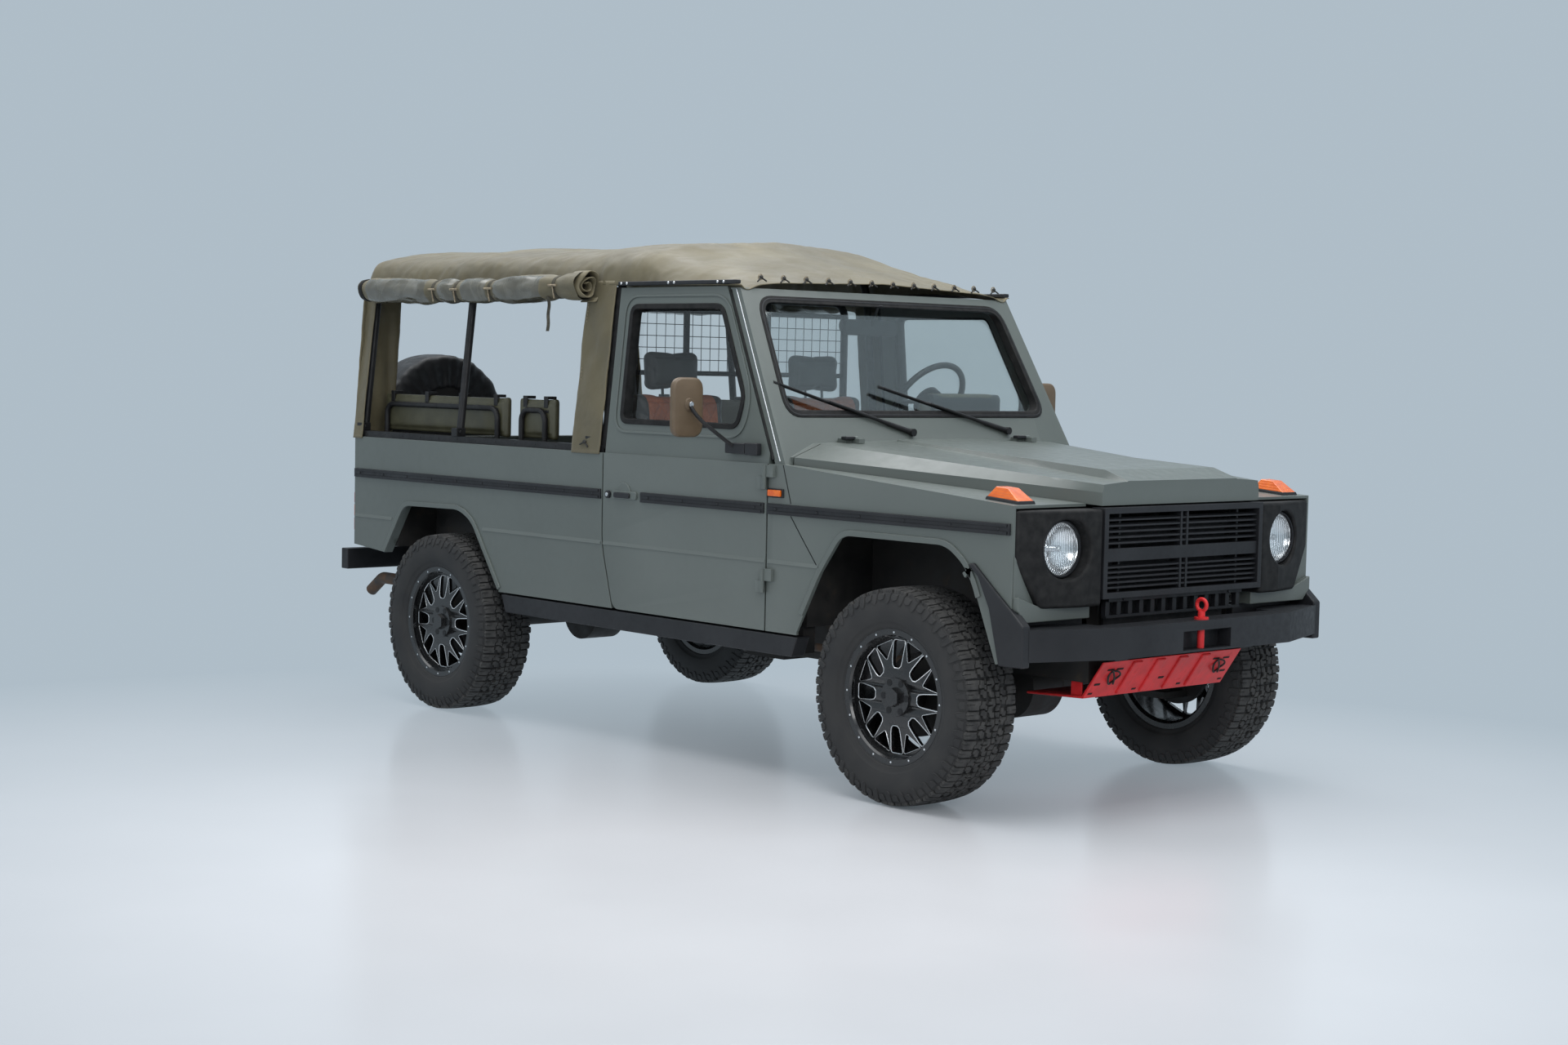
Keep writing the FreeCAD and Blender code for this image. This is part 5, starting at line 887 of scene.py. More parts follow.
# %% Front flares
FLARE = ((1.908, 0.888), (1.936, 0.893), (2.032, 0.812), (2.118, 0.742), (2.172, 0.694), (2.172, 0.553),
         (2.062, 0.551), (2.012, 0.742), (1.958, 0.846))
NOSE_STRIP = ((0.46, 0.7), (0.79, 0.7), (0.832, 0.742), (0.832, 0.79), (0.72, 0.752), (0.46, 0.748))
NOSE_CORNER = ((0.7, 0.745), (0.832, 0.745), (0.832, 0.93))
for name, side in SIDES:
    built("flare_" + name, plastic, (add_slab, FLARE, "Y", *sided(side, SIDE - 0.03, SIDE + 0.012)),
          bevel=0.007, segments=3)
    built("nose_strip_" + name, body_paint,
          (add_slab, [(y * side, z) for y, z in NOSE_STRIP], "X", 2.052, 2.132),
          (add_slab, [(y * side, z) for y, z in NOSE_CORNER], "X", 2.05, 2.1125), bevel=0.004)
print("flares done")

# %% [markdown]
# The top is heavy olive canvas, waxed and much folded. Its weave is finer than a pixel in most views, so the
# finish leans on what shows from far away: a slow drift from olive to straw, pale rubbed ridges and dark
# creases. Crossed waves give the threads for a close view. The clear windows in the side curtains are old
# vinyl: smoother, greyer and full of soft dents.

# %% Cloth finishes
OLIVE = (0.1, 0.085, 0.044)
STAIN, RIDGE = (0.075, 0.064, 0.04), (0.2, 0.172, 0.105)
canvas = mottled("canvas", OLIVE, 0.62, "canvas", gloss=((7, 4), 0.46, 0.72),
                 bumps=(("noise", (16, 5, EVEN, 0.4), 0.35, 0.006), ("noise", (60, 3), 0.2, 0.0012)),
                 sockets={"Sheen Weight": 0.12, "Sheen Roughness": 0.5})
canvas_drift = canvas.ramp(canvas.noise(2.4, 5, EVEN, 0.6), ((0.3, (0.072, 0.062, 0.033)), (0.52, OLIVE),
                                                             (0.75, (0.14, 0.12, 0.066))))
canvas_stained = canvas.mix(canvas.span(canvas.noise(11, 6), 0, 0.5, 0.55, 0.8), canvas_drift, STAIN)
canvas.color(canvas.mix(canvas.math("MULTIPLY", canvas.edges(0.505, 0.56), 0.35), canvas_stained, RIDGE))
threads = canvas.math("ADD", canvas.wave(420, "X"), canvas.wave(420, "Y"))
canvas.bump(canvas.math("ADD", threads, canvas.wave(420, "Z")), 0.16, 0.00035)
vinyl = mottled("curtain_vinyl", (0.16, 0.155, 0.125), 0.2, "canvas", (9, 5, EVEN, 0.8),
                ((0.3, (0.06, 0.054, 0.036)), (0.55, (0.095, 0.09, 0.068)), (0.8, (0.17, 0.168, 0.15))),
                (None, 0.14, 0.36), (("noise", (13, 4, EVEN, 0.5), 0.5, 0.008),), coat(0.5, 0.12))
webbing = mottled("strap_webbing", (0.045, 0.04, 0.026), 0.8, "canvas", (60, 3),
                  ((0.3, (0.03, 0.027, 0.018)), (0.7, (0.07, 0.062, 0.042))), None,
                  (("wave", (500, "Z"), 0.4, 0.0005),))
rope = mottled("cotton_rope", (0.3, 0.25, 0.17), 0.85, "canvas", (130, 4),
               ((0.3, (0.14, 0.11, 0.07)), (0.65, (0.33, 0.28, 0.2))), None,
               (("wave", (420, "DIAGONAL"), 0.5, 0.0008),))
black_cord = mottled("black_cord", (0.014, 0.014, 0.014), 0.7, "canvas", (200, 3),
                     ((0.3, (0.01, 0.01, 0.01)), (0.7, (0.035, 0.034, 0.03))), None,
                     (("wave", (600, "DIAGONAL"), 0.4, 0.0005),))
chrome = mottled("bright_steel", (0.62, 0.63, 0.64), 0.16, "black_plastic", gloss=((90, 3), 0.1, 0.26),
                 bumps=(("noise", (400, 2), 0.05, 0.0002),), sockets={"Metallic": 1.0})

# %% [markdown]
# The roof is one continuous sheet. It starts as a flat grid. Each of its points is then carried up to the
# hoops: one way of the grid runs along the car, the other from one lower edge over the crown to the other.
# Between the hoops the cloth sags, over them it is tight, and near its edges it is pulled into slanting folds.

# %% Roof section
ROOF_REAR, BROW, ROOF_FRONT = -2.028, -0.055, 0.597
EDGE, SHOULDER, CROWN, LIP = 1.868, 2.018, 2.074, 1.892
HOOPS = (-1.985, -1.213, -0.245)
ROOF_ALONG, ROOF_ACROSS = 260, 150


def along_line(points, share):
    """The place at one share of a line's length."""
    lengths = [math.dist(a, b) for a, b in zip(points, points[1:])]
    left = share * sum(lengths)
    for a, b, length in zip(points, points[1:], lengths):
        if left <= length:
            return tuple(p + (q - p) * left / length for p, q in zip(a, b))
        left -= length
    return points[-1]


def rounded_line(points, rounds):
    """Cuts the corners of an open line, as a file does, a few times over."""
    for _ in range(rounds):
        cut = [points[0]]
        for a, b in zip(points, points[1:]):
            cut += [tuple(p * share + q * (1 - share) for p, q in zip(a, b)) for share in (0.75, 0.25)]
        points = cut + [points[-1]]
    return points


def half_section(edge, shoulder, crown):
    half = side_at(EDGE)
    return rounded_line([(half + 0.001, edge), (half * 0.99, edge + (shoulder - edge) * 0.42),
                         (half * 0.95, shoulder - 0.035), (half * 0.86, shoulder), (half * 0.5, crown - 0.012),
                         (0.0, crown)], 3)


TALL_SECTION = half_section(EDGE, SHOULDER, CROWN)
LOW_SECTION = half_section(EDGE - 0.006, LIP - 0.02, LIP)


def roof_place(x, across):
    """A point of the roof: across runs from -1 at the right edge to 1 at the left."""
    tall = along_line(TALL_SECTION, 1 - abs(across))
    low = along_line(LOW_SECTION, 1 - abs(across))
    fall = min(1.0, max(0.0, (x - BROW) / (ROOF_FRONT - BROW)))
    y, z = (a + (b - a) * fall for a, b in zip(tall, low))
    return math.copysign(y, across), z


def wrinkle(x, y, z, across):
    """How far the cloth stands off its plain shape."""
    place = Vector((x, y, z))
    # 1 on a hoop, falling to 0 half-way between hoops
    pull = math.exp(-(min(abs(x - hoop) for hoop in HOOPS) / 0.13) ** 2)
    sag = -0.012 * (1 - pull) * (1 - abs(across) ** 3) if x < BROW else 0
    soft = noise.fractal(place * 4.2, 0.9, 2.1, 3) * 0.0045
    fold = noise.noise(Vector((x * 4.5 + abs(y) * 3.5, y * 3, z * 6))) * 0.006
    near_edge = max(0.0, (abs(across) - 0.55) / 0.45)
    pleat = abs(noise.noise(Vector((x * 14, z * 5, 2.5)))) * 0.011 * near_edge
    crumple = -abs(noise.noise(place * 16 + Vector((4, 1, 7)))) * 0.0045
    return sag + soft + fold - pleat + crumple


# %% Roof canvas
def cloth_grid(along, across, where):
    """A grid of cloth, with a rule that carries each flat point to its place."""
    shape = bmesh.new()
    bmesh.ops.create_grid(shape, x_segments=along, y_segments=across, size=1)
    for vert in shape.verts:
        vert.co = where(vert.co.x, vert.co.y)
    return shape


def on_roof(along, across):
    x = ROOF_REAR + (ROOF_FRONT - ROOF_REAR) * (along + 1) / 2
    y, z = roof_place(x, across)
    near = roof_place(x, min(1, across + 0.01))
    far = roof_place(x, max(-1, across - 0.01))
    lift = Vector((0, -(near[1] - far[1]), near[0] - far[0])).normalized()
    if abs(across) >= 0.9:
        lift = Vector((0, math.copysign(1, across), 0.15)).normalized()
    elif lift.z < 0:
        lift.negate()
    edge_hold = 1 - 0.7 * max(0.0, (x - ROOF_FRONT + 0.1) / 0.1)
    return Vector((x, y, z)) + lift * (wrinkle(x, y, z, across) - 0.001) * edge_hold


def cloth_piece(name, shape, finish, thickness, grow=-1, angle=80):
    """A single layer of cloth with its thickness."""
    piece = finished(name, shape, finish, angle=angle, outward=False)
    return lined(piece, thickness, grow)


def lined(piece, thickness, grow=-1):
    layer = piece.modifiers.new("thickness", "SOLIDIFY")
    layer.thickness = thickness
    layer.offset = grow
    return piece


roof = cloth_piece("roof_canvas", cloth_grid(ROOF_ALONG, ROOF_ACROSS, on_roof), canvas, 0.003)
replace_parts(roof, "soft_top")
print("roof", len(roof.data.polygons), "faces")

# %% [markdown]
# Flat strips of canvas hang from the roof at its corners: one behind each door and one at each tail corner,
# with a broader one across the tail. Each is a grid as well, laid on the car's leaning side, with soft upright
# folds.


# %% Hanging strips
def hanging_strip(corners, folds, waves):
    """A cloth panel from four corners: upper rear, upper front, lower front, lower rear."""
    a, b, c, d = (Vector(corner) for corner in corners)
    face = (b - a).cross(d - a).normalized()

    def hang(along, up):
        u, v = (along + 1) / 2, (1 - up) / 2
        place = a.lerp(b, u).lerp(d.lerp(c, u), v)
        loose = math.sin(min(1.0, v * 1.15) * math.pi) * 0.7 + 0.3
        ripple = math.sin(u * waves + noise.noise(place * 5) * 3 + v * 1.3)
        soft = noise.fractal(place * 11, 0.8, 2.0, 3)
        return place + face * (ripple * folds * loose + soft * folds * 0.7)

    return cloth_grid(30, 60, hang)


STRIP_TOP, STRIP_FOOT = 1.885, 1.178
STRIP_LINES = (("front_strip", -0.352, -0.166, 7.0), ("tail_strip", -2.03, -1.955, 4.0))
TAIL_INNER, TAIL_OUTER = 0.607, 0.822
for name, side in SIDES:
    top_y, low_y = side_at(1.88, 0.003) * side, (side_at(STRIP_FOOT) + 0.003) * side
    for label, rear, front, waves in STRIP_LINES:
        corners = ((rear, top_y, STRIP_TOP), (front, top_y, STRIP_TOP), (front, low_y, STRIP_FOOT),
                   (rear, low_y, STRIP_FOOT))
        strip = cloth_piece(label + "_" + name, hanging_strip(corners, 0.003, waves), canvas, 0.004, 0)
    inner, outer = TAIL_INNER * side, TAIL_OUTER * side
    corners = ((-2.025, inner * 0.96, 1.9), (-2.027, outer * 0.955, 1.89), (-2.03, outer * 1.015, STRIP_FOOT),
               (-2.022, inner * 1.05, STRIP_FOOT))
    panel = cloth_piece("tail_curtain_" + name, hanging_strip(corners, 0.006, 11.0), canvas, 0.004, 0)
print("strips done")

# %% [markdown]
# The side curtains are rolled up under the roof's edge and strapped. A roll is cloth wound on itself, so it is
# modelled as a tube of rings whose radius wanders, pinched where a strap holds it. Its front end is left open
# as a spiral. Sections of clear vinyl window show between the canvas bands, so faces there take that finish.

# %% Curtain rolls
ROLL_REAR, ROLL_FRONT = -1.972, -0.31
ROLL_Y, ROLL_Z, ROLL_RADIUS = 0.812, 1.868, 0.064
ROLL_RINGS, ROLL_AROUND = 190, 44
ROLL_STRAPS = (-1.955, -1.36, -1.19, -0.93, -0.47)
VINYL_SPANS = ((-1.9, -1.42), (-1.32, -1.21), (-1.14, -0.96), (-0.9, -0.56))
MOUTH_TURNS, MOUTH_STEPS, MOUTH_CORE = 2.6, 90, 0.012


def roll_radius(x, turn, side):
    pinch = min(abs(x - strap) for strap in ROLL_STRAPS)
    tight = math.exp(-(pinch / 0.05) ** 2)
    place = Vector((x * 5, math.cos(turn) * 1.2, math.sin(turn) * 1.2 + side * 3))
    wander = noise.fractal(place, 1.0, 2.1, 3) * 0.007
    dent = -abs(noise.noise(Vector((x * 6, turn * 1.1, side)))) * 0.008
    flat_top = -0.012 * max(0.0, math.sin(turn)) ** 2
    return ROLL_RADIUS + (wander + dent) * (1 - tight * 0.7) - 0.012 * tight + flat_top


def roll_place(x, turn, side, lift=0.0):
    """A point on the rolled curtain's surface, or a little above it."""
    share = (x - ROLL_REAR) / (ROLL_FRONT - ROLL_REAR)
    droop = -0.012 * math.sin(math.pi * share) + noise.noise(Vector((x * 3, side, 0))) * 0.006
    radius = roll_radius(x, turn, side) + lift
    out = ROLL_Y + radius * math.cos(turn) * 0.92
    return Vector((x, out * side, ROLL_Z + droop + radius * math.sin(turn)))


def roll_ring(shape, x, side, lift=0.0, around=ROLL_AROUND):
    return [shape.verts.new(roll_place(x, turn, side, lift)) for turn in turns_of(around)]


def curtain_roll(side):
    shape = bmesh.new()
    rings = [roll_ring(shape, ROLL_REAR + (ROLL_FRONT - ROLL_REAR) * k / ROLL_RINGS, side)
             for k in range(ROLL_RINGS + 1)]
    skin(shape, rings)
    shape.faces.new(rings[0])
    return shape


def roll_mouth(side):
    """The open, spiral front end of a roll."""
    shape = bmesh.new()
    chain = []
    for share in (k / MOUTH_STEPS for k in range(MOUTH_STEPS + 1)):
        turn = 2 * math.pi * MOUTH_TURNS * share + 0.6
        radius = (MOUTH_CORE + (ROLL_RADIUS - MOUTH_CORE) * share) * (1 + 0.09 * math.sin(turn * 2.3))
        chain.append(shape.verts.new((ROLL_FRONT - 0.06, (ROLL_Y + math.cos(turn) * radius * 0.92) * side,
                                      ROLL_Z - 0.004 + math.sin(turn) * radius)))
    lines = [shape.edges.new(pair) for pair in zip(chain, chain[1:])]
    for vert in fresh_verts(bmesh.ops.extrude_edge_only(shape, edges=lines)):
        vert.co.x += 0.085 + 0.012 * math.sin(vert.co.z * 60)
    bmesh.ops.subdivide_edges(shape, edges=shape.edges[:], cuts=1)
    return shape


for name, side in SIDES:
    roll = finished("curtain_roll_" + name, curtain_roll(side), canvas, angle=70)
    roll.data.materials.append(vinyl.mat)
    for face in roll.data.polygons:
        middle = face.center
        if any(start < middle.x < end for start, end in VINYL_SPANS) and middle.z < ROLL_Z + 0.042:
            face.material_index = 1
    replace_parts(roll, "curtain_rolls")
    mouth = cloth_piece("roll_mouth_" + name, roll_mouth(side), canvas, 0.004, 0, 70)
print("curtain rolls done")

# %% [markdown]
# The car's face is a black moulding between two lamp housings. The real grille is one casting: a frame, five
# thin slats above a plain band and five below, held from behind by upright ribs. It is built in that order from
# blocks and a ring, with small bevels, and it stands for the measured grille.


# %% Grille
def add_block(shape, side, along, out, up):
    """A block on one side of the car: its span along the car, out from the middle and up."""
    low, high = sided(side, *out)
    add_box(shape, (along[0], low, up[0]), (along[1], high, up[1]))


MOUTH_LOW, MOUTH_HIGH = 0.789, 1.064
BAND_LOW, BAND_HIGH = 0.896, 0.942
SLATS, SLAT_HALF = 5, 0.0036
SLAT_TILT = Matrix.Rotation(math.radians(14), 4, "Y")
# Each rib's place across the car and how far forward it comes
RIBS = ((-0.335, 2.152), (-0.017, 2.173), (0.017, 2.173), (0.335, 2.152))
shape = bmesh.new()
add_frame(shape, box_line(-0.451, 0.451, 0.768, 1.086), box_line(-0.429, 0.429, MOUTH_LOW, MOUTH_HIGH), "X",
          2.12, 2.182)
add_box(shape, (2.132, -0.43, BAND_LOW), (2.174, 0.43, BAND_HIGH))
for low, high in ((MOUTH_LOW, BAND_LOW), (BAND_HIGH, MOUTH_HIGH)):
    for k in range(1, SLATS + 1):
        z = low + (high - low) * k / (SLATS + 1)
        add_box(shape, (2.148, -0.43, z - SLAT_HALF), (2.171, 0.43, z + SLAT_HALF), SLAT_TILT)
for y, front in RIBS:
    add_box(shape, (2.124, y - 0.0055, 0.78), (front, y + 0.0055, 1.07))
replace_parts(finished("grille_face", shape, plastic, 0.0018), "grille")
VALANCE_BARS, BAR_GAP = 13, 0.062
shape = bmesh.new()
add_box(shape, (2.116, -0.38, 0.752), (2.15, 0.38, 0.768))
add_box(shape, (2.116, -0.38, 0.694), (2.14, 0.38, 0.705))
for k in range(VALANCE_BARS):
    y = -0.372 + BAR_GAP * k
    add_box(shape, (2.117, y - 0.011, 0.7), (2.138, y + 0.011, 0.756))
for y in (-0.3, 0.3):
    add_rod(shape, (2.136, y, 0.76), (2.154, y, 0.76), 0.007, 6)
finished("valance_slots", shape, plastic, 0.002)
# The cooler behind the slats, and black trays behind the bumper's ends
cooler = mottled("cooler_fins", (0.02, 0.021, 0.022), 0.5, "black_plastic", (20, 4),
                 ((0.3, (0.008, 0.008, 0.009)), (0.7, (0.03, 0.031, 0.033))), None,
                 (("wave", (190, "Y"), 0.6, 0.002),), {"Metallic": 0.5})
built("cooler", cooler, (add_box, (2.08, -0.34, 0.62), (2.092, 0.34, 1.0)),
      (add_rod, (2.092, -0.35, 0.61), (2.092, 0.35, 0.61), 0.015),
      (add_rod, (2.092, -0.35, 1.01), (2.092, 0.35, 1.01), 0.015), bevel=0.001, segments=1)
for name, side in SIDES:
    built("nose_tray_" + name, plastic, (add_block, side, (2.03, 2.075), (0.43, 0.79), (0.6, 0.705)),
          bevel=0.006)
print("grille done")

# %% [markdown]
# A round headlamp is a bright bowl behind a domed glass. The bowl is a half section spun round the lamp's axis,
# and the glass has upright flutes that spread the beam. A bulb cap stands in the middle. The housing's black
# bezel closes the gap between the bowl and the recess.

# %% Lamp finishes
# The bowl's faint emission is a painted glow: the lamp is off, and the glow stands in for light that the
# reflector catches.
bowl_painted_glow = mottled("lamp_bowl", (0.86, 0.87, 0.88), 0.14, "lamp_glass", gloss=((60, 3), 0.08, 0.2),
               bumps=(("cells", (46, "SMOOTH_F1"), 0.35, 0.003),),
               sockets={"Metallic": 1.0, "Emission Color": (0.8, 0.86, 0.92), "Emission Strength": 0.1})
lens = mottled("lamp_lens", (0.95, 0.97, 0.98), 0.03, "lamp_glass", gloss=((40, 3), 0.01, 0.06),
               bumps=(("wave", (34, "Y"), 0.3, 0.003), ("wave", (12, "Z"), 0.15, 0.003)),
               sockets={"IOR": 1.4, "Transmission Weight": 1.0})
# The amber lenses' faint emission is a painted glow: the signals are off, and the glow brightens them.
amber_painted_glow = mottled("amber_lens", (0.7, 0.13, 0.003), 0.25, "amber_lens", (30, 3),
                ((0.3, (0.58, 0.085, 0.002)), (0.7, (0.74, 0.15, 0.004))), None,
                (("wave", (90, "Y"), 0.35, 0.0012),),
                {**coat(0.6, 0.06), "Emission Color": (1, 0.2, 0.003), "Emission Strength": 0.03})
ruby = mottled("ruby_lens", (0.45, 0.012, 0.01), 0.16, "red_lens", (30, 3),
               ((0.3, (0.36, 0.008, 0.007)), (0.7, (0.5, 0.016, 0.012))), None,
               (("wave", (90, "Y"), 0.35, 0.0012),), coat(0.6, 0.06))

# %% Headlamps
LAMP_SIDE, LAMP_HEIGHT, LAMP_STEPS = 0.615, 0.946, 64
# Along the car, then out from the lamp's axis
BOWL = ((2.083, 0.0), (2.084, 0.022), (2.09, 0.045), (2.101, 0.068), (2.116, 0.086), (2.124, 0.0905),
        (2.1225, 0.0925), (2.081, 0.06), (2.0795, 0.0))
LENS = ((2.1375, 0.0), (2.1368, 0.03), (2.1345, 0.058), (2.129, 0.08), (2.121, 0.0895), (2.118, 0.0895),
        (2.1255, 0.078), (2.131, 0.056), (2.1335, 0.03), (2.1342, 0.0))
BEZEL = ((2.112, 0.0905), (2.127, 0.0905), (2.1335, 0.0925), (2.1345, 0.0955), (2.1335, 0.098), (2.128, 0.1015),
         (2.112, 0.1025))


def lamp_section(profile, side, closed=False):
    spots = [(x, LAMP_SIDE * side, LAMP_HEIGHT + r) for x, r in profile]
    return spun(spots, (1, 0, 0), (0, LAMP_SIDE * side, LAMP_HEIGHT), LAMP_STEPS, closed)


for name, side in SIDES:
    finished("lamp_bowl_" + name, lamp_section(BOWL, side), bowl_painted_glow, angle=50)
    cap, tip, dome = ((x, LAMP_SIDE * side, LAMP_HEIGHT) for x in (2.084, 2.106, 2.108))
    built("lamp_cap_" + name, chrome, (add_rod, cap, tip, 0.011, 20), (add_ball, dome, 0.0125, (0.8, 1, 1), 20),
          bevel=0.001, slot="lamp_glass")
    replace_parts(finished("lamp_lens_" + name, lamp_section(LENS, side), lens, angle=50), "headlamps")
    finished("lamp_bezel_" + name, lamp_section(BEZEL, side, True), plastic, angle=50)
print("headlamps done")

# %% [markdown]
# Amber turn signals stand on the wings, each a wedge of clear plastic on a black foot. A small flat one sits on
# each wing's side. The lens is a block whose upper face is drawn in, so all of its sides slope.


# %% Turn signals
def wing_top(x):
    """The height of a wing's top at one place along the car."""
    return BELT - (x - SCREEN_BASE) * 0.0748


def wedge(rear, front, inner, outer, low, high, draws):
    """A block from a sloping foot up to a smaller top; draws are rear, front and side."""
    back, ahead, aside = draws
    shape = bmesh.new()
    rows = []
    for start, end, near, far, lift in ((rear, front, inner, outer, low),
                                        (rear + back, front - ahead, inner + aside, outer - aside, high)):
        rows.append([shape.verts.new((x, y, wing_top(x) + lift)) for x, y in box_line(start, end, near, far)])
    skin(shape, rows)
    for row in rows:
        shape.faces.new(row)
    return shape


for name, side in SIDES:
    inner, outer = sided(side, 0.707, 0.793)
    foot = wedge(1.933, 2.087, inner - 0.002, outer + 0.002, -0.001, 0.011, (0.004, 0.004, 0.003))
    finished("signal_foot_" + name, foot, plastic, 0.002)
    lamp = wedge(1.938, 2.082, inner + 0.002, outer - 0.002, 0.01, 0.048, (0.03, 0.058, 0.013))
    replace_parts(finished("signal_lens_" + name, lamp, amber_painted_glow, 0.0035, 3), "turn_signals")
    built("repeater_foot_" + name, plastic,
          (add_block, side, (0.868, 0.958), (SIDE - 0.001, SIDE + 0.006), (1.06, 1.094)), bevel=0.003)
    built("repeater_lens_" + name, amber_painted_glow,
          (add_block, side, (0.88, 0.95), (SIDE + 0.005, SIDE + 0.017), (1.065, 1.089)),
          bevel=0.004, segments=3)
print("turn signals done")

# %% [markdown]
# A red steel plate guards the underside of the nose. It is pressed with four long beads that stiffen it, has
# slots near its edges and two cords knotted through it. The tow pin in the bumper has the same red enamel.

# %% Skid plate and tow pin
red = mottled("red_enamel", (0.62, 0.03, 0.032), 0.4, "red_steel", bumps=(("noise", (300, 2), 0.1, 0.0004),),
              sockets={"Specular IOR Level": 0.3})
red_marks = red.noise(18, 5)
red.color(red.ramp(red_marks, ((0.3, (0.5, 0.02, 0.022)), (0.6, (0.68, 0.032, 0.036)),
                               (0.85, (0.3, 0.025, 0.02)))))
red.rough(red.span(red_marks, 0.28, 0.5, 0.3, 0.75))
softened("skid_plate", red, 0.0025, 2)
refinished(red, "tow_pin")
PLATE_KNEE = Vector((2.055, 0, 0.403))
PLATE_TOP = Vector((2.148, 0, 0.541))
plate_slope = (PLATE_TOP - PLATE_KNEE).normalized()
plate_out = Vector((plate_slope.z, 0, -plate_slope.x))
plate_turn = Matrix.Rotation(-math.atan2(plate_slope.z, plate_slope.x), 4, "Y")
plate_middle = (PLATE_KNEE + PLATE_TOP) / 2
BEADS = (-0.2, -0.07, 0.06, 0.19)
# A row of slots each: its place up the slope, a slot's size, how far it stands out, and the places across
SLOT_ROWS = (
    (0.045, (0.008, 0.035, 0.004), 0.0012, (-0.33, -0.28, 0.27, 0.33)),
    (-0.02, (0.009, 0.03, 0.004), 0.0012, (-0.36, -0.005, 0.355)),
    (-0.062, (0.008, 0.022, 0.004), 0.0012, (-0.37, -0.13, 0.125, 0.37)),
)
CORD = 0.0035


def plate_spot(up, y, proud):
    """A place on the plate's sloping face."""
    return plate_middle + plate_slope * up + plate_out * proud + Vector((0, y, 0))


def plate_blocks(name, finish, rows, **how):
    """Blocks on the plate, in rows laid out like the slots."""
    shape = bmesh.new()
    for up, size, proud, places in rows:
        for y in places:
            middle, half = plate_spot(up, y, proud - size[2] / 2), Vector(size) / 2
            add_box(shape, middle - half, middle + half, plate_turn)
    finished(name, shape, finish, **how)


plate_blocks("skid_beads", red, ((0, (0.15, 0.05, 0.012), 0.007, BEADS),), bevel=0.005, segments=3)
plate_blocks("skid_slots", seal, SLOT_ROWS, slot="red_steel")
cords = []
for y in (-0.3, 0.3):
    loop = [plate_spot(0.03 * math.cos(t) + 0.012, y + 0.028 * math.sin(t), 0.006 + 0.006 * math.sin(2 * t))
            for t in turns_of(12)]
    cords.append(tube("loop", loop, CORD, black_cord, closed=True))
    tail = [plate_spot(0.05, y - 0.03, 0.008), plate_spot(0.02, y, 0.014), plate_spot(-0.02, y + 0.02, 0.006)]
    cords.append(tube("tail", tail, CORD, black_cord))
joined("skid_cords", cords, black_cord)
print("skid plate done")

# %% [markdown]
# The window panes are thin clear plates, so light mostly passes straight through them. Their finish lets the
# view through and adds a mirror layer that grows at low angles, as real glass does. The measured panes keep
# their shape. Black rubber holds each one, and a pressed step runs round each door window.


# %% Glass
def glass(name, tint, shine):
    """Thin glass: the view passes through, under a mirror layer that grows at low angles."""
    finish = Finish(name, (0.8, 0.85, 0.86), 0.03, "glass")
    see_through = finish.add("BsdfTransparent", {"Color": tint})
    mirror = finish.add("BsdfGlossy", {"Roughness": finish.span(finish.noise(6, 4), 0.015, 0.06)})
    grazing = finish.math("MULTIPLY", finish.add("Fresnel", {"IOR": 1.4}).outputs[0], shine)
    pane = finish.add("MixShader", {0: grazing, 1: see_through.outputs[0], 2: mirror.outputs[0]})
    finish.surface(pane.outputs[0])
    return finish


refinished(glass("door_glass", (0.975, 0.985, 0.98), 0.1), "door_glass_right", "door_glass_left")
refinished(glass("screen_glass", (0.9, 0.93, 0.925), 0.38), "windscreen_glass")
DOOR_WINDOW = ((-0.058, 1.31), (0.664, 1.31), (0.69, 1.434), (0.509, 1.786), (-0.058, 1.786))
SCREEN_WINDOW = ((-0.726, 1.37), (0.726, 1.37), (0.678, 1.811), (-0.678, 1.811))
DOOR_ROUND, SCREEN_ROUND = 0.045, 0.07


def lean_in(shape, side):
    """Tips a shape that was built upright onto the cab's leaning side."""
    for vert in shape.verts:
        vert.co.y -= (vert.co.z - BELT) * math.tan(LEAN) * side


def opening_lines(window, radius, reaches):
    """Rounded outlines at distances from an opening's edge."""
    return [soft_corners(grown(window, reach), radius + reach) for reach in reaches]


def ring_on_door(label, name, side, finish, reaches, depths, bevel):
    """A ring round the door's window; its depths are from the car's side."""
    shape = bmesh.new()
    low, high = sided(side, SIDE + depths[0], SIDE + depths[1])
    add_frame(shape, *opening_lines(DOOR_WINDOW, DOOR_ROUND, reaches), "Y", low, high)
    lean_in(shape, side)
    finished(label + "_" + name, shape, finish, bevel, angle=40, body=name + "_door")


def ring_on_screen(name, finish, reaches, depths, bevel):
    """A ring round the windscreen's opening, standing on its leaning face."""
    shape = bmesh.new()
    add_frame(shape, *opening_lines(SCREEN_WINDOW, SCREEN_ROUND, reaches), "X", *depths)
    for vert in shape.verts:
        vert.co.x += screen_at(vert.co.z)
    finished(name, shape, finish, bevel, angle=40)


for name, side in SIDES:
    ring_on_door("window_rubber", name, side, seal, (0.004, -0.017), (-0.05, -0.002), 0.003)
    ring_on_door("window_step", name, side, body_paint, (0.04, 0.031), (-0.0065, -0.0035), 0.0014)
ring_on_screen("screen_rubber", seal, (0.012, -0.015), (-0.04, 0.004), 0.004)
ring_on_screen("screen_trim", plastic, (0.004, -0.0005), (0.003, 0.0056), 0.001)
print("glass and rubbers done")

# %% [markdown]
# Two wipers rest on the windscreen. Each is a tapering arm from a pivot below the glass to a thin blade, with a
# rubber edge. The arm is a tapered block laid along the screen's slope, and the blade is a long thin one.


# %% Wipers
def on_screen(y, z, lift):
    return Vector((screen_at(z) + lift, y, z))


def ahead(reach):
    return Vector((reach, 0, 0))


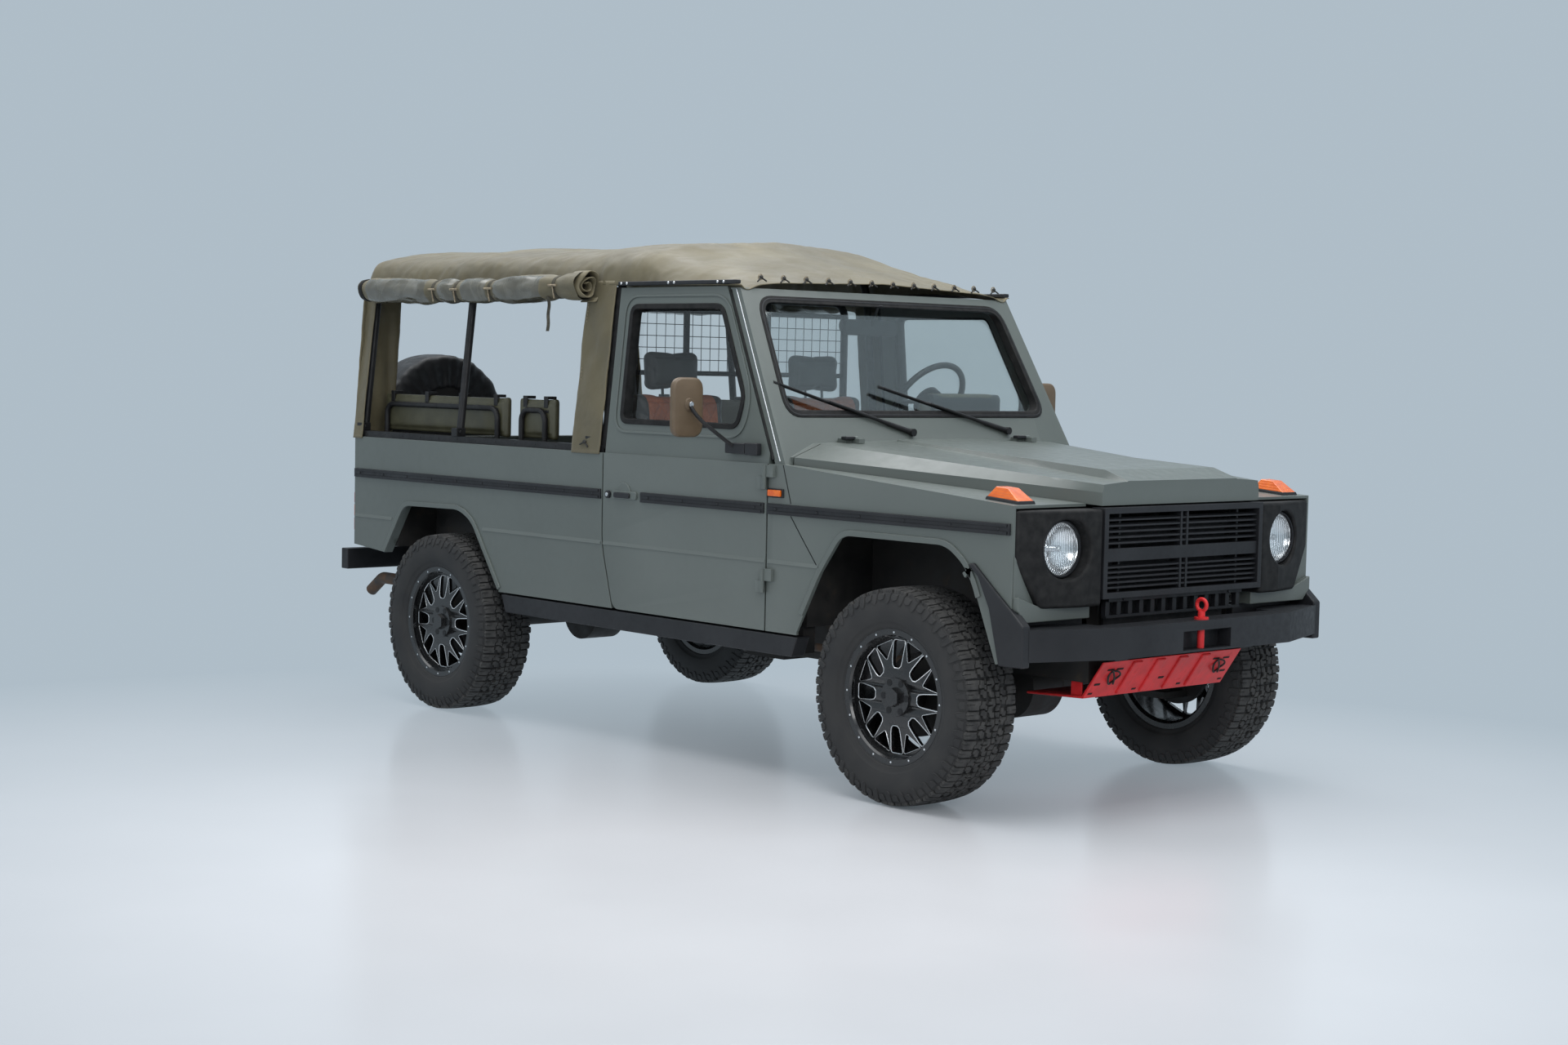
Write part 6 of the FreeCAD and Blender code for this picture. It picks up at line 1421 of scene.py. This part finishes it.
def wiper(name, pivot, tip):
    foot, end = on_screen(*pivot, 0.012), on_screen(*tip, 0.01)
    grip = foot.lerp(end, 0.62)
    elbow = foot.lerp(grip, 0.3)
    first, last = foot.lerp(end, 0.33) - ahead(0.016), end - ahead(0.012)
    claw = (end - foot).normalized() * 0.02
    claws = [first.lerp(last, share) + ahead(0.008) for share in (0.1, 0.36, 0.64, 0.9)]
    built(name, coated, (add_rod, on_screen(*pivot, -0.004), on_screen(*pivot, 0.024), 0.015, 20),
          (add_rod, foot, elbow, 0.011, 10, 0.009), (add_rod, elbow, grip + ahead(0.006), 0.008, 10, 0.005),
          (add_rod, first, last, 0.0065, 8),
          *((add_rod, spot - claw, spot + claw, 0.0045, 8) for spot in claws),
          (add_rod, claws[0], claws[-1] + ahead(0.001), 0.0045, 8),
          (add_rod, grip + ahead(0.006), first.lerp(last, 0.5), 0.005, 8), angle=40, slot="black_plastic")


wiper("wiper_right", (-0.105, 1.301), (-0.745, 1.49))
wiper("wiper_left", (0.453, 1.306), (-0.193, 1.478))
built("washer_jets", plastic, *((add_box, (0.938, y - 0.026, 1.276), (0.968, y + 0.026, 1.289))
                                for y in (-0.509, 0.462)), bevel=0.004, body="bonnet")
tube("cowl_stalk", [(0.9, -0.77, 1.22), (0.91, -0.775, 1.25), (0.875, -0.8, 1.3)], 0.0035, coated)
print("wipers done")

# %% [markdown]
# The edges of the cab are sealed with rubber beads. A black bead closes the gap between the door's frame and
# the windscreen pillar, with a bright line beside it. A black gutter runs over the door and carries three pairs
# of studs for the canvas.

# %% Pillar seals and gutters
GUTTER_HEIGHT = 1.872
for name, side in SIDES:
    for label, inset, heights, radius, finish in (("bead", 0.0585, (1.2, 1.5, 1.84), 0.0055, seal),
                                                  ("line", 0.024, (1.195, 1.5, 1.845), 0.0028, chrome)):
        spots = [(screen_at(z, inset), side_at(z, 0.0135) * side, z) for z in heights]
        tube("pillar_" + label + "_" + name, spots, radius, finish, kind="POLY")
    rim = side_at(GUTTER_HEIGHT)
    built("gutter_" + name, plastic,
          (add_block, side, (-0.14, 0.585), (rim - 0.02, rim + 0.012), (1.864, 1.88)), bevel=0.004)
    studs = [(x + step, (rim + 0.012) * side, GUTTER_HEIGHT)
             for x in (-0.1, 0.2, 0.5) for step in (-0.018, 0.018)]
    built("gutter_studs_" + name, chrome, *((add_ball, spot, 0.006, (1, 0.7, 1), 14) for spot in studs))
    shape = bmesh.new()
    add_slab(shape, box_line(-0.178, -0.143, 1.2, 1.86), "Y", *sided(side, SIDE - 0.034, SIDE - 0.012))
    lean_in(shape, side)
    finished("door_post_seal_" + name, shape, seal, 0.004)
print("pillar seals done")

# %% [markdown]
# The door mirrors are tall plates on a bent black arm. The plate's painted back faces forwards and the mirror
# glass backwards. The arm bolts to a round boss in the middle of the back and to a black foot on the door.

# %% Door mirrors
tan = mottled("tan_metal", (0.115, 0.08, 0.048), 0.42, "tan_metal", (14, 5),
              ((0.3, (0.098, 0.068, 0.04)), (0.7, (0.13, 0.092, 0.057))), ((40, 3), 0.36, 0.52),
              (("noise", (350, 2), 0.12, 0.0004),))
silver = mottled("mirror_glass", (0.8, 0.82, 0.83), 0.03, "glass", gloss=((20, 3), 0.02, 0.07),
                 sockets={"Metallic": 1.0})
MIRROR_OUT, MIRROR_HEIGHT = 1.01, 1.388
MIRROR_HALF, MIRROR_TALL = 0.075, 0.113
MIRROR_FOOT = (0.829, 0.853)
# Outlines, each a little smaller and further forward, give the back its dome
DOME = ((0.0, 0.579), (0.0, 0.594), (-0.006, 0.6), (-0.02, 0.6035))
for name, side in SIDES:
    body = name + "_door"
    y, z = MIRROR_OUT * side, MIRROR_HEIGHT
    outline = box_line(y - MIRROR_HALF, y + MIRROR_HALF, z - MIRROR_TALL, z + MIRROR_TALL)
    shape = bmesh.new()
    rows = [[shape.verts.new((x, a, b)) for a, b in soft_corners(grown(outline, reach), 0.05 + reach, 8)]
            for reach, x in DOME]
    skin(shape, rows)
    shape.faces.new(rows[0])
    shape.faces.new(rows[-1])
    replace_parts(finished("mirror_shell_" + name, shape, tan, 0.0015, angle=30, body=body), "mirror_" + name)
    built("mirror_pane_" + name, silver,
          (add_slab, soft_corners(grown(outline, -0.006), 0.042, 8), "X", 0.5765, 0.58), body=body)
    built("mirror_boss_" + name, tan, (add_rod, (0.602, y, z + 0.012), (0.61, y, z + 0.012), 0.026, 28, 0.022),
          bevel=0.0015, angle=30, body=body)
    built("mirror_nut_" + name, chrome, (add_rod, (0.608, y, z + 0.012), (0.619, y, z + 0.012), 0.0115, 6),
          bevel=0.0015, angle=30, body=body, slot="black_steel")
    arm = [(0.612, y, z + 0.006), (0.628, y - 0.01 * side, z - 0.03), (0.655, 0.93 * side, 1.3),
           (0.672, 0.86 * side, 1.25), (0.675, 0.842 * side, 1.24)]
    tube("mirror_arm_" + name, arm, 0.0075, coated, body)
    built("mirror_foot_" + name, plastic, (add_block, side, (0.63, 0.742), MIRROR_FOOT, (1.216, 1.256)),
          (add_block, side, (0.744, 0.815), MIRROR_FOOT, (1.213, 1.259)), bevel=0.004, segments=3, body=body)
print("door mirrors done")

# %% [markdown]
# The door's latch is a round lock and a pull cup in a painted housing, set between two rub strips. Thin dark
# seams show where the wing's panels meet.

# %% Handles and seams
LATCH_FACE = SIDE - 0.001
LOCK = (-0.1, 1.018)
for name, side in SIDES:
    body = name + "_door"
    cup = [(0.046 * math.cos(math.pi * k / 12), 1.02 + 0.05 * math.sin(math.pi * k / 12)) for k in range(13)]
    built("handle_housing_" + name, body_paint,
          (add_slab, soft_corners(box_line(-0.07, 0.086, 1.004, 1.036), 0.012), "Y",
           *sided(side, LATCH_FACE, LATCH_FACE + 0.011)),
          (add_slab, cup, "Y", *sided(side, LATCH_FACE, LATCH_FACE + 0.006)),
          bevel=0.003, segments=3, body=body)
    built("handle_paddle_" + name, plastic,
          (add_slab, soft_corners(box_line(-0.05, 0.05, 1.008, 1.03), 0.009), "Y",
           *sided(side, LATCH_FACE + 0.009, LATCH_FACE + 0.019)), bevel=0.003, segments=3, body=body)
    for label, finish, proud, radius, segments, bevel in (("ring", plastic, 0.012, 0.0155, 28, 0.002),
                                                          ("face", chrome, 0.015, 0.0085, 24, 0.0015)):
        start, end = ((LOCK[0], reach * side, LOCK[1]) for reach in (LATCH_FACE, LATCH_FACE + proud))
        built("lock_" + label + "_" + name, finish, (add_rod, start, end, radius, segments),
              bevel=bevel, body=body)
    depths = sided(side, SIDE - 0.002, SIDE + 0.0009)
    built("wing_seam_" + name, seal, (add_band, [(0.947, 1.183), (0.994, 1.04)], 0, 0.0045, *depths),
          (add_band, [(0.994, 0.994), (1.06, 0.915), (1.157, 0.802)], 0, 0.0045, *depths),
          bevel=0.0006, segments=1, slot="body_paint")
print("handles and seams done")

# %% [markdown]
# Seats are soft. A cushion starts as a plain foam block, a little too small, and its cover is then blown up
# with air pressure in a cloth simulation, as foam pushes a cover tight. The swelling is capped, so that it
# stays a few millimetres. Quilting and seams are pressed in afterwards. Each left-hand piece is copied across
# the car, since both sides are sewn alike.

# %% Leather and vinyl
ORANGE = (0.42, 0.11, 0.032)
DARK_HIDE = (0.022, 0.018, 0.015)
SEAT_MIDDLE, SEAT_PANEL = 0.408, 0.185


def hide(name, color, rough, slot, grain=420):
    """A leather-like finish: a slow drift in colour, a rubbed shine and a fine grain."""
    return mottled(name, color, rough, slot, (12, 5), ((0.3, shade(color, 0.78)), (0.7, shade(color, 1.18))),
                   ((9, 4), rough - 0.08, rough + 0.1), (("cells", (grain,), 0.22, 0.0006),))


leather = hide("seat_leather", ORANGE, 0.42, "seat_cover")
leather_tint = leather.shader.inputs["Base Color"].links[0].from_socket
across = leather.math("ABSOLUTE", leather.add("SeparateXYZ", {0: leather.place}).outputs["Y"], 0.0)
off_middle = leather.math("ABSOLUTE", leather.math("SUBTRACT", across, SEAT_MIDDLE), 0.0)
leather.color(leather.mix(leather.math("GREATER_THAN", off_middle, SEAT_PANEL), leather_tint, DARK_HIDE))
dark_hide = hide("dark_hide", DARK_HIDE, 0.5, "seat_cover")
olive_vinyl = hide("olive_vinyl", (0.07, 0.068, 0.04), 0.46, "bench_cover", 300)

# %% Padding helpers
CLOTH_FRAMES = 20
PRESSURE = 4.0


def block_mesh(name, outline, axis, low, high, round_by):
    """A foam block with rounded edges."""
    shape = bmesh.new()
    add_slab(shape, outline, axis, low, high)
    bmesh.ops.recalc_face_normals(shape, faces=shape.faces)
    bmesh.ops.bevel(shape, geom=shape.edges[:], offset=round_by, segments=4, affect="EDGES", profile=0.5)
    mesh = bpy.data.meshes.new(name)
    shape.to_mesh(mesh)
    shape.free()
    return mesh


def settled(piece):
    """A piece's mesh with its modifiers worked in."""
    graph = bpy.context.evaluated_depsgraph_get()
    return bpy.data.meshes.new_from_object(piece.evaluated_get(graph))


def blown_up(mesh, cell, cap):
    """The block's cover after the simulation, with no point moved by more than the cap."""
    piece = placed("foam", mesh)
    cutter = piece.modifiers.new("cells", "REMESH")
    cutter.mode = "VOXEL"
    cutter.voxel_size = cell
    start = settled(piece)
    piece.modifiers.remove(cutter)
    piece.data = start
    cloth = piece.modifiers.new("cover", "CLOTH")
    cloth.settings.quality = 4
    cloth.settings.mass = 0.3
    cloth.settings.use_pressure = True
    cloth.settings.uniform_pressure_force = PRESSURE
    cloth.settings.effector_weights.gravity = 0
    cloth.point_cache.frame_start = 1
    cloth.point_cache.frame_end = CLOTH_FRAMES
    for frame_number in range(1, CLOTH_FRAMES + 1):
        bpy.context.scene.frame_set(frame_number)
    result = settled(piece)
    bpy.context.scene.frame_set(1)
    for before, after in zip(start.vertices, result.vertices):
        step = after.co - before.co
        if step.length > cap:
            after.co = before.co + step.normalized() * cap
    bpy.data.objects.remove(piece)
    return result


def padding(label, mesh, cell, cap, press, finish, node):
    """A cushion on both sides of the car; press gives how deep a seam lies at one place."""
    result = blown_up(mesh, cell, cap)
    for name, side in reversed(SIDES):
        shape = bmesh.new()
        shape.from_mesh(result)
        shape.normal_update()
        moves = [(vert, vert.normal * -press(vert.co, vert.normal)) for vert in shape.verts]
        for vert, move in moves:
            vert.co += move
        for vert in shape.verts:
            vert.co.y *= side
        piece = finished(label + "_" + name, shape, finish, angle=180, sub=1)
        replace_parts(piece, node)


def groove(distance, width, depth):
    return depth * math.exp(-(distance / width) ** 2)


def quilted(u, v, half_u, low_v, high_v, pitch=0.062, depth=0.0065):
    """How deep the stitching lies in a diamond quilt, with a plain seam round it."""
    rim = min(half_u - abs(u), v - low_v, high_v - v)
    if rim < -0.012:
        return 0.0
    edge = groove(rim, 0.0055, 0.006)
    if rim < 0:
        return edge
    first, second = (u + v * 0.72) / pitch, (u - v * 0.72) / pitch
    near = min(abs(first - round(first)), abs(second - round(second))) * pitch * 0.8
    return max(edge, groove(near, 0.006, depth))


def quilt_press(facing, along, low, high):
    """A quilt on the side of a seat that faces one axis, between two places along another."""
    def press(spot, normal):
        if normal[facing] < 0.3:
            return 0.0
        return quilted(spot.y - SEAT_MIDDLE, spot[along], SEAT_PANEL, low, high)
    return press


def rim_press(first, low, high, second, lower, upper):
    """A plain seam a little inside the edge of a pad, which spans two of the axes."""
    def press(spot, normal):
        rim = min(spot[first] - low, high - spot[first], spot[second] - lower, upper - spot[second])
        return groove(rim - 0.022, 0.005, 0.004)
    return press


# %% Front seats
CUSHION = ((-0.165, 0.798), (0.315, 0.798), (0.318, 0.888), (0.28, 0.893), (-0.165, 0.883))
BACKREST = ((-0.168, 0.86), (-0.082, 0.86), (-0.17, 1.425), (-0.268, 1.425))
HEADREST = ((-0.27, 1.44), (-0.204, 1.44), (-0.21, 1.602), (-0.278, 1.602))
SEAT_SPAN, HEAD_SPAN = (0.168, 0.648), (0.27, 0.546)
for label, outline, press in (("seat_cushion", CUSHION, quilt_press(2, 0, -0.05, 0.265)),
                              ("seat_back", BACKREST, quilt_press(0, 2, 0.98, 1.395))):
    padding(label, block_mesh(label, outline, "Y", *SEAT_SPAN, 0.026), 0.006, 0.012, press, leather,
            "front_seats")
padding("seat_head", block_mesh("headrest", HEADREST, "Y", *HEAD_SPAN, 0.031), 0.005, 0.01,
        rim_press(1, *HEAD_SPAN, 2, 1.44, 1.602), dark_hide, "front_seats")
shape = bmesh.new()
for name, side in SIDES:
    for y in (0.358, 0.458):
        add_rod(shape, (-0.228, y * side, 1.38), (-0.236, y * side, 1.47), 0.006, 14)
    for y in (0.21, 0.58):
        add_block(shape, side, (-0.13, 0.27), (y, y + 0.026), (0.713, 0.735))
        add_block(shape, side, (-0.11, 0.25), (y, y + 0.026), (0.73, 0.8))
finished("seat_rails", shape, coated, 0.003)
print("front seats done")

# %% Rear benches
BENCH_SPANS = (("long", -1.987, -0.993), ("short", -0.927, -0.643))
BENCH_GAP = 0.006
CLIPS = (-1.9, -1.62, -1.35, -1.08, -0.86, -0.71)
# A pad's second axis and its span there, its thickness along a third, then rounding, cells and swelling
BENCH_PADS = (
    ("back", 2, (1.212, 1.392), (0.671, 0.703), "Y", 0.013, 0.0075, 0.006),
    ("seat", 1, (0.346, 0.702), (0.946, 0.992), "Z", 0.016, 0.009, 0.007),
)
for length, rear, front in BENCH_SPANS:
    span = (rear + BENCH_GAP, front - BENCH_GAP)
    for label, second, reach, thick, axis, round_by, cell, cap in BENCH_PADS:
        block = block_mesh(label, box_line(*span, *reach), axis, *thick, round_by)
        press = rim_press(0, *span, second, *reach)
        padding("bench_" + label + "_" + length, block, cell, cap, press, olive_vinyl, "rear_benches")
for name, side in SIDES:
    shape = bmesh.new()
    for x in CLIPS:
        add_block(shape, side, (x - 0.015, x + 0.015), (0.663, 0.711), (1.388, 1.401))
        add_block(shape, side, (x - 0.014, x + 0.014), (0.705, 0.711), (1.352, 1.39))
        add_block(shape, side, (x - 0.02, x + 0.02), (0.705, 0.711), (1.33, 1.342))
    finished("bench_clips_" + name, shape, coated, 0.002)
print("benches done")

# %% [markdown]
# A black fabric bag is pulled over the spare wheel. It is one sheet: a round face behind, a band round the
# tread, and a hem gathered by elastic on the front. It is a half section carried round the wheel's axle, and
# the hem's puckers are waves that grow towards the elastic.

# %% Spare wheel cover
SPARE = Vector((0, -0.29, 1.217))
bag_cloth = mottled("bag_cloth", (0.014, 0.0145, 0.016), 0.55, "canvas", (14, 5),
                    ((0.3, (0.009, 0.0095, 0.011)), (0.7, (0.021, 0.022, 0.025))), ((30, 3), 0.4, 0.66),
                    (("noise", (24, 5, EVEN, 0.5), 0.35, 0.004), ("wave", (500, "DIAGONAL"), 0.12, 0.0003)))
refinished(rubber, "spare_wheel")
# Along the car, then out from the spare wheel's axle
BAG = ((-2.2945, 0.004), (-2.2945, 0.16), (-2.2945, 0.29), (-2.288, 0.33), (-2.268, 0.353), (-2.235, 0.3555),
       (-2.13, 0.3555), (-2.098, 0.353), (-2.081, 0.338), (-2.0745, 0.31), (-2.0745, 0.2))
BAG_AROUND, BAG_ALONG = 160, 56
spare_body = body_of(NODES["spare_wheel"])[0]


def bag_place(share, turn):
    """A point of the bag: its share of the way from the back face to the hem, and its turn."""
    x, r = along_line(BAG, share)
    pull = max(0.0, (share - 0.55) / 0.45)
    fold = math.sin(turn * 31 + 2.2 * math.sin(turn * 5)) * 0.6 + math.sin(turn * 17 + 1.3) * 0.4
    soft = noise.noise(Vector((math.cos(turn) * 3, math.sin(turn) * 3, share * 4)))
    out = r + 0.0055 * pull * fold + 0.002 * soft
    # Only the part above the rear door is free to puff out
    free = min(1.0, max(0.0, (SPARE.z + r * math.sin(turn) - 1.2) / 0.04))
    x += free * pull * (0.009 + 0.007 * fold)
    return x, SPARE.y + out * math.cos(turn), SPARE.z + out * math.sin(turn)


shape = bmesh.new()
rows = [[shape.verts.new(bag_place(i / BAG_ALONG, turn)) for turn in turns_of(BAG_AROUND)]
        for i in range(BAG_ALONG + 1)]
skin(shape, rows)
shape.faces.new(rows[0])
bag = lined(finished("spare_cover", shape, bag_cloth, angle=60, body=spare_body), 0.0012)
print("spare wheel cover done")

# %% [markdown]
# The tail lamps are upright boxes with red and amber windows. The rear door has a latch.

# %% Tail
# The turn window's amber finish carries a painted glow.
TAIL_WINDOWS = (("stop", (0.872, 0.925), ruby), ("turn", (0.81, 0.868), amber_painted_glow), ("rear", (0.745, 0.806), ruby))
for name, side in SIDES:
    foot = built("tail_lamp_foot_" + name, plastic,
                 (add_block, side, (-2.03, -2.0205), (0.734, 0.83), (0.74, 0.93)), bevel=0.003, segments=3)
    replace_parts(foot, "tail_lamps")
    for label, heights, finish in TAIL_WINDOWS:
        built("tail_lens_" + label + "_" + name, finish,
              (add_block, side, (-2.046, -2.028), (0.739, 0.825), heights), bevel=0.005, segments=3)
built("tail_latch", coated, (add_box, (-2.092, 0.5, 0.99), (-2.072, 0.6, 1.03)),
      (add_rod, (-2.09, 0.53, 1.01), (-2.105, 0.53, 1.01), 0.012, 20),
      (add_box, (-2.108, 0.44, 1.0), (-2.1, 0.545, 1.02)), bevel=0.003, body=spare_body)
print("tail done")

# %% [markdown]
# Inside the cab there is a padded hood over the dials, gear levers with round knobs, a mirror under the header
# and a wire screen in the upper part of the frame behind the seats.

# %% Cab fittings
built("dial_hood", olive_vinyl, (add_slab, soft_corners(box_line(0.166, 0.574, 1.285, 1.453), 0.062), "X",
                                 0.647, 0.738), bevel=0.022, segments=4, angle=40, slot="seat_cover")
# Across the car, up, and the dial's radius
DIALS = ((0.29, 1.375, 0.046), (0.45, 1.375, 0.046), (0.37, 1.36, 0.024))
shape = bmesh.new()
for y, z, radius in DIALS:
    add_frame(shape, circle_line((y, z), radius + 0.004), circle_line((y, z), radius), "X", 0.64, 0.65)
    add_rod(shape, (0.644, y, z), (0.65, y, z), radius, 28)
for y in (-0.55, -0.3, 0.02, 0.62):
    add_box(shape, (0.648, y - 0.05, 1.2), (0.656, y + 0.05, 1.25))
finished("dials", shape, plastic, 0.0015)
# Each lever's foot, tip and knob
LEVERS = (((0.48, 0.02, 0.714), (0.4, 0.03, 1.02), (0.4, 0.03, 1.035)),
          ((0.36, 0.1, 0.714), (0.3, 0.1, 0.93), (0.3, 0.1, 0.945)))
levers, knobs = [], bmesh.new()
for start, end, knob in LEVERS:
    bend = (Vector(start) + Vector(end)) / 2 + ahead(0.02)
    levers.append(tube("lever", [start, bend, end], 0.006, coated))
    add_ball(knobs, knob, 0.024, (1, 1, 1.1), 20)
    add_rod(knobs, start, Vector(start) + Vector((-0.012, 0, 0.07)), 0.045, 20, 0.012)
joined("gear_levers", levers, coated)
finished("lever_knobs", knobs, seal, angle=60)
built("cab_mirror", plastic,
      (add_slab, soft_corners(box_line(-0.17, 0.126, 1.682, 1.746), 0.026), "X", 0.55, 0.57),
      (add_rod, (0.565, -0.022, 1.72), (0.603, -0.022, 1.806), 0.006, 12),
      (add_rod, (0.6, -0.022, 1.8), (0.606, -0.022, 1.812), 0.02, 20), bevel=0.004, segments=3)
built("cab_mirror_pane", silver,
      (add_slab, soft_corners(box_line(-0.163, 0.119, 1.688, 1.74), 0.022), "X", 0.5485, 0.5505))
WIRE, WIRE_GAP = 0.0016, 0.05
UPRIGHT_WIRES, LEVEL_WIRES = 29, 6
shape = bmesh.new()
for k in range(UPRIGHT_WIRES):
    y = -0.7 + WIRE_GAP * k
    add_rod(shape, (-0.351, y, 1.505), (-0.351, y, 1.785), WIRE, 6)
for k in range(LEVEL_WIRES):
    z = 1.52 + WIRE_GAP * k
    add_rod(shape, (-0.349, -0.7, z), (-0.349, 0.7, z), WIRE, 6)
finished("wire_screen", shape, coated, angle=60)
print("cab fittings done")

# %% [markdown]
# Small things hold the canvas down. Loops of cord are laced along the header, straps and rope toggles go round
# each rolled curtain, and screws and clamps fix the belt rail and the hoops.

# %% Laces along the header
HEADER_FRONT = 0.6
EYES, EYE_GAP = 12, 0.12
eyes, laces = bmesh.new(), bmesh.new()
for k in range(EYES):
    y = -0.66 + EYE_GAP * k
    add_ball(laces, (HEADER_FRONT + 0.004, y, 1.893), 0.0075, (0.7, 1.3, 1), 10)
    for aside, low in ((0.026, 1.878), (-0.02, 1.875)):
        add_rod(laces, (HEADER_FRONT + 0.003, y, 1.892), (HEADER_FRONT + 0.006, y + aside, low), 0.0032, 8)
    add_frame(eyes, circle_line((y, 1.893), 0.0125, 16), circle_line((y, 1.893), 0.009, 16), "X",
              HEADER_FRONT - 0.002, HEADER_FRONT + 0.0015)
finished("header_eyes", eyes, rope)
finished("header_laces", laces, black_cord, angle=60)

# %% Straps, stitches and clamps
STRAP_AROUND = 36
STRAP_LINKS = 13
SEAMS, STITCHES, STITCH_GAP = (-0.338, -0.18), 44, 0.0148
RAIL_SCREWS, RAIL_GAP = 12, 0.145


def add_roll_band(shape, side, start, end, low, high):
    """A band round a rolled curtain, between two places along it and two heights over its surface."""
    corners = ((start, low), (start, high), (end, high), (end, low))
    skin(shape, [roll_ring(shape, x, side, lift, STRAP_AROUND) for x, lift in corners], True)


def add_loose_strap(shape, side):
    start = roll_place(ROLL_STRAPS[-1] - 0.05, -0.9, side)
    section = box_line(-0.01, 0.01, -0.001, 0.001)
    rows = []
    for k in range(STRAP_LINKS):
        sway = Vector((0.006 * math.sin(k * 0.8), 0.004 * side * math.cos(k * 0.6), -0.012 * k))
        rows.append([shape.verts.new(start + sway + Vector((a, b, 0))) for a, b in section])
    skin(shape, rows)
    shape.faces.new(rows[0])
    shape.faces.new(rows[-1])


def add_stitches(shape, name, side):
    """Rows of stitches down a front strip, each laid on the cloth where it really hangs."""
    strip = bpy.data.objects["front_strip_" + name]
    for x in SEAMS:
        for k in range(STITCHES):
            low, high = (strip.closest_point_on_mesh((x, side_at(z, 0.003) * side, z))[1]
                         for z in (1.831 - STITCH_GAP * k, 1.84 - STITCH_GAP * k))
            proud = Vector((0, 0.0024 * side, 0))
            add_rod(shape, high + proud, low + proud, 0.0011, 5)


for name, side in SIDES:
    shape = bmesh.new()
    for x in ROLL_STRAPS:
        half = 0.016 if x == ROLL_STRAPS[0] else 0.011
        add_roll_band(shape, side, x - half, x + half, -0.003, 0.0025)
    finished("roll_straps_" + name, shape, webbing, 0.0015, 1, 40)
    shape = bmesh.new()
    for x in ROLL_STRAPS[1:]:
        spot = roll_place(x, 0, side, 0.006)
        add_rod(shape, spot - ahead(0.026), spot + ahead(0.026), 0.005, 10)
        add_rod(shape, spot, spot + Vector((0.01, -0.004 * side, -0.055)), 0.003, 8)
    finished("roll_toggles_" + name, shape, rope, angle=60)
    # A black ring closes the roll's tail end, and a loose strap hangs down beside its front one
    built("roll_ring_" + name, seal, (add_roll_band, side, ROLL_REAR + 0.012, ROLL_REAR + 0.034, -0.004, 0.005),
          bevel=0.002, angle=40, slot="canvas")
    built("loose_strap_" + name, webbing, (add_loose_strap, side), angle=60)
    # A rope is knotted at the front strip's foot
    built("strip_stitches_" + name, rope, (add_stitches, name, side), angle=60)
    foot = Vector((-0.262, (side_at(1.225) + 0.009) * side, 1.225))
    built("foot_knots_" + name, black_cord, (add_ball, foot, 0.009, (1.2, 0.8, 0.9)),
          (add_rod, foot, foot + Vector((-0.028, 0.002 * side, -0.012)), 0.0032, 8),
          (add_rod, foot, foot + Vector((0.024, 0.002 * side, -0.02)), 0.0032, 8), angle=60)
    built("rail_screws_" + name, coated, *((add_ball, (-1.93 + RAIL_GAP * k, (SIDE - 0.012) * side, 1.2), 0.005,
                                            (1, 0.6, 1), 10) for k in range(RAIL_SCREWS)))
    shape = bmesh.new()
    out = side_at(1.235, 0.02)
    bolt = (out + 0.006) * side
    for x in HOOPS:
        add_block(shape, side, (x - 0.022, x + 0.022), (out - 0.024, out + 0.024), (1.213, 1.25))
        add_rod(shape, (x + 0.02, bolt, 1.233), (x + 0.03, bolt, 1.233), 0.008, 6)
    finished("hoop_clamps_" + name, shape, coated, 0.003)
print("laces and straps done")
